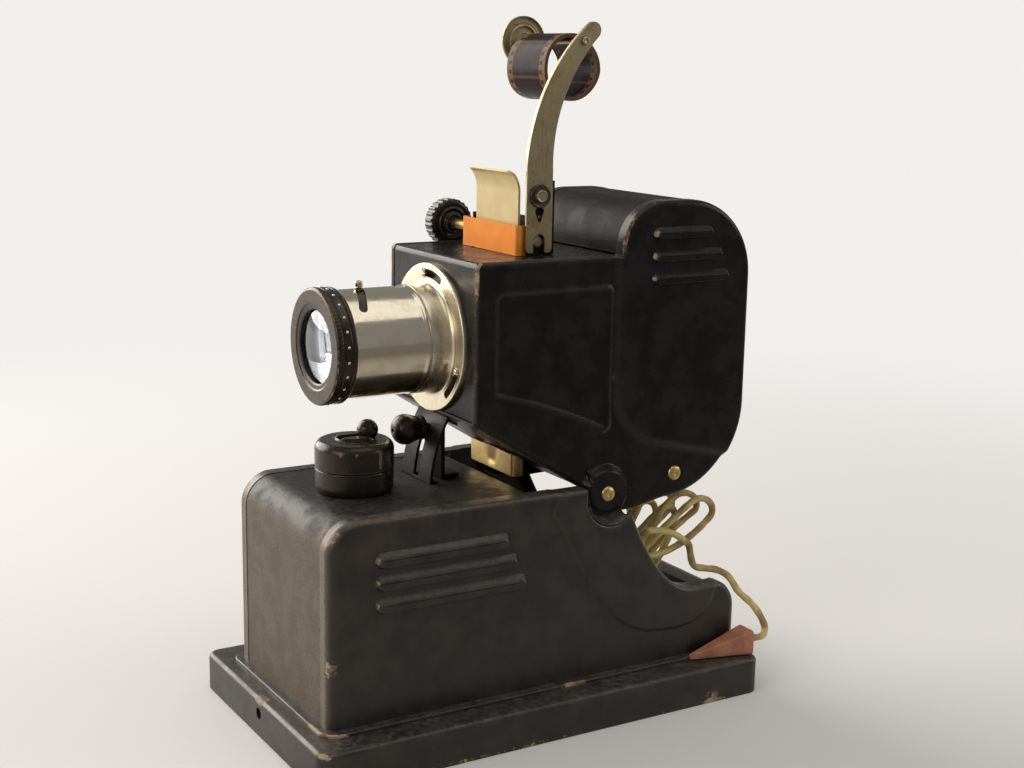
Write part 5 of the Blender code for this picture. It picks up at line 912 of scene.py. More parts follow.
def makeBaseCheek(side):
    b = base
    hy, hz = b["hinge"]
    discStart = hy - b["disc"] * math.cos(math.radians(10))
    columns = bentColumns(b["front"], b["tailRear"], [-0.0925, -0.0880, -0.0100, discStart - 0.0002, discStart
                                                      + 0.0001, hy, b["curveStart"], b["tailFront"]], 0.0009)
    high = baseTop(columns)
    low = np.full_like(columns, b["floor"])
    edge = np.stack([columns, high], axis=1)
    freeEdge = [(b["front"], b["floor"])] + [tuple(p) for p in edge] + [(b["tailRear"], b["floor"])]
    groove = np.array(b["groove"]) / 1000
    zone = [*map(tuple, groove), (0.112, 0.060), (0.095, 0.075), (0.070, 0.085), (0.052, 0.125),
            (0.012, 0.125)]

    def corner(y):
        # The cheek rolls over more widely at its front and at its tail
        return shared["edge"] + (b["corner"] - shared["edge"]) * np.maximum(smooth((-0.096 - y) / 0.010),
                                                                          1.4 * smooth((y - 0.108) / 0.012))

    def height(y, z):
        inZone = depthInside(y, z, zone)
        x = b["half"] + b["grooveRise"] * (smooth((inZone + 0.0010) / 0.0020) - 1)
        ring = np.hypot(y - hy, z - hz)
        x += 0.0005 * np.exp(-((ring - b["disc"] - 0.0012) / 0.0009) ** 2)
        x -= roundedDrop(distanceTo(y, z, freeEdge), corner(y))
        return x

    points = cheekSheet(columns, low, high, height, side, (0, 0.0002, 0.0005, 0.0009, 0.0014, 0.0020, 0.0029,
                                                           0.0040))
    rows, count = points.shape[:2]
    fromEdge = distanceTo(points[..., 1], points[..., 2], freeEdge)
    worn = 0.45 * wornBy(fromEdge, 0.0016)
    worn = worn + 1.6 * spot(points, (side * 0.0530, -0.1085, 0.1120), 0.0045)
    worn = worn + 1.3 * spot(points, (side * 0.0535, -0.1110, 0.0500), 0.0060)
    worn = worn + 3.0 * spot(points, (0.0540, 0.0589, 0.0611), 0.0011)
    rim = np.exp(-(depthInside(points[..., 1], points[..., 2], zone) / 0.0008) ** 2)
    # Painted highlights: the rub share lightens the groove's rim and the ring round the hinge, and the free
    # edge, where it also stands for paint rubbed thin.
    rub = 0.22 * rim + 0.6 * np.exp(-(fromEdge / 0.0010) ** 2) + 0.2 * np.exp(
        -((np.hypot(points[..., 1] - hy, points[..., 2] - hz) - b["disc"] - 0.0012) / 0.0008) ** 2)
    skin = walled(points, gridQuads(rows, count), side * shared["sheet"], {"wear": worn, "rub": rub})
    ribs = [louvre(*row, b["half"] - b["grooveRise"], side) for row in b["louvres"]]

    # The turned-in band follows the front, the deck and the tail
    border = np.vstack([points[:-1, 0], points[-1, :], points[-2::-1, -1]])
    keep = (border[:, 1] < discStart - 0.0003) | (border[:, 1] > b["curveStart"] + 0.001)
    strip = bandAlong(border, b["band"] - corner(border[:, 1]), 4)
    stripKeep = np.broadcast_to((keep[1:] & keep[:-1])[None], (4, len(border) - 1))
    stripQuads = gridQuads(5, len(border), keep=stripKeep)
    bandWear = np.broadcast_to(np.array([0.3, 0.1, 0.0, 0.1, 0.3])[:, None], strip.shape[:2])
    # Painted reflection: the band's front face is lightened through its rub share, like the front sheet.
    front = (strip[..., 1] < b["front"] + 0.001) * 1.0
    strip = walled(strip, stripQuads, side * 0.0006, {"wear": bandWear, "rub": 1.6 * front + bandWear})

    # The sunk ear round the hinge: P(a, k) from the disc's rim down a slope to the flat ear
    turn = np.linspace(0, 2 * math.pi, 96, endpoint=False)
    angle = np.degrees(turn)
    lower = (angle > 190) & (angle < 308)
    rim = np.where(lower, b["disc"], 0.0093)
    share = np.concatenate([np.linspace(0, 1, 14), [1.0]])
    radius = rim[None] + (0.0023 - rim)[None] * share[:, None]
    x = np.where(radius > 0.0093, b["earX"] + (b["half"] - b["earX"]) * smooth((radius - 0.0108) / 0.0036),
                 b["earX"])
    ear = np.stack([side * x, hy + radius * np.cos(turn)[None], hz + radius * np.sin(turn)[None]], axis=-1)
    earSkin = walled(ear[:-1], gridQuads(14, 96, False, True), side * shared["sheet"],
                     {"wear": 0.2 * wornBy(radius[:-1], 0.004)})

    word = "right" if side > 0 else "left"
    return piece("base_cheek_" + word, [skin, strip, earSkin, *ribs], "black_enamel", "base",
                 ("housing_cheek_" + word,))


for side in (1, -1):
    makeBaseCheek(side)
print("base cheeks made")


def roundedLoop(halfX, halfY, radius, step=0.004, bends=8):
    # A rounded oblong as (x, y) places and the outward direction at each, anticlockwise from above.
    places, outward = [], []
    for k, (sx, sy) in enumerate(((1, 1), (-1, 1), (-1, -1), (1, -1))):
        turn = np.radians(np.linspace(90 * k, 90 * k + 90, bends + 1))
        centre = np.array([sx * (halfX - radius), sy * (halfY - radius)])
        facing = np.stack([np.cos(turn), np.sin(turn)], axis=1)
        places.append(centre + radius * facing)
        outward.append(facing)
        nx, ny = ((-1, 1), (-1, -1), (1, -1), (1, 1))[k]
        following = np.array([nx * (halfX - radius), ny * (halfY - radius)]) + radius * facing[-1]
        count = int(np.linalg.norm(following - places[-1][-1]) / step)
        share = np.linspace(0, 1, count + 2)[1:-1, None]
        places.append(places[-1][-1] + share * (following - places[-1][-1]))
        outward.append(np.broadcast_to(facing[-1], (count, 2)))
    return np.vstack(places), np.vstack(outward)


def snapped(first, second, clear, cell):
    # Draws grid places that lie just inside a hole out to its edge, where clear(first, second) = 0. Returns
    # the moved places and which places lie inside.
    inside = clear(first, second) < 0
    a, b = first.copy(), second.copy()
    for _ in range(3):
        d = clear(a, b)
        e = cell * 0.05
        ga, gb = (clear(a + e, b) - d) / e, (clear(a, b + e) - d) / e
        size = np.maximum(ga * ga + gb * gb, 0.05)
        move = inside & (d < 0)
        a = np.where(move, a - d * ga / size, a)
        b = np.where(move, b - d * gb / size, b)
    return a, b, inside


def openCells(inside, wrapColumns=False):
    # The cells to keep: those with at least one corner outside the holes.
    if wrapColumns:
        inside = np.concatenate([inside, inside[:, :1]], axis=1)
    return ~(inside[:-1, :-1] & inside[1:, :-1] & inside[:-1, 1:] & inside[1:, 1:])


def makePlinth():
    # P(s, k) = loop(s) - inset_k outward(s) at height z_k, then flat rows that close on the middle.
    size = {"halfX": 0.073, "halfY": 0.125, "corner": 0.007, "height": 0.019, "edge": 0.0030, "wall": 0.0012}
    loop, outward = roundedLoop(size["halfX"], size["halfY"], size["corner"], 0.0025)
    section = softened([(size["wall"], 0.0040), (size["wall"], 0.0), (0.0, 0.0), (0.0, size["height"]),
                        (0.0066, size["height"])], [0, 0, 0.0006, size["edge"], 0], 8)
    wall = spaced([0.0011, 0.0148], 0.0007)
    rows = np.vstack([section[section[:, 1] < 0.0010], np.stack([np.zeros_like(wall), wall], axis=1),
                      section[section[:, 1] > 0.0150]])
    points = np.zeros((len(rows), len(loop), 3))
    points[..., :2] = loop[None] - rows[:, None, :1] * outward[None]
    points[..., 2] = rows[:, 1][:, None]
    flat = np.array([0.93, 0.6, 0.3, 0.0])
    top = np.zeros((len(flat), len(loop), 3))
    top[..., :2] = points[-1, :, :2][None] * flat[:, None, None]
    top[..., 2] = size["height"]
    wearRows = np.concatenate([np.where(rows[:, 1] < 0.002, 0.7, 0.0) + np.where(
        (rows[:, 1] > 0.0172) & (rows[:, 0] < 0.0016), 0.45, 0.0), np.zeros(len(flat))])
    worn = np.broadcast_to(wearRows[:, None], (len(wearRows), len(loop))).copy()
    points = np.vstack([points, top])
    # The chip over the front hole
    chip = np.exp(-((points[..., 0] + 0.0005) / 0.0042) ** 4) * (points[..., 1] <
                                                                 -0.1195) * (points[..., 2] > 0.0160)
    worn = np.maximum(worn, 2.4 * chip) + 1.5 * spot(points, (0.0730, 0.0944, 0.0022), 0.0070)
    worn = worn + 1.6 * spot(points, (0.0700, -0.1220, 0.0180), 0.0040)
    inside = (np.hypot(points[..., 0], points[..., 2] - 0.012) < 0.0030) & (points[..., 1] < -0.124)
    keep = openCells(inside, True)
    radius = np.hypot(points[..., 0], points[..., 2] - 0.012)
    push = np.where(inside, 0.0030 / np.maximum(radius, 1e-6), 1.0)
    points[..., 0] *= push
    points[..., 2] = 0.012 + (points[..., 2] - 0.012) * push
    quads = gridQuads(len(points), len(loop), False, True, keep)
    well = lathe([(0.0030, -0.1250), (0.0030, -0.1210), (0.0, -0.1210)], (0.0, 0.012), "Y", 32)
    return piece("plinth_shell", [(points, quads, {"wear": worn}), well], "black_enamel", "base", ("plinth",),
                 50.0)


def sheetAlong(line, halfWidth, thickness, columns=60, wear=None, hole=None, fine=(), seam=None, rub=None):
    # A bent sheet: P(k, x) with (y, z) along the line and x across, sunk by a groove at the seams |x| = seam
    marks = np.array([0, 0.0002, 0.0005, 0.0008, 0.0011]) if seam else np.zeros(0)
    marks = (seam or 0) - marks
    x = np.unique(np.concatenate([np.linspace(-halfWidth, halfWidth, columns + 1), np.array(fine), marks,
                                  -marks]))
    ahead = np.gradient(line, axis=0)
    ahead /= np.linalg.norm(ahead, axis=1)[:, None]
    sink = np.zeros(len(x)) if seam is None else 0.0001 * np.exp(-((np.abs(x) - seam + 0.00045)
                                                                   / 0.00035) ** 2)
    points = np.zeros((len(line), len(x), 3))
    points[..., 0] = x[None]
    points[..., 1] = line[:, 0][:, None] + sink[None] * ahead[:, 1][:, None]
    points[..., 2] = line[:, 1][:, None] - sink[None] * ahead[:, 0][:, None]
    worn = np.zeros(points.shape[:2]) if wear is None else wear(points)
    quads = gridQuads(len(line), len(x), keep=None if hole is None else hole(points))
    return walled(points, quads, thickness, {"wear": worn, "rub": 0 * worn if rub is None else rub(points)})


def walk(line):
    return np.concatenate([[0], np.cumsum(np.linalg.norm(np.diff(line, axis=0), axis=1))])


def resampled(line, step):
    # The same line with extra places, so that none are further apart than the step.
    rows = [line[:1]]
    for a, b in zip(line, line[1:]):
        count = max(int(math.ceil(np.linalg.norm(b - a) / step)), 1)
        rows.append(a + (b - a) * np.linspace(0, 1, count + 1)[1:, None])
    return np.vstack(rows)


def makeBaseSheets():
    b = base
    inset = 0.0003
    front = b["front"] + inset
    top = b["top"] - inset
    centre = (b["front"] + b["bend"], b["top"] - b["bend"])
    bend = arcLine(centre, b["bend"] - inset, 180, 90, 24)
    line = np.vstack([[(front, b["floor"]), (front, centre[1])], bend[1:],
                      [(-0.0390, top), (-0.0320, top), (b["deckRear"], top)]])
    line = resampled(line, 0.0022)

    def wear(points):
        y, z = points[..., 1], points[..., 2]
        worn = 0.55 * np.exp(-((y - b["front"] - 0.0040) / 0.0024) ** 2) * (z > 0.100)
        worn = worn + 0.38 * (z > b["top"] - 0.002)
        return worn + 0.7 * spot(points, (0.0430, b["front"] + 0.004, 0.111), 0.007)

    def slot(points):
        y = (points[:-1, :-1, 1] + points[1:, 1:, 1]) / 2
        x = (points[:-1, :-1, 0] + points[1:, 1:, 0]) / 2
        return ~((y > -0.0390) & (y < -0.0320) & (np.abs(x + 0.005) < 0.0153) & (points[1:, 1:, 2] > 0.116))

    # Painted reflection: the rub share lightens the front face below the bend, standing in for the pale floor
    # it reflects.
    def rub(points):
        return 1.5 * (points[..., 1] < b["front"] + 0.002) * smooth((0.112 - points[..., 2]) / 0.008)

    sheet = sheetAlong(line, 0.0502, shared["sheet"], 50, wear, slot, (-0.0203, 0.0103), b["half"]
                       - b["band"], rub)
    piece("base_front_sheet", [sheet], "deck_enamel", "base", ("housing_front_sheet",))

    rear = (b["tailRear"] - b["bend"], b["tailTop"] - b["bend"])
    line = np.vstack([[(0.1000, 0.0490), (0.1012, 0.0528)], arcLine((rear[0], 0.0395), b["bend"] - 0.0010, 90,
                                                                    0, 20), [(b["tailRear"] - 0.0010,
                                                                              b["floor"])]])
    sheet = sheetAlong(resampled(line, 0.003), 0.0488, shared["sheet"], 30)
    piece("base_tail_sheet", [sheet], "black_enamel", "base", ("housing_tail_sheet",))


def makeFoot():
    # The turned-out foot: P(s, k) = loop(s) - inset_k outward(s) at height z_k, all round the base
    b = base
    middle, halfY = (b["tailRear"] + b["front"]) / 2, (b["tailRear"] - b["front"]) / 2
    loop, outward = roundedLoop(b["half"] + 0.0032, halfY + 0.0042, 0.0085, 0.002, 12)
    section = softened([(0.0060, b["floor"] + 0.0018), (0.0036, b["floor"] + 0.0013),
                        (0.0, b["floor"] + 0.0012), (0.0, b["floor"] - 0.0003),
                        (0.0060, b["floor"] - 0.0003)], [0, 0.001, 0.0008, 0, 0], 4)
    points = np.zeros((len(section), len(loop), 3))
    points[..., :2] = loop[None] - section[:, None, :1] * outward[None]
    points[..., 1] += middle
    points[..., 2] = section[:, 1][:, None]
    edge = np.clip(1 - section[:, 0] / 0.0016, 0, 1)[:, None] * np.ones(len(loop))[None]
    front = np.clip((-0.106 - points[..., 1]) / 0.006, 0, 1)
    corner = spot(points, (0.0500, -0.1150, b["floor"]), 0.0130)
    worn = edge * (0.35 + 0.55 * front) + 1.5 * corner * (edge > 0.1)
    worn = worn + 1.8 * np.exp(-((points[..., 1] - 0.0190) / 0.0058) ** 4) * (points[...,
                                                                                     0] > 0.05) * (edge > 0.4)
    piece("base_foot", [(points, gridQuads(len(section), len(loop), True, True), {"wear": worn})],
          "black_enamel", "base", (), 50.0)


makePlinth()
makeBaseSheets()
makeFoot()
print("plinth and base sheets made")


# Head

head = {"half": 0.0452, "front": -0.0326, "top": 0.2297, "frontLow": 0.1535, "rearLow": (0.0285, 0.1151),
        "hinge": (0.0402, 0.1122), "lobe": 0.0102, "disc": 0.0145, "hoodFront": 0.0480, "hoodTop": 0.2555,
        "hoodRear": 0.1260, "hoodLow": 0.1040, "bends": (0.023, 0.039, 0.047), "step": 0.0025,
        "beadRise": 0.0008, "lobeRise": 0.0050, "band": 0.0046, "louvres": [(0.0637, 0.2362, 0.0375),
                                                                            (0.0637, 0.2250, 0.0440),
                                                                            (0.0637, 0.2140, 0.0485)], }


def headLow(y):
    h = head
    hy, hz = h["hinge"]
    slope = h["frontLow"] + (y - h["front"]) / (h["rearLow"][0] - h["front"]) * (h["rearLow"][1]
                                                                                 - h["frontLow"])
    lobe = hz - np.sqrt(np.maximum(h["lobe"] ** 2 - (y - hy) ** 2, 0))
    z = np.where(y > 0.0303, lobe, slope)
    share = (y - 0.0459) / (0.0483 - 0.0459)
    z = np.where(y > 0.0459, 0.1037 + (0.1002 - 0.1037) * np.clip(share, 0, 1), z)
    z = np.where(y > 0.0483, 0.1002 + (y - 0.0483) / (0.0600 - 0.0483) * 0.0004, z)
    low = h["hoodRear"] - h["bends"][2]
    z = np.where(y > 0.0600, 0.1006 + (y - 0.0600) / (low - 0.0600) * (h["hoodLow"] - 0.1006), z)
    bend = h["hoodLow"] + h["bends"][2] - np.sqrt(np.maximum(h["bends"][2] ** 2 - (y - low) ** 2, 0))
    return np.where(y > low, bend, z)


def headHigh(y):
    h = head
    first = h["hoodFront"] + h["bends"][0]
    last = h["hoodRear"] - h["bends"][1]
    z = h["top"] - roundedDrop(y - h["front"], 0.0034) * 0.75
    rise = np.sqrt(np.maximum(h["bends"][0] ** 2 - (first - y) ** 2, 0))
    z = np.where(y > h["hoodFront"], h["hoodTop"] - h["bends"][0] + rise, z)
    z = np.where(y > first, h["hoodTop"], z)
    fall = np.sqrt(np.maximum(h["bends"][1] ** 2 - (y - last) ** 2, 0))
    return np.where(y > last, h["hoodTop"] - h["bends"][1] + fall, z)


def makeHeadCheek(side):
    h = head
    hy, hz = h["hinge"]
    columns = bentColumns(h["front"], h["hoodRear"], [-0.0260, 0.0302, 0.0304, 0.0459, h["hoodFront"]
                                                      - 0.0001, h["hoodFront"] + 0.0001, 0.0505, 0.060,
                                                      0.0710, 0.1180], 0.0008)
    low, high = headLow(columns), headHigh(columns)
    low = np.where(columns > h["hoodRear"] - 0.00001, h["hoodLow"] + h["bends"][2], low)
    top = [tuple(p) for p in np.stack([columns, high], axis=1)]
    bottom = [tuple(p) for p in np.stack([columns, low], axis=1)]
    freeEdge = [(h["front"], h["frontLow"])] + top + bottom[::-1]
    lampBend = arcLine((0.0425 + 0.034, 0.165), 0.034, 180, 262, 16)
    lamp = lampBend + [(0.126, 0.118), (0.173, 0.118), (0.173, 0.302), (0.0425, 0.302)]
    s = np.linspace(0, 1, 20)[1:-1]
    panelLow = list(zip(-0.0225 + s * 0.065, 0.1665 + s ** 1.3 * (0.1435 - 0.1665)))
    corner = 0.0035
    panel = ([(-0.0225, 0.1695), (-0.0215, 0.1672)] + panelLow + arcLine((0.0425 - corner, 0.1435 + corner),
                                                                         corner, 270, 360, 6)
             + arcLine((0.0425 - corner, 0.2145 - corner), corner, 0, 90, 6)
             + arcLine((-0.0225 + corner, 0.2145 - corner), corner, 90, 180, 6))

    def height(y, z):
        x = np.full(y.shape, h["half"])
        x += h["step"] * smooth(depthInside(y, z, lamp) / 0.0050)
        inner = depthInside(y, z, panel)
        x += h["beadRise"] * np.exp(-(inner / 0.0011) ** 2) + 0.0003 * smooth(inner / 0.0020)
        ring = np.hypot(y - hy, z - hz)
        x += h["lobeRise"] * smooth((h["disc"] - ring) / 0.0034)
        return x - roundedDrop(distanceTo(y, z, freeEdge, True), shared["edge"])

    points = cheekSheet(columns, low, high, height, side, step=0.0008, lowEdge=True)
    rows, count = points.shape[:2]
    fromEdge = distanceTo(points[..., 1], points[..., 2], freeEdge, True)
    worn = wornBy(fromEdge, 0.0016) * 0.45
    worn = worn + 1.7 * spot(points, (side * 0.0435, h["front"], 0.2240), 0.0080) * (fromEdge < 0.0012)
    worn = worn + 0.3 * spot(points, (side * 0.0435, h["front"], 0.1900), 0.0300) * (fromEdge < 0.0009)
    worn = worn + 0.9 * spot(points, (side * 0.0435, h["hoodFront"], 0.2400), 0.0120) * (fromEdge < 0.0010)
    inner = depthInside(points[..., 1], points[..., 2], panel)
    # Painted highlights: the rub share lightens the panel's bead, the front of the free edge and the step
    # round the lamp house; on the bead and the edge it also stands for paint rubbed thin.
    rub = 0.34 * np.exp(-(inner / 0.0006) ** 2)
    rub = rub + 0.45 * np.exp(-(fromEdge / 0.0008) ** 2) * (points[..., 1] < 0.06)
    rub = rub + 0.16 * np.exp(-((depthInside(points[..., 1], points[..., 2], lamp) - 0.0030) / 0.0018) ** 2)
    hole = np.minimum(np.hypot(points[..., 1] - hy, points[..., 2] - hz),
                      np.hypot(points[..., 1] - 0.0844, points[..., 2] - 0.1164)) < 0.0019
    skin = walled(points, gridQuads(rows, count, keep=openCells(hole)), side * shared["sheet"],
                  {"wear": worn, "rub": rub})
    ribs = [louvre(*row, h["half"] + h["step"], side, 0.0074, 0.0025) for row in h["louvres"]]

    border = np.vstack([points[:, 0], points[-1, :], points[::-1, -1]])
    strip = bandAlong(border, h["band"] - shared["edge"], 4)
    bandWear = np.broadcast_to(np.array([0.7, 0.3, 0.1, 0.3, 0.7])[:, None], strip.shape[:2])
    hood = (border[:, 1] > h["hoodFront"] - 0.001) & (border[:, 2] > 0.205)
    strip[..., 0] -= np.sign(strip[..., 0]) * hood[None] * np.linspace(0, 0.0034, 5)[:, None]
    strip = walled(strip, gridQuads(5, len(border)), side * 0.0006, {"wear": bandWear, "rub": bandWear})
    under = bandAlong(points[0, :], 0.0050, 3)
    under = walled(under, gridQuads(4, count), -side * 0.0006, {"wear": np.full(under.shape[:2], 0.2)})
    word = "right" if side > 0 else "left"
    return piece("head_cheek_shell_" + word, [skin, strip, under, *ribs], "head_enamel", "head",
                 ("head_cheek_" + word,))


for side in (1, -1):
    makeHeadCheek(side)
print("head cheeks made")


def makeHeadSheets():
    h = head
    inset = 0.0003
    front, top = h["front"] + inset, h["top"] - inset
    line = softened([(front, h["frontLow"] + 0.0008), (front, top), (h["hoodFront"] - 0.0003, top)],
                    [0, 0.0030, 0], 10)
    line = resampled(line, 0.0016)

    def wear(points):
        y, z = points[..., 1], points[..., 2]
        bend = np.exp(-(((y - front) + (top - z) - 0.0016) / 0.0009) ** 2)
        corner = np.exp(-((np.abs(points[..., 0]) - 0.040) / 0.003) ** 2)
        return bend * (0.55 + 0.6 * corner) * ((y < front + 0.005) & (z > top - 0.005))

    def holes(points):
        y = (points[:-1, :-1, 1] + points[1:, 1:, 1]) / 2
        x = (points[:-1, :-1, 0] + points[1:, 1:, 0]) / 2
        z = (points[:-1, :-1, 2] + points[1:, 1:, 2]) / 2
        lensHole = (np.hypot(x, z - 0.1885) < 0.0266) & (y < front + 0.001)
        gate = (np.abs(x) < 0.0222) & (y > 0.0030) & (y < 0.0068) & (z > top - 0.001)
        return ~(lensHole | gate)

    sheet = sheetAlong(line, 0.0425, shared["sheet"], 68, wear, holes, fine=(-0.0222, 0.0222))
    piece("head_front_shell", [sheet], "head_enamel", "head", ("head_front_sheet",))

    first = (h["hoodFront"] + h["bends"][0], h["hoodTop"] - h["bends"][0])
    rear = (h["hoodRear"] - h["bends"][1], h["hoodTop"] - h["bends"][1])
    low = (h["hoodRear"] - h["bends"][2], h["hoodLow"] + h["bends"][2])
    wide = ([(h["hoodFront"] + inset, h["top"] + 0.0003)] + arcLine(first, h["bends"][0] - inset, 180, 90, 26)
            + arcLine(rear, h["bends"][1] - inset, 90, 0, 30) + arcLine(low, h["bends"][2] - inset, 0, -25,
                                                                        12))
    wide = resampled(np.array(wide), 0.0035)
    hood = sheetAlong(wide, 0.0450, shared["sheet"], 30, lambda p: 0.5
                      * np.exp(-((p[..., 2] - 0.2297) / 0.001) ** 2))
    narrow = resampled(np.array(arcLine(low, h["bends"][2] - inset, -25, -80, 20)), 0.0035)
    tail = sheetAlong(narrow, 0.0425, shared["sheet"], 30)
    piece("lamp_hood_shell", [hood, tail], "hood_enamel", "head", ("lamp_hood",))


makeHeadSheets()
print("head sheets made")

# Turned parts and screws


def turnedPiece(name, profile, centre, axis, look, body, nodes=(), steps=72, closed=False, radius=0.0003,
                wear=None, shape=None, more=()):
    # A lathe piece from a profile with its corners rounded by the radius
    sizes = np.full(len(profile), radius)
    line = np.array(profile, float)
    if closed:
        start = (line[0] + line[-1]) / 2
        line = softened(np.vstack([start[None], line, start[None]]), radius)[:-1]
    else:
        sizes[[0, -1]] = 0
        line = softened(line, sizes)
    parts = [lathe(line, centre, axis, steps, closed, wear, shape), *more]
    return piece(name, parts, look, body, nodes)


def screwHead(centre, axis, seat, side, radius, height, slot=0.0008, turnDeg=30.0):
    # P(u, v) = (u, v sqrt(R^2 - u^2)) across the axis and H sqrt(1 - (r / R)^3) along it, less a slot
    t = np.sin(np.linspace(-0.5, 0.5, 21) * math.pi)
    u = np.sort(np.concatenate([radius * t, slot * np.array([-0.53, -0.47, 0.47, 0.53])]))
    a, v = np.meshgrid(u, t, indexing="ij")
    b = v * np.sqrt(np.maximum(radius ** 2 - a ** 2, 0))
    reach = np.minimum(np.hypot(a, b) / radius, 1)
    h = height * np.sqrt(1 - reach ** 3)
    h = np.where(np.abs(a) < slot / 2, np.minimum(h, 0.35 * height), h)
    turn = math.radians(turnDeg)
    first, second, third = axisOrder[axis]
    top = np.zeros((*a.shape, 3))
    top[..., first] = centre[0] + a * math.cos(turn) - b * math.sin(turn)
    top[..., second] = centre[1] + a * math.sin(turn) + b * math.cos(turn)
    top[..., third] = seat + side * h
    low = top.copy()
    low[..., third] = seat
    return closedBy(top, gridQuads(len(u), len(t)), low, {"wear": np.zeros(a.shape)})


def wrapped(angle):
    return (angle + math.pi) % (2 * math.pi) - math.pi


def fromFrame(name, node, look, body, bevel=0.00025, sharpDeg=35.0):
    # A frame piece's own shape, merged, with its edges broken by a small bevel
    source = frame["nodes"][node].data
    shape = bmesh.new()
    shape.from_mesh(source)
    bmesh.ops.remove_doubles(shape, verts=shape.verts, dist=0.000005)
    bmesh.ops.dissolve_limit(shape, angle_limit=math.radians(1.0), verts=shape.verts, edges=shape.edges)
    mesh = bpy.data.meshes.new(name)
    shape.to_mesh(mesh)
    shape.free()
    mesh.materials.clear()
    mesh.materials.append(looks[look])
    mesh.shade_smooth()
    mesh.set_sharp_from_angle(angle=math.radians(sharpDeg))
    made = bpy.data.objects.new(name, mesh)
    bpy.context.scene.collection.objects.link(made)
    edge = made.modifiers.new("edge", "BEVEL")
    edge.width = bevel
    edge.segments = 2
    edge.limit_method = "ANGLE"
    edge.angle_limit = math.radians(35)
    edge.harden_normals = True
    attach(made, body)
    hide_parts(node)
    return made


# Lens

lens = {"z": 0.1885, "flange": 0.0362, "flangeFront": -0.0348, "flangeRear": -0.0324, "sleeve": 0.0260,
        "bore": 0.0248, "sleeveFront": -0.0842, "sleeveRear": -0.0300, "beadY": -0.0472, "beadRise": 0.0005,
        "screwRing": 0.0315, "screws": (98.0, 218.0, 338.0), "slotHalf": 0.0019, "slotDeg": 30.0, "pinY":
        -0.0715, "pinHalf": 0.0021, "pinDeg": 42.0, "travel": 0.0059, "tube": 0.0244, "tubeFront": -0.0928,
        "tubeRear": -0.0420, "cell": 0.0186, "ring": 0.0280, "ringFront": -0.0950, "ringRear": -0.0845,
        "lip": 0.0175, "studs": 24, "ribs": 96, }


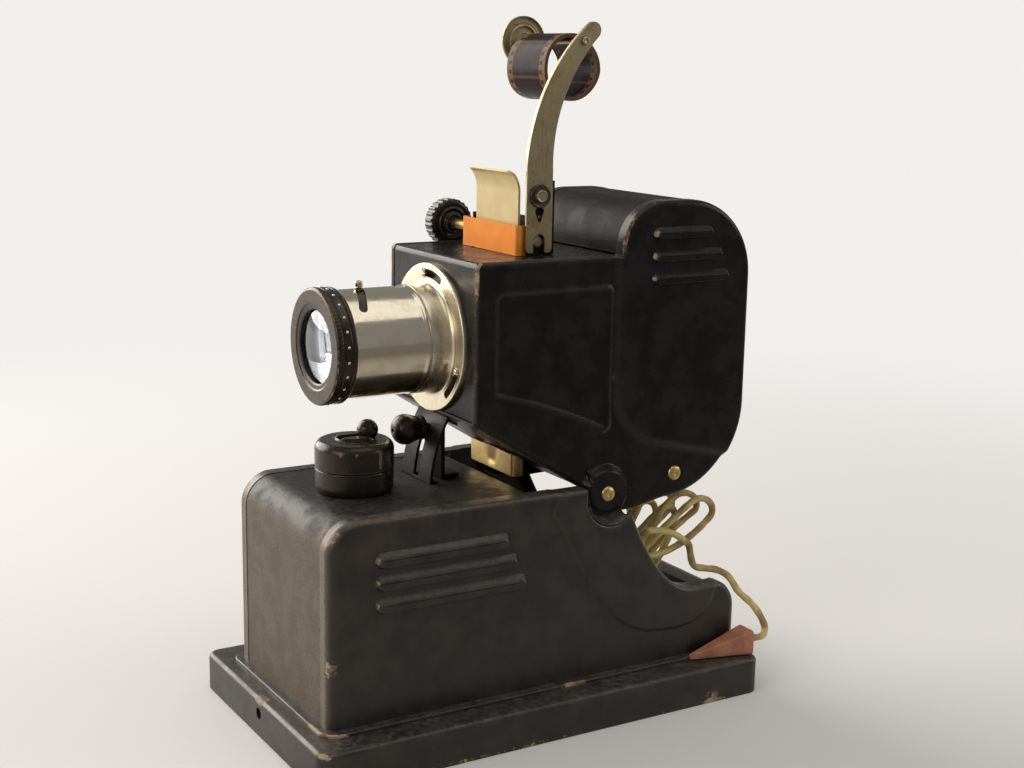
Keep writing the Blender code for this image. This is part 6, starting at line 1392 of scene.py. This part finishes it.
def makeLensMount():
    m = lens
    # The flange: P(r, a) = (r cos a, y(r), z + r sin a), cut by three arc slots that start at the screws
    edge = m["flange"] - np.array([0.0006, 0.0004, 0.0002, 0.00008, 0.0])
    r = np.concatenate([spaced([0.0262, m["flange"] - 0.0007], 0.0004), edge])
    a = np.linspace(0, 2 * math.pi, 360, endpoint=False)
    radius, angle = np.meshgrid(r, a, indexing="ij")

    def clear(along, out):
        best = np.full(along.shape, 9.0)
        for turn in m["screws"]:
            turned = wrapped(along / m["screwRing"] - math.radians(turn))
            held = np.clip(turned, -math.radians(m["slotDeg"]), 0)
            best = np.minimum(best, np.hypot((turned - held) * m["screwRing"], out - m["screwRing"]))
        return best - m["slotHalf"]

    along, radius, inside = snapped(angle * m["screwRing"], radius, clear, 0.0004)
    angle = along / m["screwRing"]
    front = np.stack([radius * np.cos(angle), m["flangeFront"] + roundedDrop(m["flange"] - radius, 0.0006),
                      m["z"] + radius * np.sin(angle)], axis=-1)
    rear = front.copy()
    rear[..., 1] = m["flangeRear"]
    quads = gridQuads(len(r), len(a), False, True, openCells(inside, True))
    flange = closedBy(front, quads, rear, {"satin": np.ones(front.shape[:2])})

    # The sleeve: P(s, a) = (r(s) cos a, y(s), z + r(s) sin a), with the slanting slot of the focus pin
    s, big = m["sleeve"], m["sleeve"] + m["beadRise"]
    fillet = [(s + 0.0004 + 0.0022 * (1 - math.cos(t)), m["flangeFront"] - 0.0001 - 0.0022
               * (1 - math.sin(t))) for t in np.linspace(0, math.pi / 2, 10)]
    line = softened([(m["bore"], m["sleeveFront"]), (s, m["sleeveFront"]), (s, m["beadY"] - 0.0014),
                     (big, m["beadY"] - 0.0006), (big, m["beadY"] + 0.0006),
                     (s + 0.0003, m["beadY"] + 0.0014), (s + 0.0004, m["beadY"] + 0.0030)],
                    [0, 0.0004, 0.0005, 0.0004, 0.0004, 0.0005, 0], 5)
    line = resampled(np.vstack([line, fillet]), 0.0006)
    out, angle = np.meshgrid(line[:, 0], np.linspace(0, 2 * math.pi, 288, endpoint=False), indexing="ij")
    y = np.broadcast_to(line[:, 1][:, None], out.shape)
    start = np.array([s * math.pi / 2, m["pinY"]])
    run = np.array([-s * math.radians(m["pinDeg"]), -m["travel"]])

    def clearPin(along, place):
        share = np.clip(((along - start[0]) * run[0] + (place - start[1]) * run[1]) / (run @ run), 0, 1)
        return np.hypot(along - start[0] - share * run[0], place - start[1] - share * run[1]) - m["pinHalf"]

    along, y, inside = snapped(angle * s, y, clearPin, 0.0005)
    angle = along / s
    outer = np.stack([out * np.cos(angle), y, m["z"] + out * np.sin(angle)], axis=-1)
    inner = np.stack([m["bore"] * np.cos(angle), y, m["z"] + m["bore"] * np.sin(angle)], axis=-1)
    quads = gridQuads(len(line), 288, False, True, openCells(inside, True))
    sleeve = closedBy(outer, quads, inner, {"satin": smooth((outer[..., 1] + 0.0472) / 0.0006)})
    spigot = lathe([(m["bore"], m["flangeRear"]), (s, m["flangeRear"]), (s, m["sleeveRear"]),
                    (m["bore"], m["sleeveRear"])], (0, m["z"]), "Y", 96, True)
    piece("lens_mount_shell", [flange, sleeve, spigot], "nickel", "lens_mount_body", ("lens_mount",), 30.0)

    for number, turn in enumerate(m["screws"], start=1):
        place = (m["screwRing"] * math.cos(math.radians(turn)), m["z"] + m["screwRing"]
                 * math.sin(math.radians(turn)))
        cap = screwHead(place, "Y", m["flangeFront"] - 0.0001, -1, 0.0026, 0.0019, 0.0004, 50 + 37 * number)
        shank = lathe([(0, -0.0350), (0.0015, -0.0350), (0.0015, -0.0303), (0, -0.0303)], place, "Y", 16)
        piece("mount_screw_head_%d" % number, [cap, shank], "nickel", "head", ("mount_screw_%d" % number,))


def makeLensTube():
    m = lens
    centre = (0, m["z"])
    tube = [(m["cell"], m["tubeFront"]), (m["tube"], m["tubeFront"]), (m["tube"], m["tubeRear"]),
            (0.0224, m["tubeRear"]), (0.0224, -0.0846), (m["cell"], -0.0846)]
    turnedPiece("lens_tube_shell", tube, centre, "Y", "iron_core", "focus_tube", ("lens_tube",), 96, True)
    # Blackened baffle rings inside, seen through the front glass
    steps = np.linspace(-0.0843, -0.0578, 25)
    teeth = np.stack([np.where(np.arange(25) % 2 == 0, 0.0200, 0.0213), steps], axis=1)
    wall = np.vstack([[(0.0221, -0.0578), (0.0221, -0.0843)], teeth])
    piece("lens_baffle", [lathe(wall, centre, "Y", 72, True)], "iron_core", "focus_tube", (), 30.0)
    front = [(0, -0.0951), *[(0.0182 * s, -0.0922 - 0.0029 * (1 - s * s)) for s in np.linspace(0.08, 1, 14)],
             (0.0182, -0.0870), (0, -0.0870)]
    rear = [(0, -0.0560), (0.0220, -0.0560),
            *[(0.0220 * s, -0.0525 + 0.0025 * (1 - s * s)) for s in np.linspace(1, 0.08, 14)], (0, -0.0500)]
    for name, node, line in (("lens_front_element", "lens_glass_front", front),
                             ("lens_rear_element", "lens_glass_rear", rear)):
        piece(name, [lathe(line, centre, "Y", 96)], "lens_glass", "focus_glasses", (node,), 30.0)
    # The ring: r(a, y) has fine ribs near its front edge and one row of round studs behind them
    ring, studY = m["ring"], -0.0892

    def knurl(a, r, y):
        outside = r > ring - 0.0009
        ribs = 0.00020 * (0.5 + 0.5 * np.cos(m["ribs"] * a)) * smooth((y + 0.0937) / 0.0003) * smooth(
            (-0.0918 - y) / 0.0004)
        groove = 0.0004 * np.exp(-((y + 0.0912) / 0.00035) ** 2) + 0.0004 * np.exp(-((y + 0.0868)
                                                                                     / 0.00035) ** 2)
        return r + np.where(outside, ribs - groove - 0.0003 * (r > ring - 0.0002), 0)

    body = np.array([(0.0247, m["ringRear"]), (0.0272, m["ringRear"]),
                     (ring - 0.0001, m["ringRear"] - 0.0008), (ring - 0.0001, -0.0940),
                     (0.0270, m["ringFront"]), (0.0208, m["ringFront"] + 0.0001), (0.0202, -0.0944),
                     (0.0181, -0.0941), (m["lip"], -0.0936), (m["lip"], -0.0931), (0.0247, -0.0931)])
    line = softened(np.vstack([body[:1] + (0, -0.001), body, body[:1] + (0, -0.001)]),
                    [0, 0.0001, 0.0006, 0.0004, 0.0005, 0.0006, 0.0003, 0.0003, 0.0004, 0.0002, 0.0002,
                     0.0001, 0])[:-1]
    line = resampled(line, 0.00028)

    def wear(r, y):
        rim = np.exp(-((r - 0.0274) / 0.0006) ** 2) * (y < -0.0935)
        return 1.1 * rim + 0.5 * np.exp(-((r - 0.0205) / 0.0005) ** 2) * (y < -0.0940)

    grip = lathe(line, centre, "Y", 480, True, wear, knurl)
    # The rub share lightens the front face: worn resin, and a painted reflection of the pale floor in front.
    face = (line[:, 1] < -0.0946) * np.clip((line[:, 0] - 0.0200) / 0.0010, 0, 1) * (line[:, 0] < 0.0271)
    grip[2]["rub"] = np.broadcast_to(face[:, None], grip[2]["wear"].shape)
    piece("focus_ring_grip", [grip], "bakelite", "focus_tube", ("focus_ring",), 30.0)
    studs = []
    for k in range(m["studs"]):
        a = 2 * math.pi * (k + 0.5) / m["studs"]
        facing = np.array([math.cos(a), 0, math.sin(a)])
        across = np.array([-math.sin(a), 0, math.cos(a)])
        rise, turn = np.meshgrid(np.linspace(0, math.pi / 2, 5), np.linspace(0, 2 * math.pi, 12,
                                                                             endpoint=False), indexing="ij")
        out = 0.00075 * np.cos(rise)
        dome = ((ring - 0.0005 + 0.0006 * np.sin(rise))[..., None] * facing + (out * np.cos(turn))[..., None]
                * across + np.array([0, studY, m["z"]]))
        dome[..., 1] += out * np.sin(turn)
        studs.append((dome, gridQuads(5, 12, False, True), {}))
    piece("focus_ring_studs", studs, "nickel", "focus_tube", (), 60.0)
    pin = [(0, m["z"] + 0.0245), (0.0011, m["z"] + 0.0245), (0.0011, m["z"] + 0.0263),
           (0.0019, m["z"] + 0.0265), (0.0019, m["z"] + 0.0296), (0, m["z"] + 0.0300)]
    turnedPiece("focus_pin_knob", pin, (0, m["pinY"]), "Z", "nickel", "focus_tube", ("focus_pin",), 40, False,
                0.0004)


makeLensMount()
makeLensTube()
print("lens made")


# Switch

switch = {"y": -0.0740, "radius": 0.0191, "low": 0.1173, "seam": 0.1288, "top": 0.1421, "boss": 0.0095,
          "bossRise": 0.0018, "slotX": 0.0025, "slotY": 0.0088, "pivotZ": 0.1346, "ball": 0.0052,
          "reach": 0.0132, "leanDeg": 32.0, "drum": 0.0078, "drumHalf": 0.0023}


def makeSwitch():
    w = switch
    centre = (0, w["y"])
    body = [(0, w["low"]), (w["radius"] - 0.0010, w["low"]), (w["radius"] - 0.0002, w["low"] + 0.0022),
            (w["radius"] - 0.0002, w["seam"]), (0.0050, w["seam"]), (0.0050, 0.1310), (0, 0.1310)]
    turnedPiece("switch_base_body", body, centre, "Z", "bakelite", "base", ("switch_base",), 120, False,
                0.0009)
    # The cap: P(r, a) from the middle out over a rounded rim and down, with the lever's slot cut through
    line = softened([(0.0, w["top"] + w["bossRise"]), (w["boss"] - 0.0016, w["top"] + w["bossRise"]),
                     (w["boss"], w["top"] + 0.0003), (w["boss"] + 0.0012, w["top"]),
                     (w["radius"] - 0.0022, w["top"]), (w["radius"], w["top"] - 0.0026),
                     (w["radius"], w["seam"] + 0.0003)], [0, 0.0006, 0.0006, 0.0008, 0.0014, 0.0022, 0], 8)
    line = resampled(line, 0.0005)
    r, a = np.meshgrid(line[:, 0], np.linspace(0, 2 * math.pi, 240, endpoint=False), indexing="ij")
    z = np.broadcast_to(line[:, 1][:, None], r.shape)

    def clear(x, y):
        dx, dy = np.abs(x) - w["slotX"] + 0.001, np.abs(y - w["y"]) - w["slotY"] + 0.001
        return np.hypot(np.maximum(dx, 0), np.maximum(dy, 0)) + np.minimum(np.maximum(dx, dy), 0) - 0.001

    x, y = r * np.cos(a), w["y"] + r * np.sin(a)
    flat = z > w["top"] - 0.0005
    movedX, movedY, inside = snapped(x, y, clear, 0.0005)
    inside = inside & flat
    x, y = np.where(flat, movedX, x), np.where(flat, movedY, y)
    points = np.stack([x, y, z], axis=-1)
    quads = gridQuads(len(line), 240, False, True, openCells(inside, True))
    across = np.minimum(np.hypot(x - 0.0195, y + 0.0668), np.hypot(x - 0.0190, y + 0.0690))
    streak = 2.6 * np.exp(-(across / 0.0011) ** 2) * smooth((z - 0.1300) / 0.0015) * smooth((0.1400 - z)
                                                                                            / 0.0015)
    worn = streak + 1.9 * spot(points, (0.0135, -0.0875, 0.1385), 0.0013) + 1.7 * spot(
        points, (0.0178, -0.0810, 0.1385), 0.0011) + 0.35 * np.exp(-((z - w["top"] + 0.0010) / 0.0009) ** 2)
    # Painted highlight along the top of the boss through the rub share, which also lightens a thin line at
    # the seam.
    rub = 0.7 * np.exp(-((z - w["top"] - w["bossRise"]) / 0.0004) ** 2) + 0.5 * np.exp(-((z - w["seam"]
                                                                                          - 0.0004)
                                                                                         / 0.0005) ** 2)
    cap = walled(points, quads, -0.0014, {"wear": worn, "rub": rub})
    piece("switch_cap_shell", [cap], "bakelite", "base", ("switch_cap",), 30.0)

    lever = [(0.0, -0.0030), *arcLine((0, 0), 0.0030, -80, 35, 8), (0.0019, 0.0034),
             (0.0018, w["reach"] - 0.0056), *arcLine((0, w["reach"]), w["ball"], -66, 84, 20),
             (0.0, w["reach"] + w["ball"])]
    stem = lathe(lever, (0, 0), "Z", 56)
    # A drum round the pivot closes the cap's slot from below
    half, radius = w["drumHalf"], w["drum"]
    drum = lathe([(0, -half), (radius, -half), (radius, half), (0, half)], (0, 0), "X", 64)
    lean = math.radians(w["leanDeg"])
    turn = np.array([[1, 0, 0], [0, math.cos(lean), math.sin(lean)], [0, -math.sin(lean), math.cos(lean)]])
    pivot = np.array([0, w["y"], w["pivotZ"]])
    parts = [(part[0].reshape(-1, 3) @ turn.T + pivot, part[1], part[2]) for part in (stem, drum)]
    piece("switch_lever_knob", parts, "bakelite", "switch_toggle", ("switch_lever",), 50.0)


makeSwitch()

# Clamp

clamp = {"x": -0.0050, "z": 0.1425, "front": -0.0510, "rear": -0.0345, "dome": 0.0076, "seat": 0.0060}


def makeClamp():
    c = clamp
    centre = (c["x"], c["z"])
    share = np.sin(np.linspace(0.04, 0.5, 12) * math.pi)
    domeEnd = c["front"] + 0.0066
    knob = [*[(c["dome"] * k, domeEnd - 0.0066 * math.sqrt(1 - k ** 2.3)) for k in share],
            (c["dome"], domeEnd + 0.0008), (0.0068, domeEnd + 0.0036), (0.0058, domeEnd + 0.0068),
            (c["seat"], c["rear"] - 0.0010), (c["seat"], c["rear"]), (0.0023, c["rear"])]
    turnedPiece("clamp_knob_grip", knob, centre, "Y", "bakelite", "clamp", ("clamp_knob",), 72, True, 0.0004)
    shank = [(0, -0.0490), (0.0022, -0.0490), (0.0022, -0.0340), (0.0020, -0.0340), (0.0020, -0.0226),
             (0, -0.0222)]
    turnedPiece("clamp_screw_body", shank, centre, "Y", "brass", "clamp", ("clamp_screw",), 32, False, 0.0003)


makeClamp()
# Painted shade: these brackets and the strip take the shaded enamel, black enamel made darker and duller for
# the shade they sit in.
for node, look, body in (("clamp_bracket", "shaded_enamel", "base"), ("tilt_strip", "shaded_enamel", "head"),
                         ("gate_bracket", "shaded_enamel", "head"), ("lamp_carrier", "steel", "head")):
    fromFrame(node + "_edged", node, look, body)
print("switch and clamp made")


# Gate

gate = {"y": 0.0036, "low": 0.1460, "top": 0.2625, "half": 0.0201, "aside": 0.00165, "reach": 0.0058,
        "rise": 0.0075, "corner": 0.0030, "window": (0.0120, 0.1795, 0.1975), "coverY": 0.0002,
        "coverHalf": 0.0260, "coverLow": 0.2296, "coverHeight": 0.0144, "coverReturn": 0.0036}


def makeGate():
    g = gate
    # The cream plate: P(s, x) along a line that curls forward at its lip, its two top corners rounded
    wide, low, high = g["window"]
    line = softened([(g["y"], g["low"]), (g["y"], low), (g["y"], high), (g["y"], g["top"]),
                     (g["y"] - g["reach"] / 2, g["top"] + g["rise"] * 0.75),
                     (g["y"] - g["reach"], g["top"] + g["rise"])], [0, 0, 0, 0.0045, 0.0024, 0], 10)
    line = resampled(line, 0.0012)
    end = walk(line)[-1] - walk(line)
    line = np.vstack([line[end > 0.0049], np.stack([np.interp(np.linspace(0.0048, 0, 14), end[::-1],
                                                              line[::-1, k]) for k in range(2)], axis=1)])
    end = walk(line)[-1] - walk(line)
    half = g["half"] - roundedDrop(end, g["corner"])
    columns = np.unique(np.concatenate([np.linspace(-1, 1, 31), np.array([-wide, wide]) / g["half"]]))
    x = g["aside"] + columns[None] * half[:, None]
    points = np.stack([x, *(np.broadcast_to(line[:, k][:, None], x.shape) for k in range(2))], axis=-1)
    middle = (points[1:, 1:] + points[:-1, :-1]) / 2
    keep = ~((np.abs(middle[..., 0] - g["aside"]) < wide) & (middle[..., 2] > low) & (middle[..., 2] < high))
    edge = np.maximum(np.exp(-end / 0.0010)[:, None], np.exp(-(half[:, None] - np.abs(x - g["aside"]))
                                                             / 0.0006))
    sheet = walled(points, gridQuads(len(line), len(columns), keep=keep), -shared["sheet"],
                   {"wear": 0.5 * edge})
    piece("gate_plate_sheet", [sheet], "cream_plate", "head", ("gate_plate",), 40.0)

    # The cover: a strip bent back at both ends, P(s, z)
    half, y = g["coverHalf"], g["coverY"]
    line = softened([(-half, y + g["coverReturn"]), (-half, y), (half, y), (half, y + g["coverReturn"])],
                    [0, 0.0011, 0.0011, 0], 8)
    line = resampled(line, 0.0016)
    z = np.array([0, 0.0002, 0.0006, *np.linspace(0.0012, g["coverHeight"] - 0.0012, 14), g["coverHeight"]
                  - 0.0006, g["coverHeight"] - 0.0002, g["coverHeight"]]) + g["coverLow"]
    points = np.zeros((len(line), len(z), 3))
    points[..., 0] = line[:, 0][:, None]
    points[..., 1] = line[:, 1][:, None]
    points[..., 2] = z[None]
    edge = np.minimum(z - z[0], z[-1] - z)[None] * np.ones(len(line))[:, None]
    # The rub share turns the front face brown along its two bends.
    bend = np.exp(-((half - np.abs(line[:, 0]) - 0.0004) / 0.0006) ** 2)[:, None] * (line[:, 1] < y
                                                                                     + 0.0006)[:, None]
    # Painted shade: the shade share darkens the returns that turn back behind the front face.
    shade = np.broadcast_to(smooth((line[:, 1] - y - 0.0006) / 0.0010)[:, None], edge.shape)
    sheet = walled(points, gridQuads(len(line), len(z)), shared["sheet"],
                   {"wear": 0.5 * np.exp(-edge / 0.0005), "rub": 0.9 * bend + 0 * edge, "shade": shade})
    piece("gate_cover_sheet", [sheet], "orange_enamel", "head", ("gate_cover",), 40.0)


chute = {"low": 0.1193, "high": 0.1330, "y": 0.0024, "left": -0.0190, "right": 0.0225, "return": 0.0042,
         "middle": 0.0020, "dip": 0.0007, "clear": 0.0012, "rows": 22}


def makeChute():
    # The brass guide under the gate: P(s, z) along a line across, with a return at each end and a channel
    c = chute
    back = c["y"] + c["return"]
    line = softened([(c["left"], back), (c["left"], c["y"]), (c["right"], c["y"]), (c["right"], back)],
                    [0, 0.0012, 0.0016, 0], 8)
    line = resampled(line, 0.0010)
    top = np.minimum(c["high"], headLow(line[:, 1]) - c["clear"])
    z = c["low"] + np.linspace(0, 1, c["rows"])[None] * (top[:, None] - c["low"])
    x, y = (np.broadcast_to(line[:, k][:, None], z.shape) for k in range(2))
    width = 0.0032 + 0.30 * (z - 0.1210)
    dip = np.exp(-((x - c["middle"]) / np.maximum(width, 0.0012)) ** 4) * smooth((z - 0.1200) / 0.0040)
    points = np.stack([x, y + c["dip"] * dip, z], axis=-1)
    # Painted shade: the stain share follows the channel's dip and darkens the brass there.
    sheet = walled(points, gridQuads(len(line), c["rows"]), shared["sheet"], {"stain": dip})
    piece("film_chute_sheet", [sheet], "stained_brass", "head", ("film_chute",), 40.0)


makeGate()
makeChute()

# Film drive

drive = {"y": 0.0100, "z": 0.2373, "shaft": 0.0025, "near": 0.0264, "far": -0.0655, "knob": 0.0124,
         "knobNear": -0.0560, "knobFar": -0.0660, "flutes": 24, "flute": 0.0010, "hub": 0.0050}


def makeDrive():
    d = drive
    axis = (d["y"], d["z"])
    shaft = [(0, d["far"]), (d["shaft"], d["far"]), (d["shaft"], d["near"]), (0, d["near"])]
    turnedPiece("drive_shaft_rod", shaft, axis, "X", "brass", "film_drive", ("drive_shaft",), 40, False,
                0.0004)
    roller = [(0.0028, -0.0175), (0.0043, -0.0175), (0.0043, -0.0115), (0.0036, -0.0115), (0.0036, 0.0115),
              (0.0043, 0.0115), (0.0043, 0.0175), (0.0028, 0.0175)]
    turnedPiece("drive_roller_body", roller, axis, "X", "steel", "film_drive", ("drive_roller",), 48, True,
                0.0004)
    n, f = d["knobNear"], d["knobFar"]
    profile = [(0.0028, n + 0.0018), (0.0044, n + 0.0020), (d["hub"], n + 0.0014), (d["hub"], n + 0.0004),
               (0.0058, n - 0.0003), (0.0070, n + 0.0002), (0.0076, n + 0.0002), (0.0082, n - 0.0006),
               (0.0098, n - 0.0006), (0.0108, n - 0.0008), (d["knob"], n - 0.0020), (d["knob"], f + 0.0014),
               (0.0108, f + 0.0002), (0.0090, f), (0.0080, f + 0.0008), (0.0040, f + 0.0010),
               (0.0028, f + 0.0010)]

    def flutes(a, r, _):
        # Each flute is a round scoop along the rim
        away = np.abs(wrapped(d["flutes"] * a) / d["flutes"] * d["knob"])
        depth = np.sqrt(np.maximum(d["flute"] ** 2 - away ** 2, 0)) * 0.6
        return np.minimum(r, d["knob"] - depth + 4 * np.maximum(0.0112 - r, 0))

    def wear(r, _):
        return 0.45 * np.exp(-((r - 0.0112) / 0.0006) ** 2)

    turnedPiece("film_knob_grip", profile, axis, "X", "bakelite", "film_drive", ("film_knob",), 336, True,
                0.0004, wear, flutes)


makeDrive()

# Reel arm, its rivet, the axle, the disc and the roll of film

arm = {"x": 0.0270, "sheet": 0.0015, "y": 0.0104, "low": 0.2306, "pivotZ": 0.2580, "bendZ": 0.2700,
       "bend": 0.0900, "tipDeg": 47.0, "axleDeg": 42.5, "width": 0.0146, "tipWidth": 0.0082,
       "notchHalf": 0.0033, "notchTop": 0.0060, "slotTop": 0.0199, "slotLow": 0.0159, "corner": 0.0022,
       "rim": 0.0011, "axle": 0.0015}
roll = {"centre": (0.034045, 0.318303), "radius": 0.0165, "wall": 0.0021, "halfX": 0.0175, "layers": 13}


def armPlace(s, across):
    # A place by its distance s along the arm's middle line and by its distance across it
    m = arm
    straight = m["bendZ"] - m["low"]
    full = math.radians(m["tipDeg"])
    turn = np.clip((s - straight) / m["bend"], 0, full)
    past = np.maximum(s - straight - m["bend"] * full, 0)
    y = m["y"] + m["bend"] * (1 - np.cos(turn)) + past * np.sin(turn) + across * np.cos(turn)
    z = m["low"] + np.minimum(s, straight) + m["bend"] * np.sin(turn) + past * np.cos(turn)
    z = z - across * np.sin(turn)
    return y, z


def makeArm():
    m = arm
    straight = m["bendZ"] - m["low"]
    length = straight + m["bend"] * math.radians(m["tipDeg"])
    tip = m["tipWidth"] / 2
    s = np.concatenate([[0, 0.0001, 0.0003, 0.0006], spaced([0.0009, straight, length], 0.0006),
                        length + tip * np.sin(np.linspace(0.08, 1, 12) * math.pi / 2)])
    share = np.clip((s - straight) / (length - straight), 0, 1)
    half = (m["width"] + share * (m["tipWidth"] - m["width"])) / 2 - roundedDrop(s, m["corner"])
    half = np.where(s > length, np.sqrt(np.maximum(tip ** 2 - (s - length) ** 2, 0)), half)
    t = np.concatenate([[-1, -0.985, -0.96, -0.93], np.linspace(-0.89, 0.89, 35), [0.93, 0.96, 0.985, 1]])
    across = t[None] * half[:, None]
    along = np.broadcast_to(s[:, None], across.shape)

    def clear(q, p):
        notch = np.hypot(q, p - np.clip(p, -0.02, m["notchTop"])) - m["notchHalf"]
        part = np.clip((p - m["slotLow"]) / (m["slotTop"] - m["slotLow"]), 0, 1)
        slot = np.hypot(q, p - m["slotLow"] - part * (m["slotTop"] - m["slotLow"])) - (0.0010 + 0.0015 * part)
        return np.minimum(notch, slot)

    across, along, inside = snapped(across, along, clear, 0.0005)
    along = np.maximum(along, 0)
    y, z = armPlace(along, across)
    drop = roundedDrop(np.minimum(half[:, None] - np.abs(across), np.maximum(along, 0)), 0.0003)
    outer = np.stack([m["x"] + m["sheet"] - drop, y, z], axis=-1)
    # Above its pivot the front edge is rolled back into a thicker rim
    rim = m["rim"] * smooth((along - 0.0415) / 0.006) * smooth((-across - half[:, None] + 0.0030) / 0.0012)
    inner = np.stack([m["x"] + drop - rim, y, z], axis=-1)
    quads = gridQuads(len(s), len(t), keep=openCells(inside))
    edge = 0.5 * np.exp(-(half[:, None] - np.abs(across)) / 0.0006)
    plate = closedBy(outer, quads, inner, {"wear": edge})
    piece("reel_arm_plate", [plate], "aged_nickel", "reel_arm_body", ("reel_arm",), 40.0)

    seat = m["x"] + m["sheet"] + 0.0003
    centre = (m["y"], m["pivotZ"])
    rivet = [(0, 0.0250), (0.0020, 0.0250), (0.0020, seat), (0.0034, seat), (0.0031, seat + 0.0010),
             (0.0030, seat + 0.0019), (0.0026, seat + 0.0023), (0.0021, seat + 0.0021), (0, seat + 0.0021)]
    turnedPiece("arm_rivet_head", rivet, centre, "X", "aged_nickel", "head", ("arm_rivet",), 72, False,
                0.00025)
    washer = [(0.0029, seat), (0.0056, seat), (0.0057, seat + 0.0004), (0.0053, seat + 0.0008),
              (0.0044, seat + 0.0003), (0.0029, seat + 0.0003)]
    turnedPiece("arm_rivet_washer", washer, centre, "X", "dark_steel", "head", (), 72, True, 0.0002)
    for name, along, across, size in (("arm_stop_stud", 0.0052, 0.0004, 0.0027),
                                      ("arm_slot_stud", 0.0172, 0.0010, 0.0009)):
        y, z = armPlace(np.array(along), np.array(across))
        piece(name, [screwHead((float(y), float(z)), "X", 0.02655, 1, size, 0.0004, 0.0002, 20.0)],
              "aged_nickel", "head")

    y, z = armPlace(np.array(straight + m["bend"] * math.radians(m["axleDeg"])), np.array(0.0))
    centre = (float(y), float(z))
    axle = [(0, -0.0305), (m["axle"], -0.0305), (m["axle"], seat), (0.0021, seat), (0.0021, seat + 0.0005),
            (0.0016, seat + 0.0010), (0.0009, seat + 0.0009), (0, seat + 0.0005)]
    turnedPiece("reel_axle_rod", axle, centre, "X", "aged_nickel", "reel_arm_body", ("reel_axle",), 36, False,
                0.00025)
    x = -0.0290
    disc = [(0.0018, x), (0.0112, x), (0.0125, x + 0.0004), (0.0125, x + 0.0018), (0.0119, x + 0.0018),
            (0.0114, x + 0.0011), (0.0096, x + 0.0010), (0.0093, x + 0.0012), (0.0090, x + 0.0010),
            (0.0083, x + 0.0010), (0.0075, x + 0.0018), (0.0068, x + 0.0010), (0.0046, x + 0.0010),
            (0.0043, x + 0.0012), (0.0040, x + 0.0010), (0.0018, x + 0.0010)]
    turnedPiece("spool_disc_plate", disc, centre, "X", "aged_nickel", "reel_arm_body", ("spool_disc",), 96,
                True, 0.0003)


def makeRoll():
    # P(k, a) round the coil's section, whose ends show the edges of the wound layers
    big, wall, halfX = roll["radius"], roll["wall"], roll["halfX"]
    middle, layers = roll["centre"], np.arange(roll["layers"])
    end = np.stack([big - wall + layers / layers[-1] * wall, halfX - 0.00016 * (layers % 2)], axis=1)
    side = np.linspace(1, -1, 29)[1:-1, None] * (0, halfX - 0.0001) + (big, 0)
    hole = np.linspace(-1, 1, 9)[1:-1, None] * (0, halfX - 0.0001) + (big - wall, 0)
    line = np.vstack([end, side, end[::-1] * (1, -1), hole])
    turn = np.linspace(0, 2 * math.pi, 180, endpoint=False)
    r, a = np.meshgrid(line[:, 0], turn, indexing="ij")
    flat = 0.00028 * np.cos(3 * a + 0.6) + 0.00012 * np.cos(5 * a)
    r = r + (flat - 0.0004) * (r > big - wall + 0.0001) + 0.00012 * (a / (2 * math.pi) - 0.5)
    x = np.broadcast_to(line[:, 1][:, None], r.shape)
    points = np.stack([x, middle[0] + r * np.cos(a), middle[1] + r * np.sin(a)], axis=-1)
    piece("film_roll_coil", [(points, gridQuads(len(line), 180, True, True),
                              {"across": x, "along": a * big})], "film", "film_coil", ("film_roll",), 30.0)


makeArm()
makeRoll()
print("gate, drive, arm and roll made")


# Screws on the cheeks, the cord's bush and small fixings

def makeFixings():
    hinge, carrier = head["hinge"], (0.0844, 0.1164)
    for word, side in (("right", 1), ("left", -1)):
        for name, centre, seat, body in (("hinge_screw_", hinge, 0.0493, "base"),
                                         ("carrier_screw_", carrier, 0.0443, "head")):
            inner = abs(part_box(name + word)[0 if side > 0 else 1][0])
            profile = [(0, side * inner), (0.0020, side * inner), (0.0020, side * seat),
                       (0.0040, side * seat), (0.0041, side * (seat + 0.0006)),
                       (0.0034, side * (seat + 0.0017)), (0.0020, side * (seat + 0.0022)),
                       (0.0012, side * (seat + 0.0021)), (0, side * (seat + 0.0016))]
            turnedPiece(name + "head_" + word, profile, centre, "X", "brass", body, (name + word,), 48, False,
                        0.0004)
    bush = [(0, -0.0067), (0.0045, -0.0067), (0.0045, -0.0040), (0.0065, -0.0040), (0.0065, -0.0020),
            (0.0044, -0.0018)]
    steps = np.linspace(-0.0016, 0.0150, 19)
    for k, y in enumerate(steps):
        bush.append((0.0043 - 0.0012 * k / 18 - 0.0004 * (k % 2), y))
    bush += [(0.0029, 0.0154), (0, 0.0154)]
    low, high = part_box("cord_bush")
    bush = [(r, low[1] + (y + 0.0067) / 0.0221 * (high[1] - low[1])) for r, y in bush]
    turnedPiece("cord_bush_sleeve", bush, (0.0306, 0.0500), "Y", "bakelite", "base", ("cord_bush",), 48,
                False, 0.0003)
    piece("head_top_screw", [screwHead((-0.0152, -0.0012), "Z", 0.2289, 1, 0.0022, 0.0010, 0.0006, 20.0)],
          "black_enamel", "head")


makeFixings()
print("fixings made")
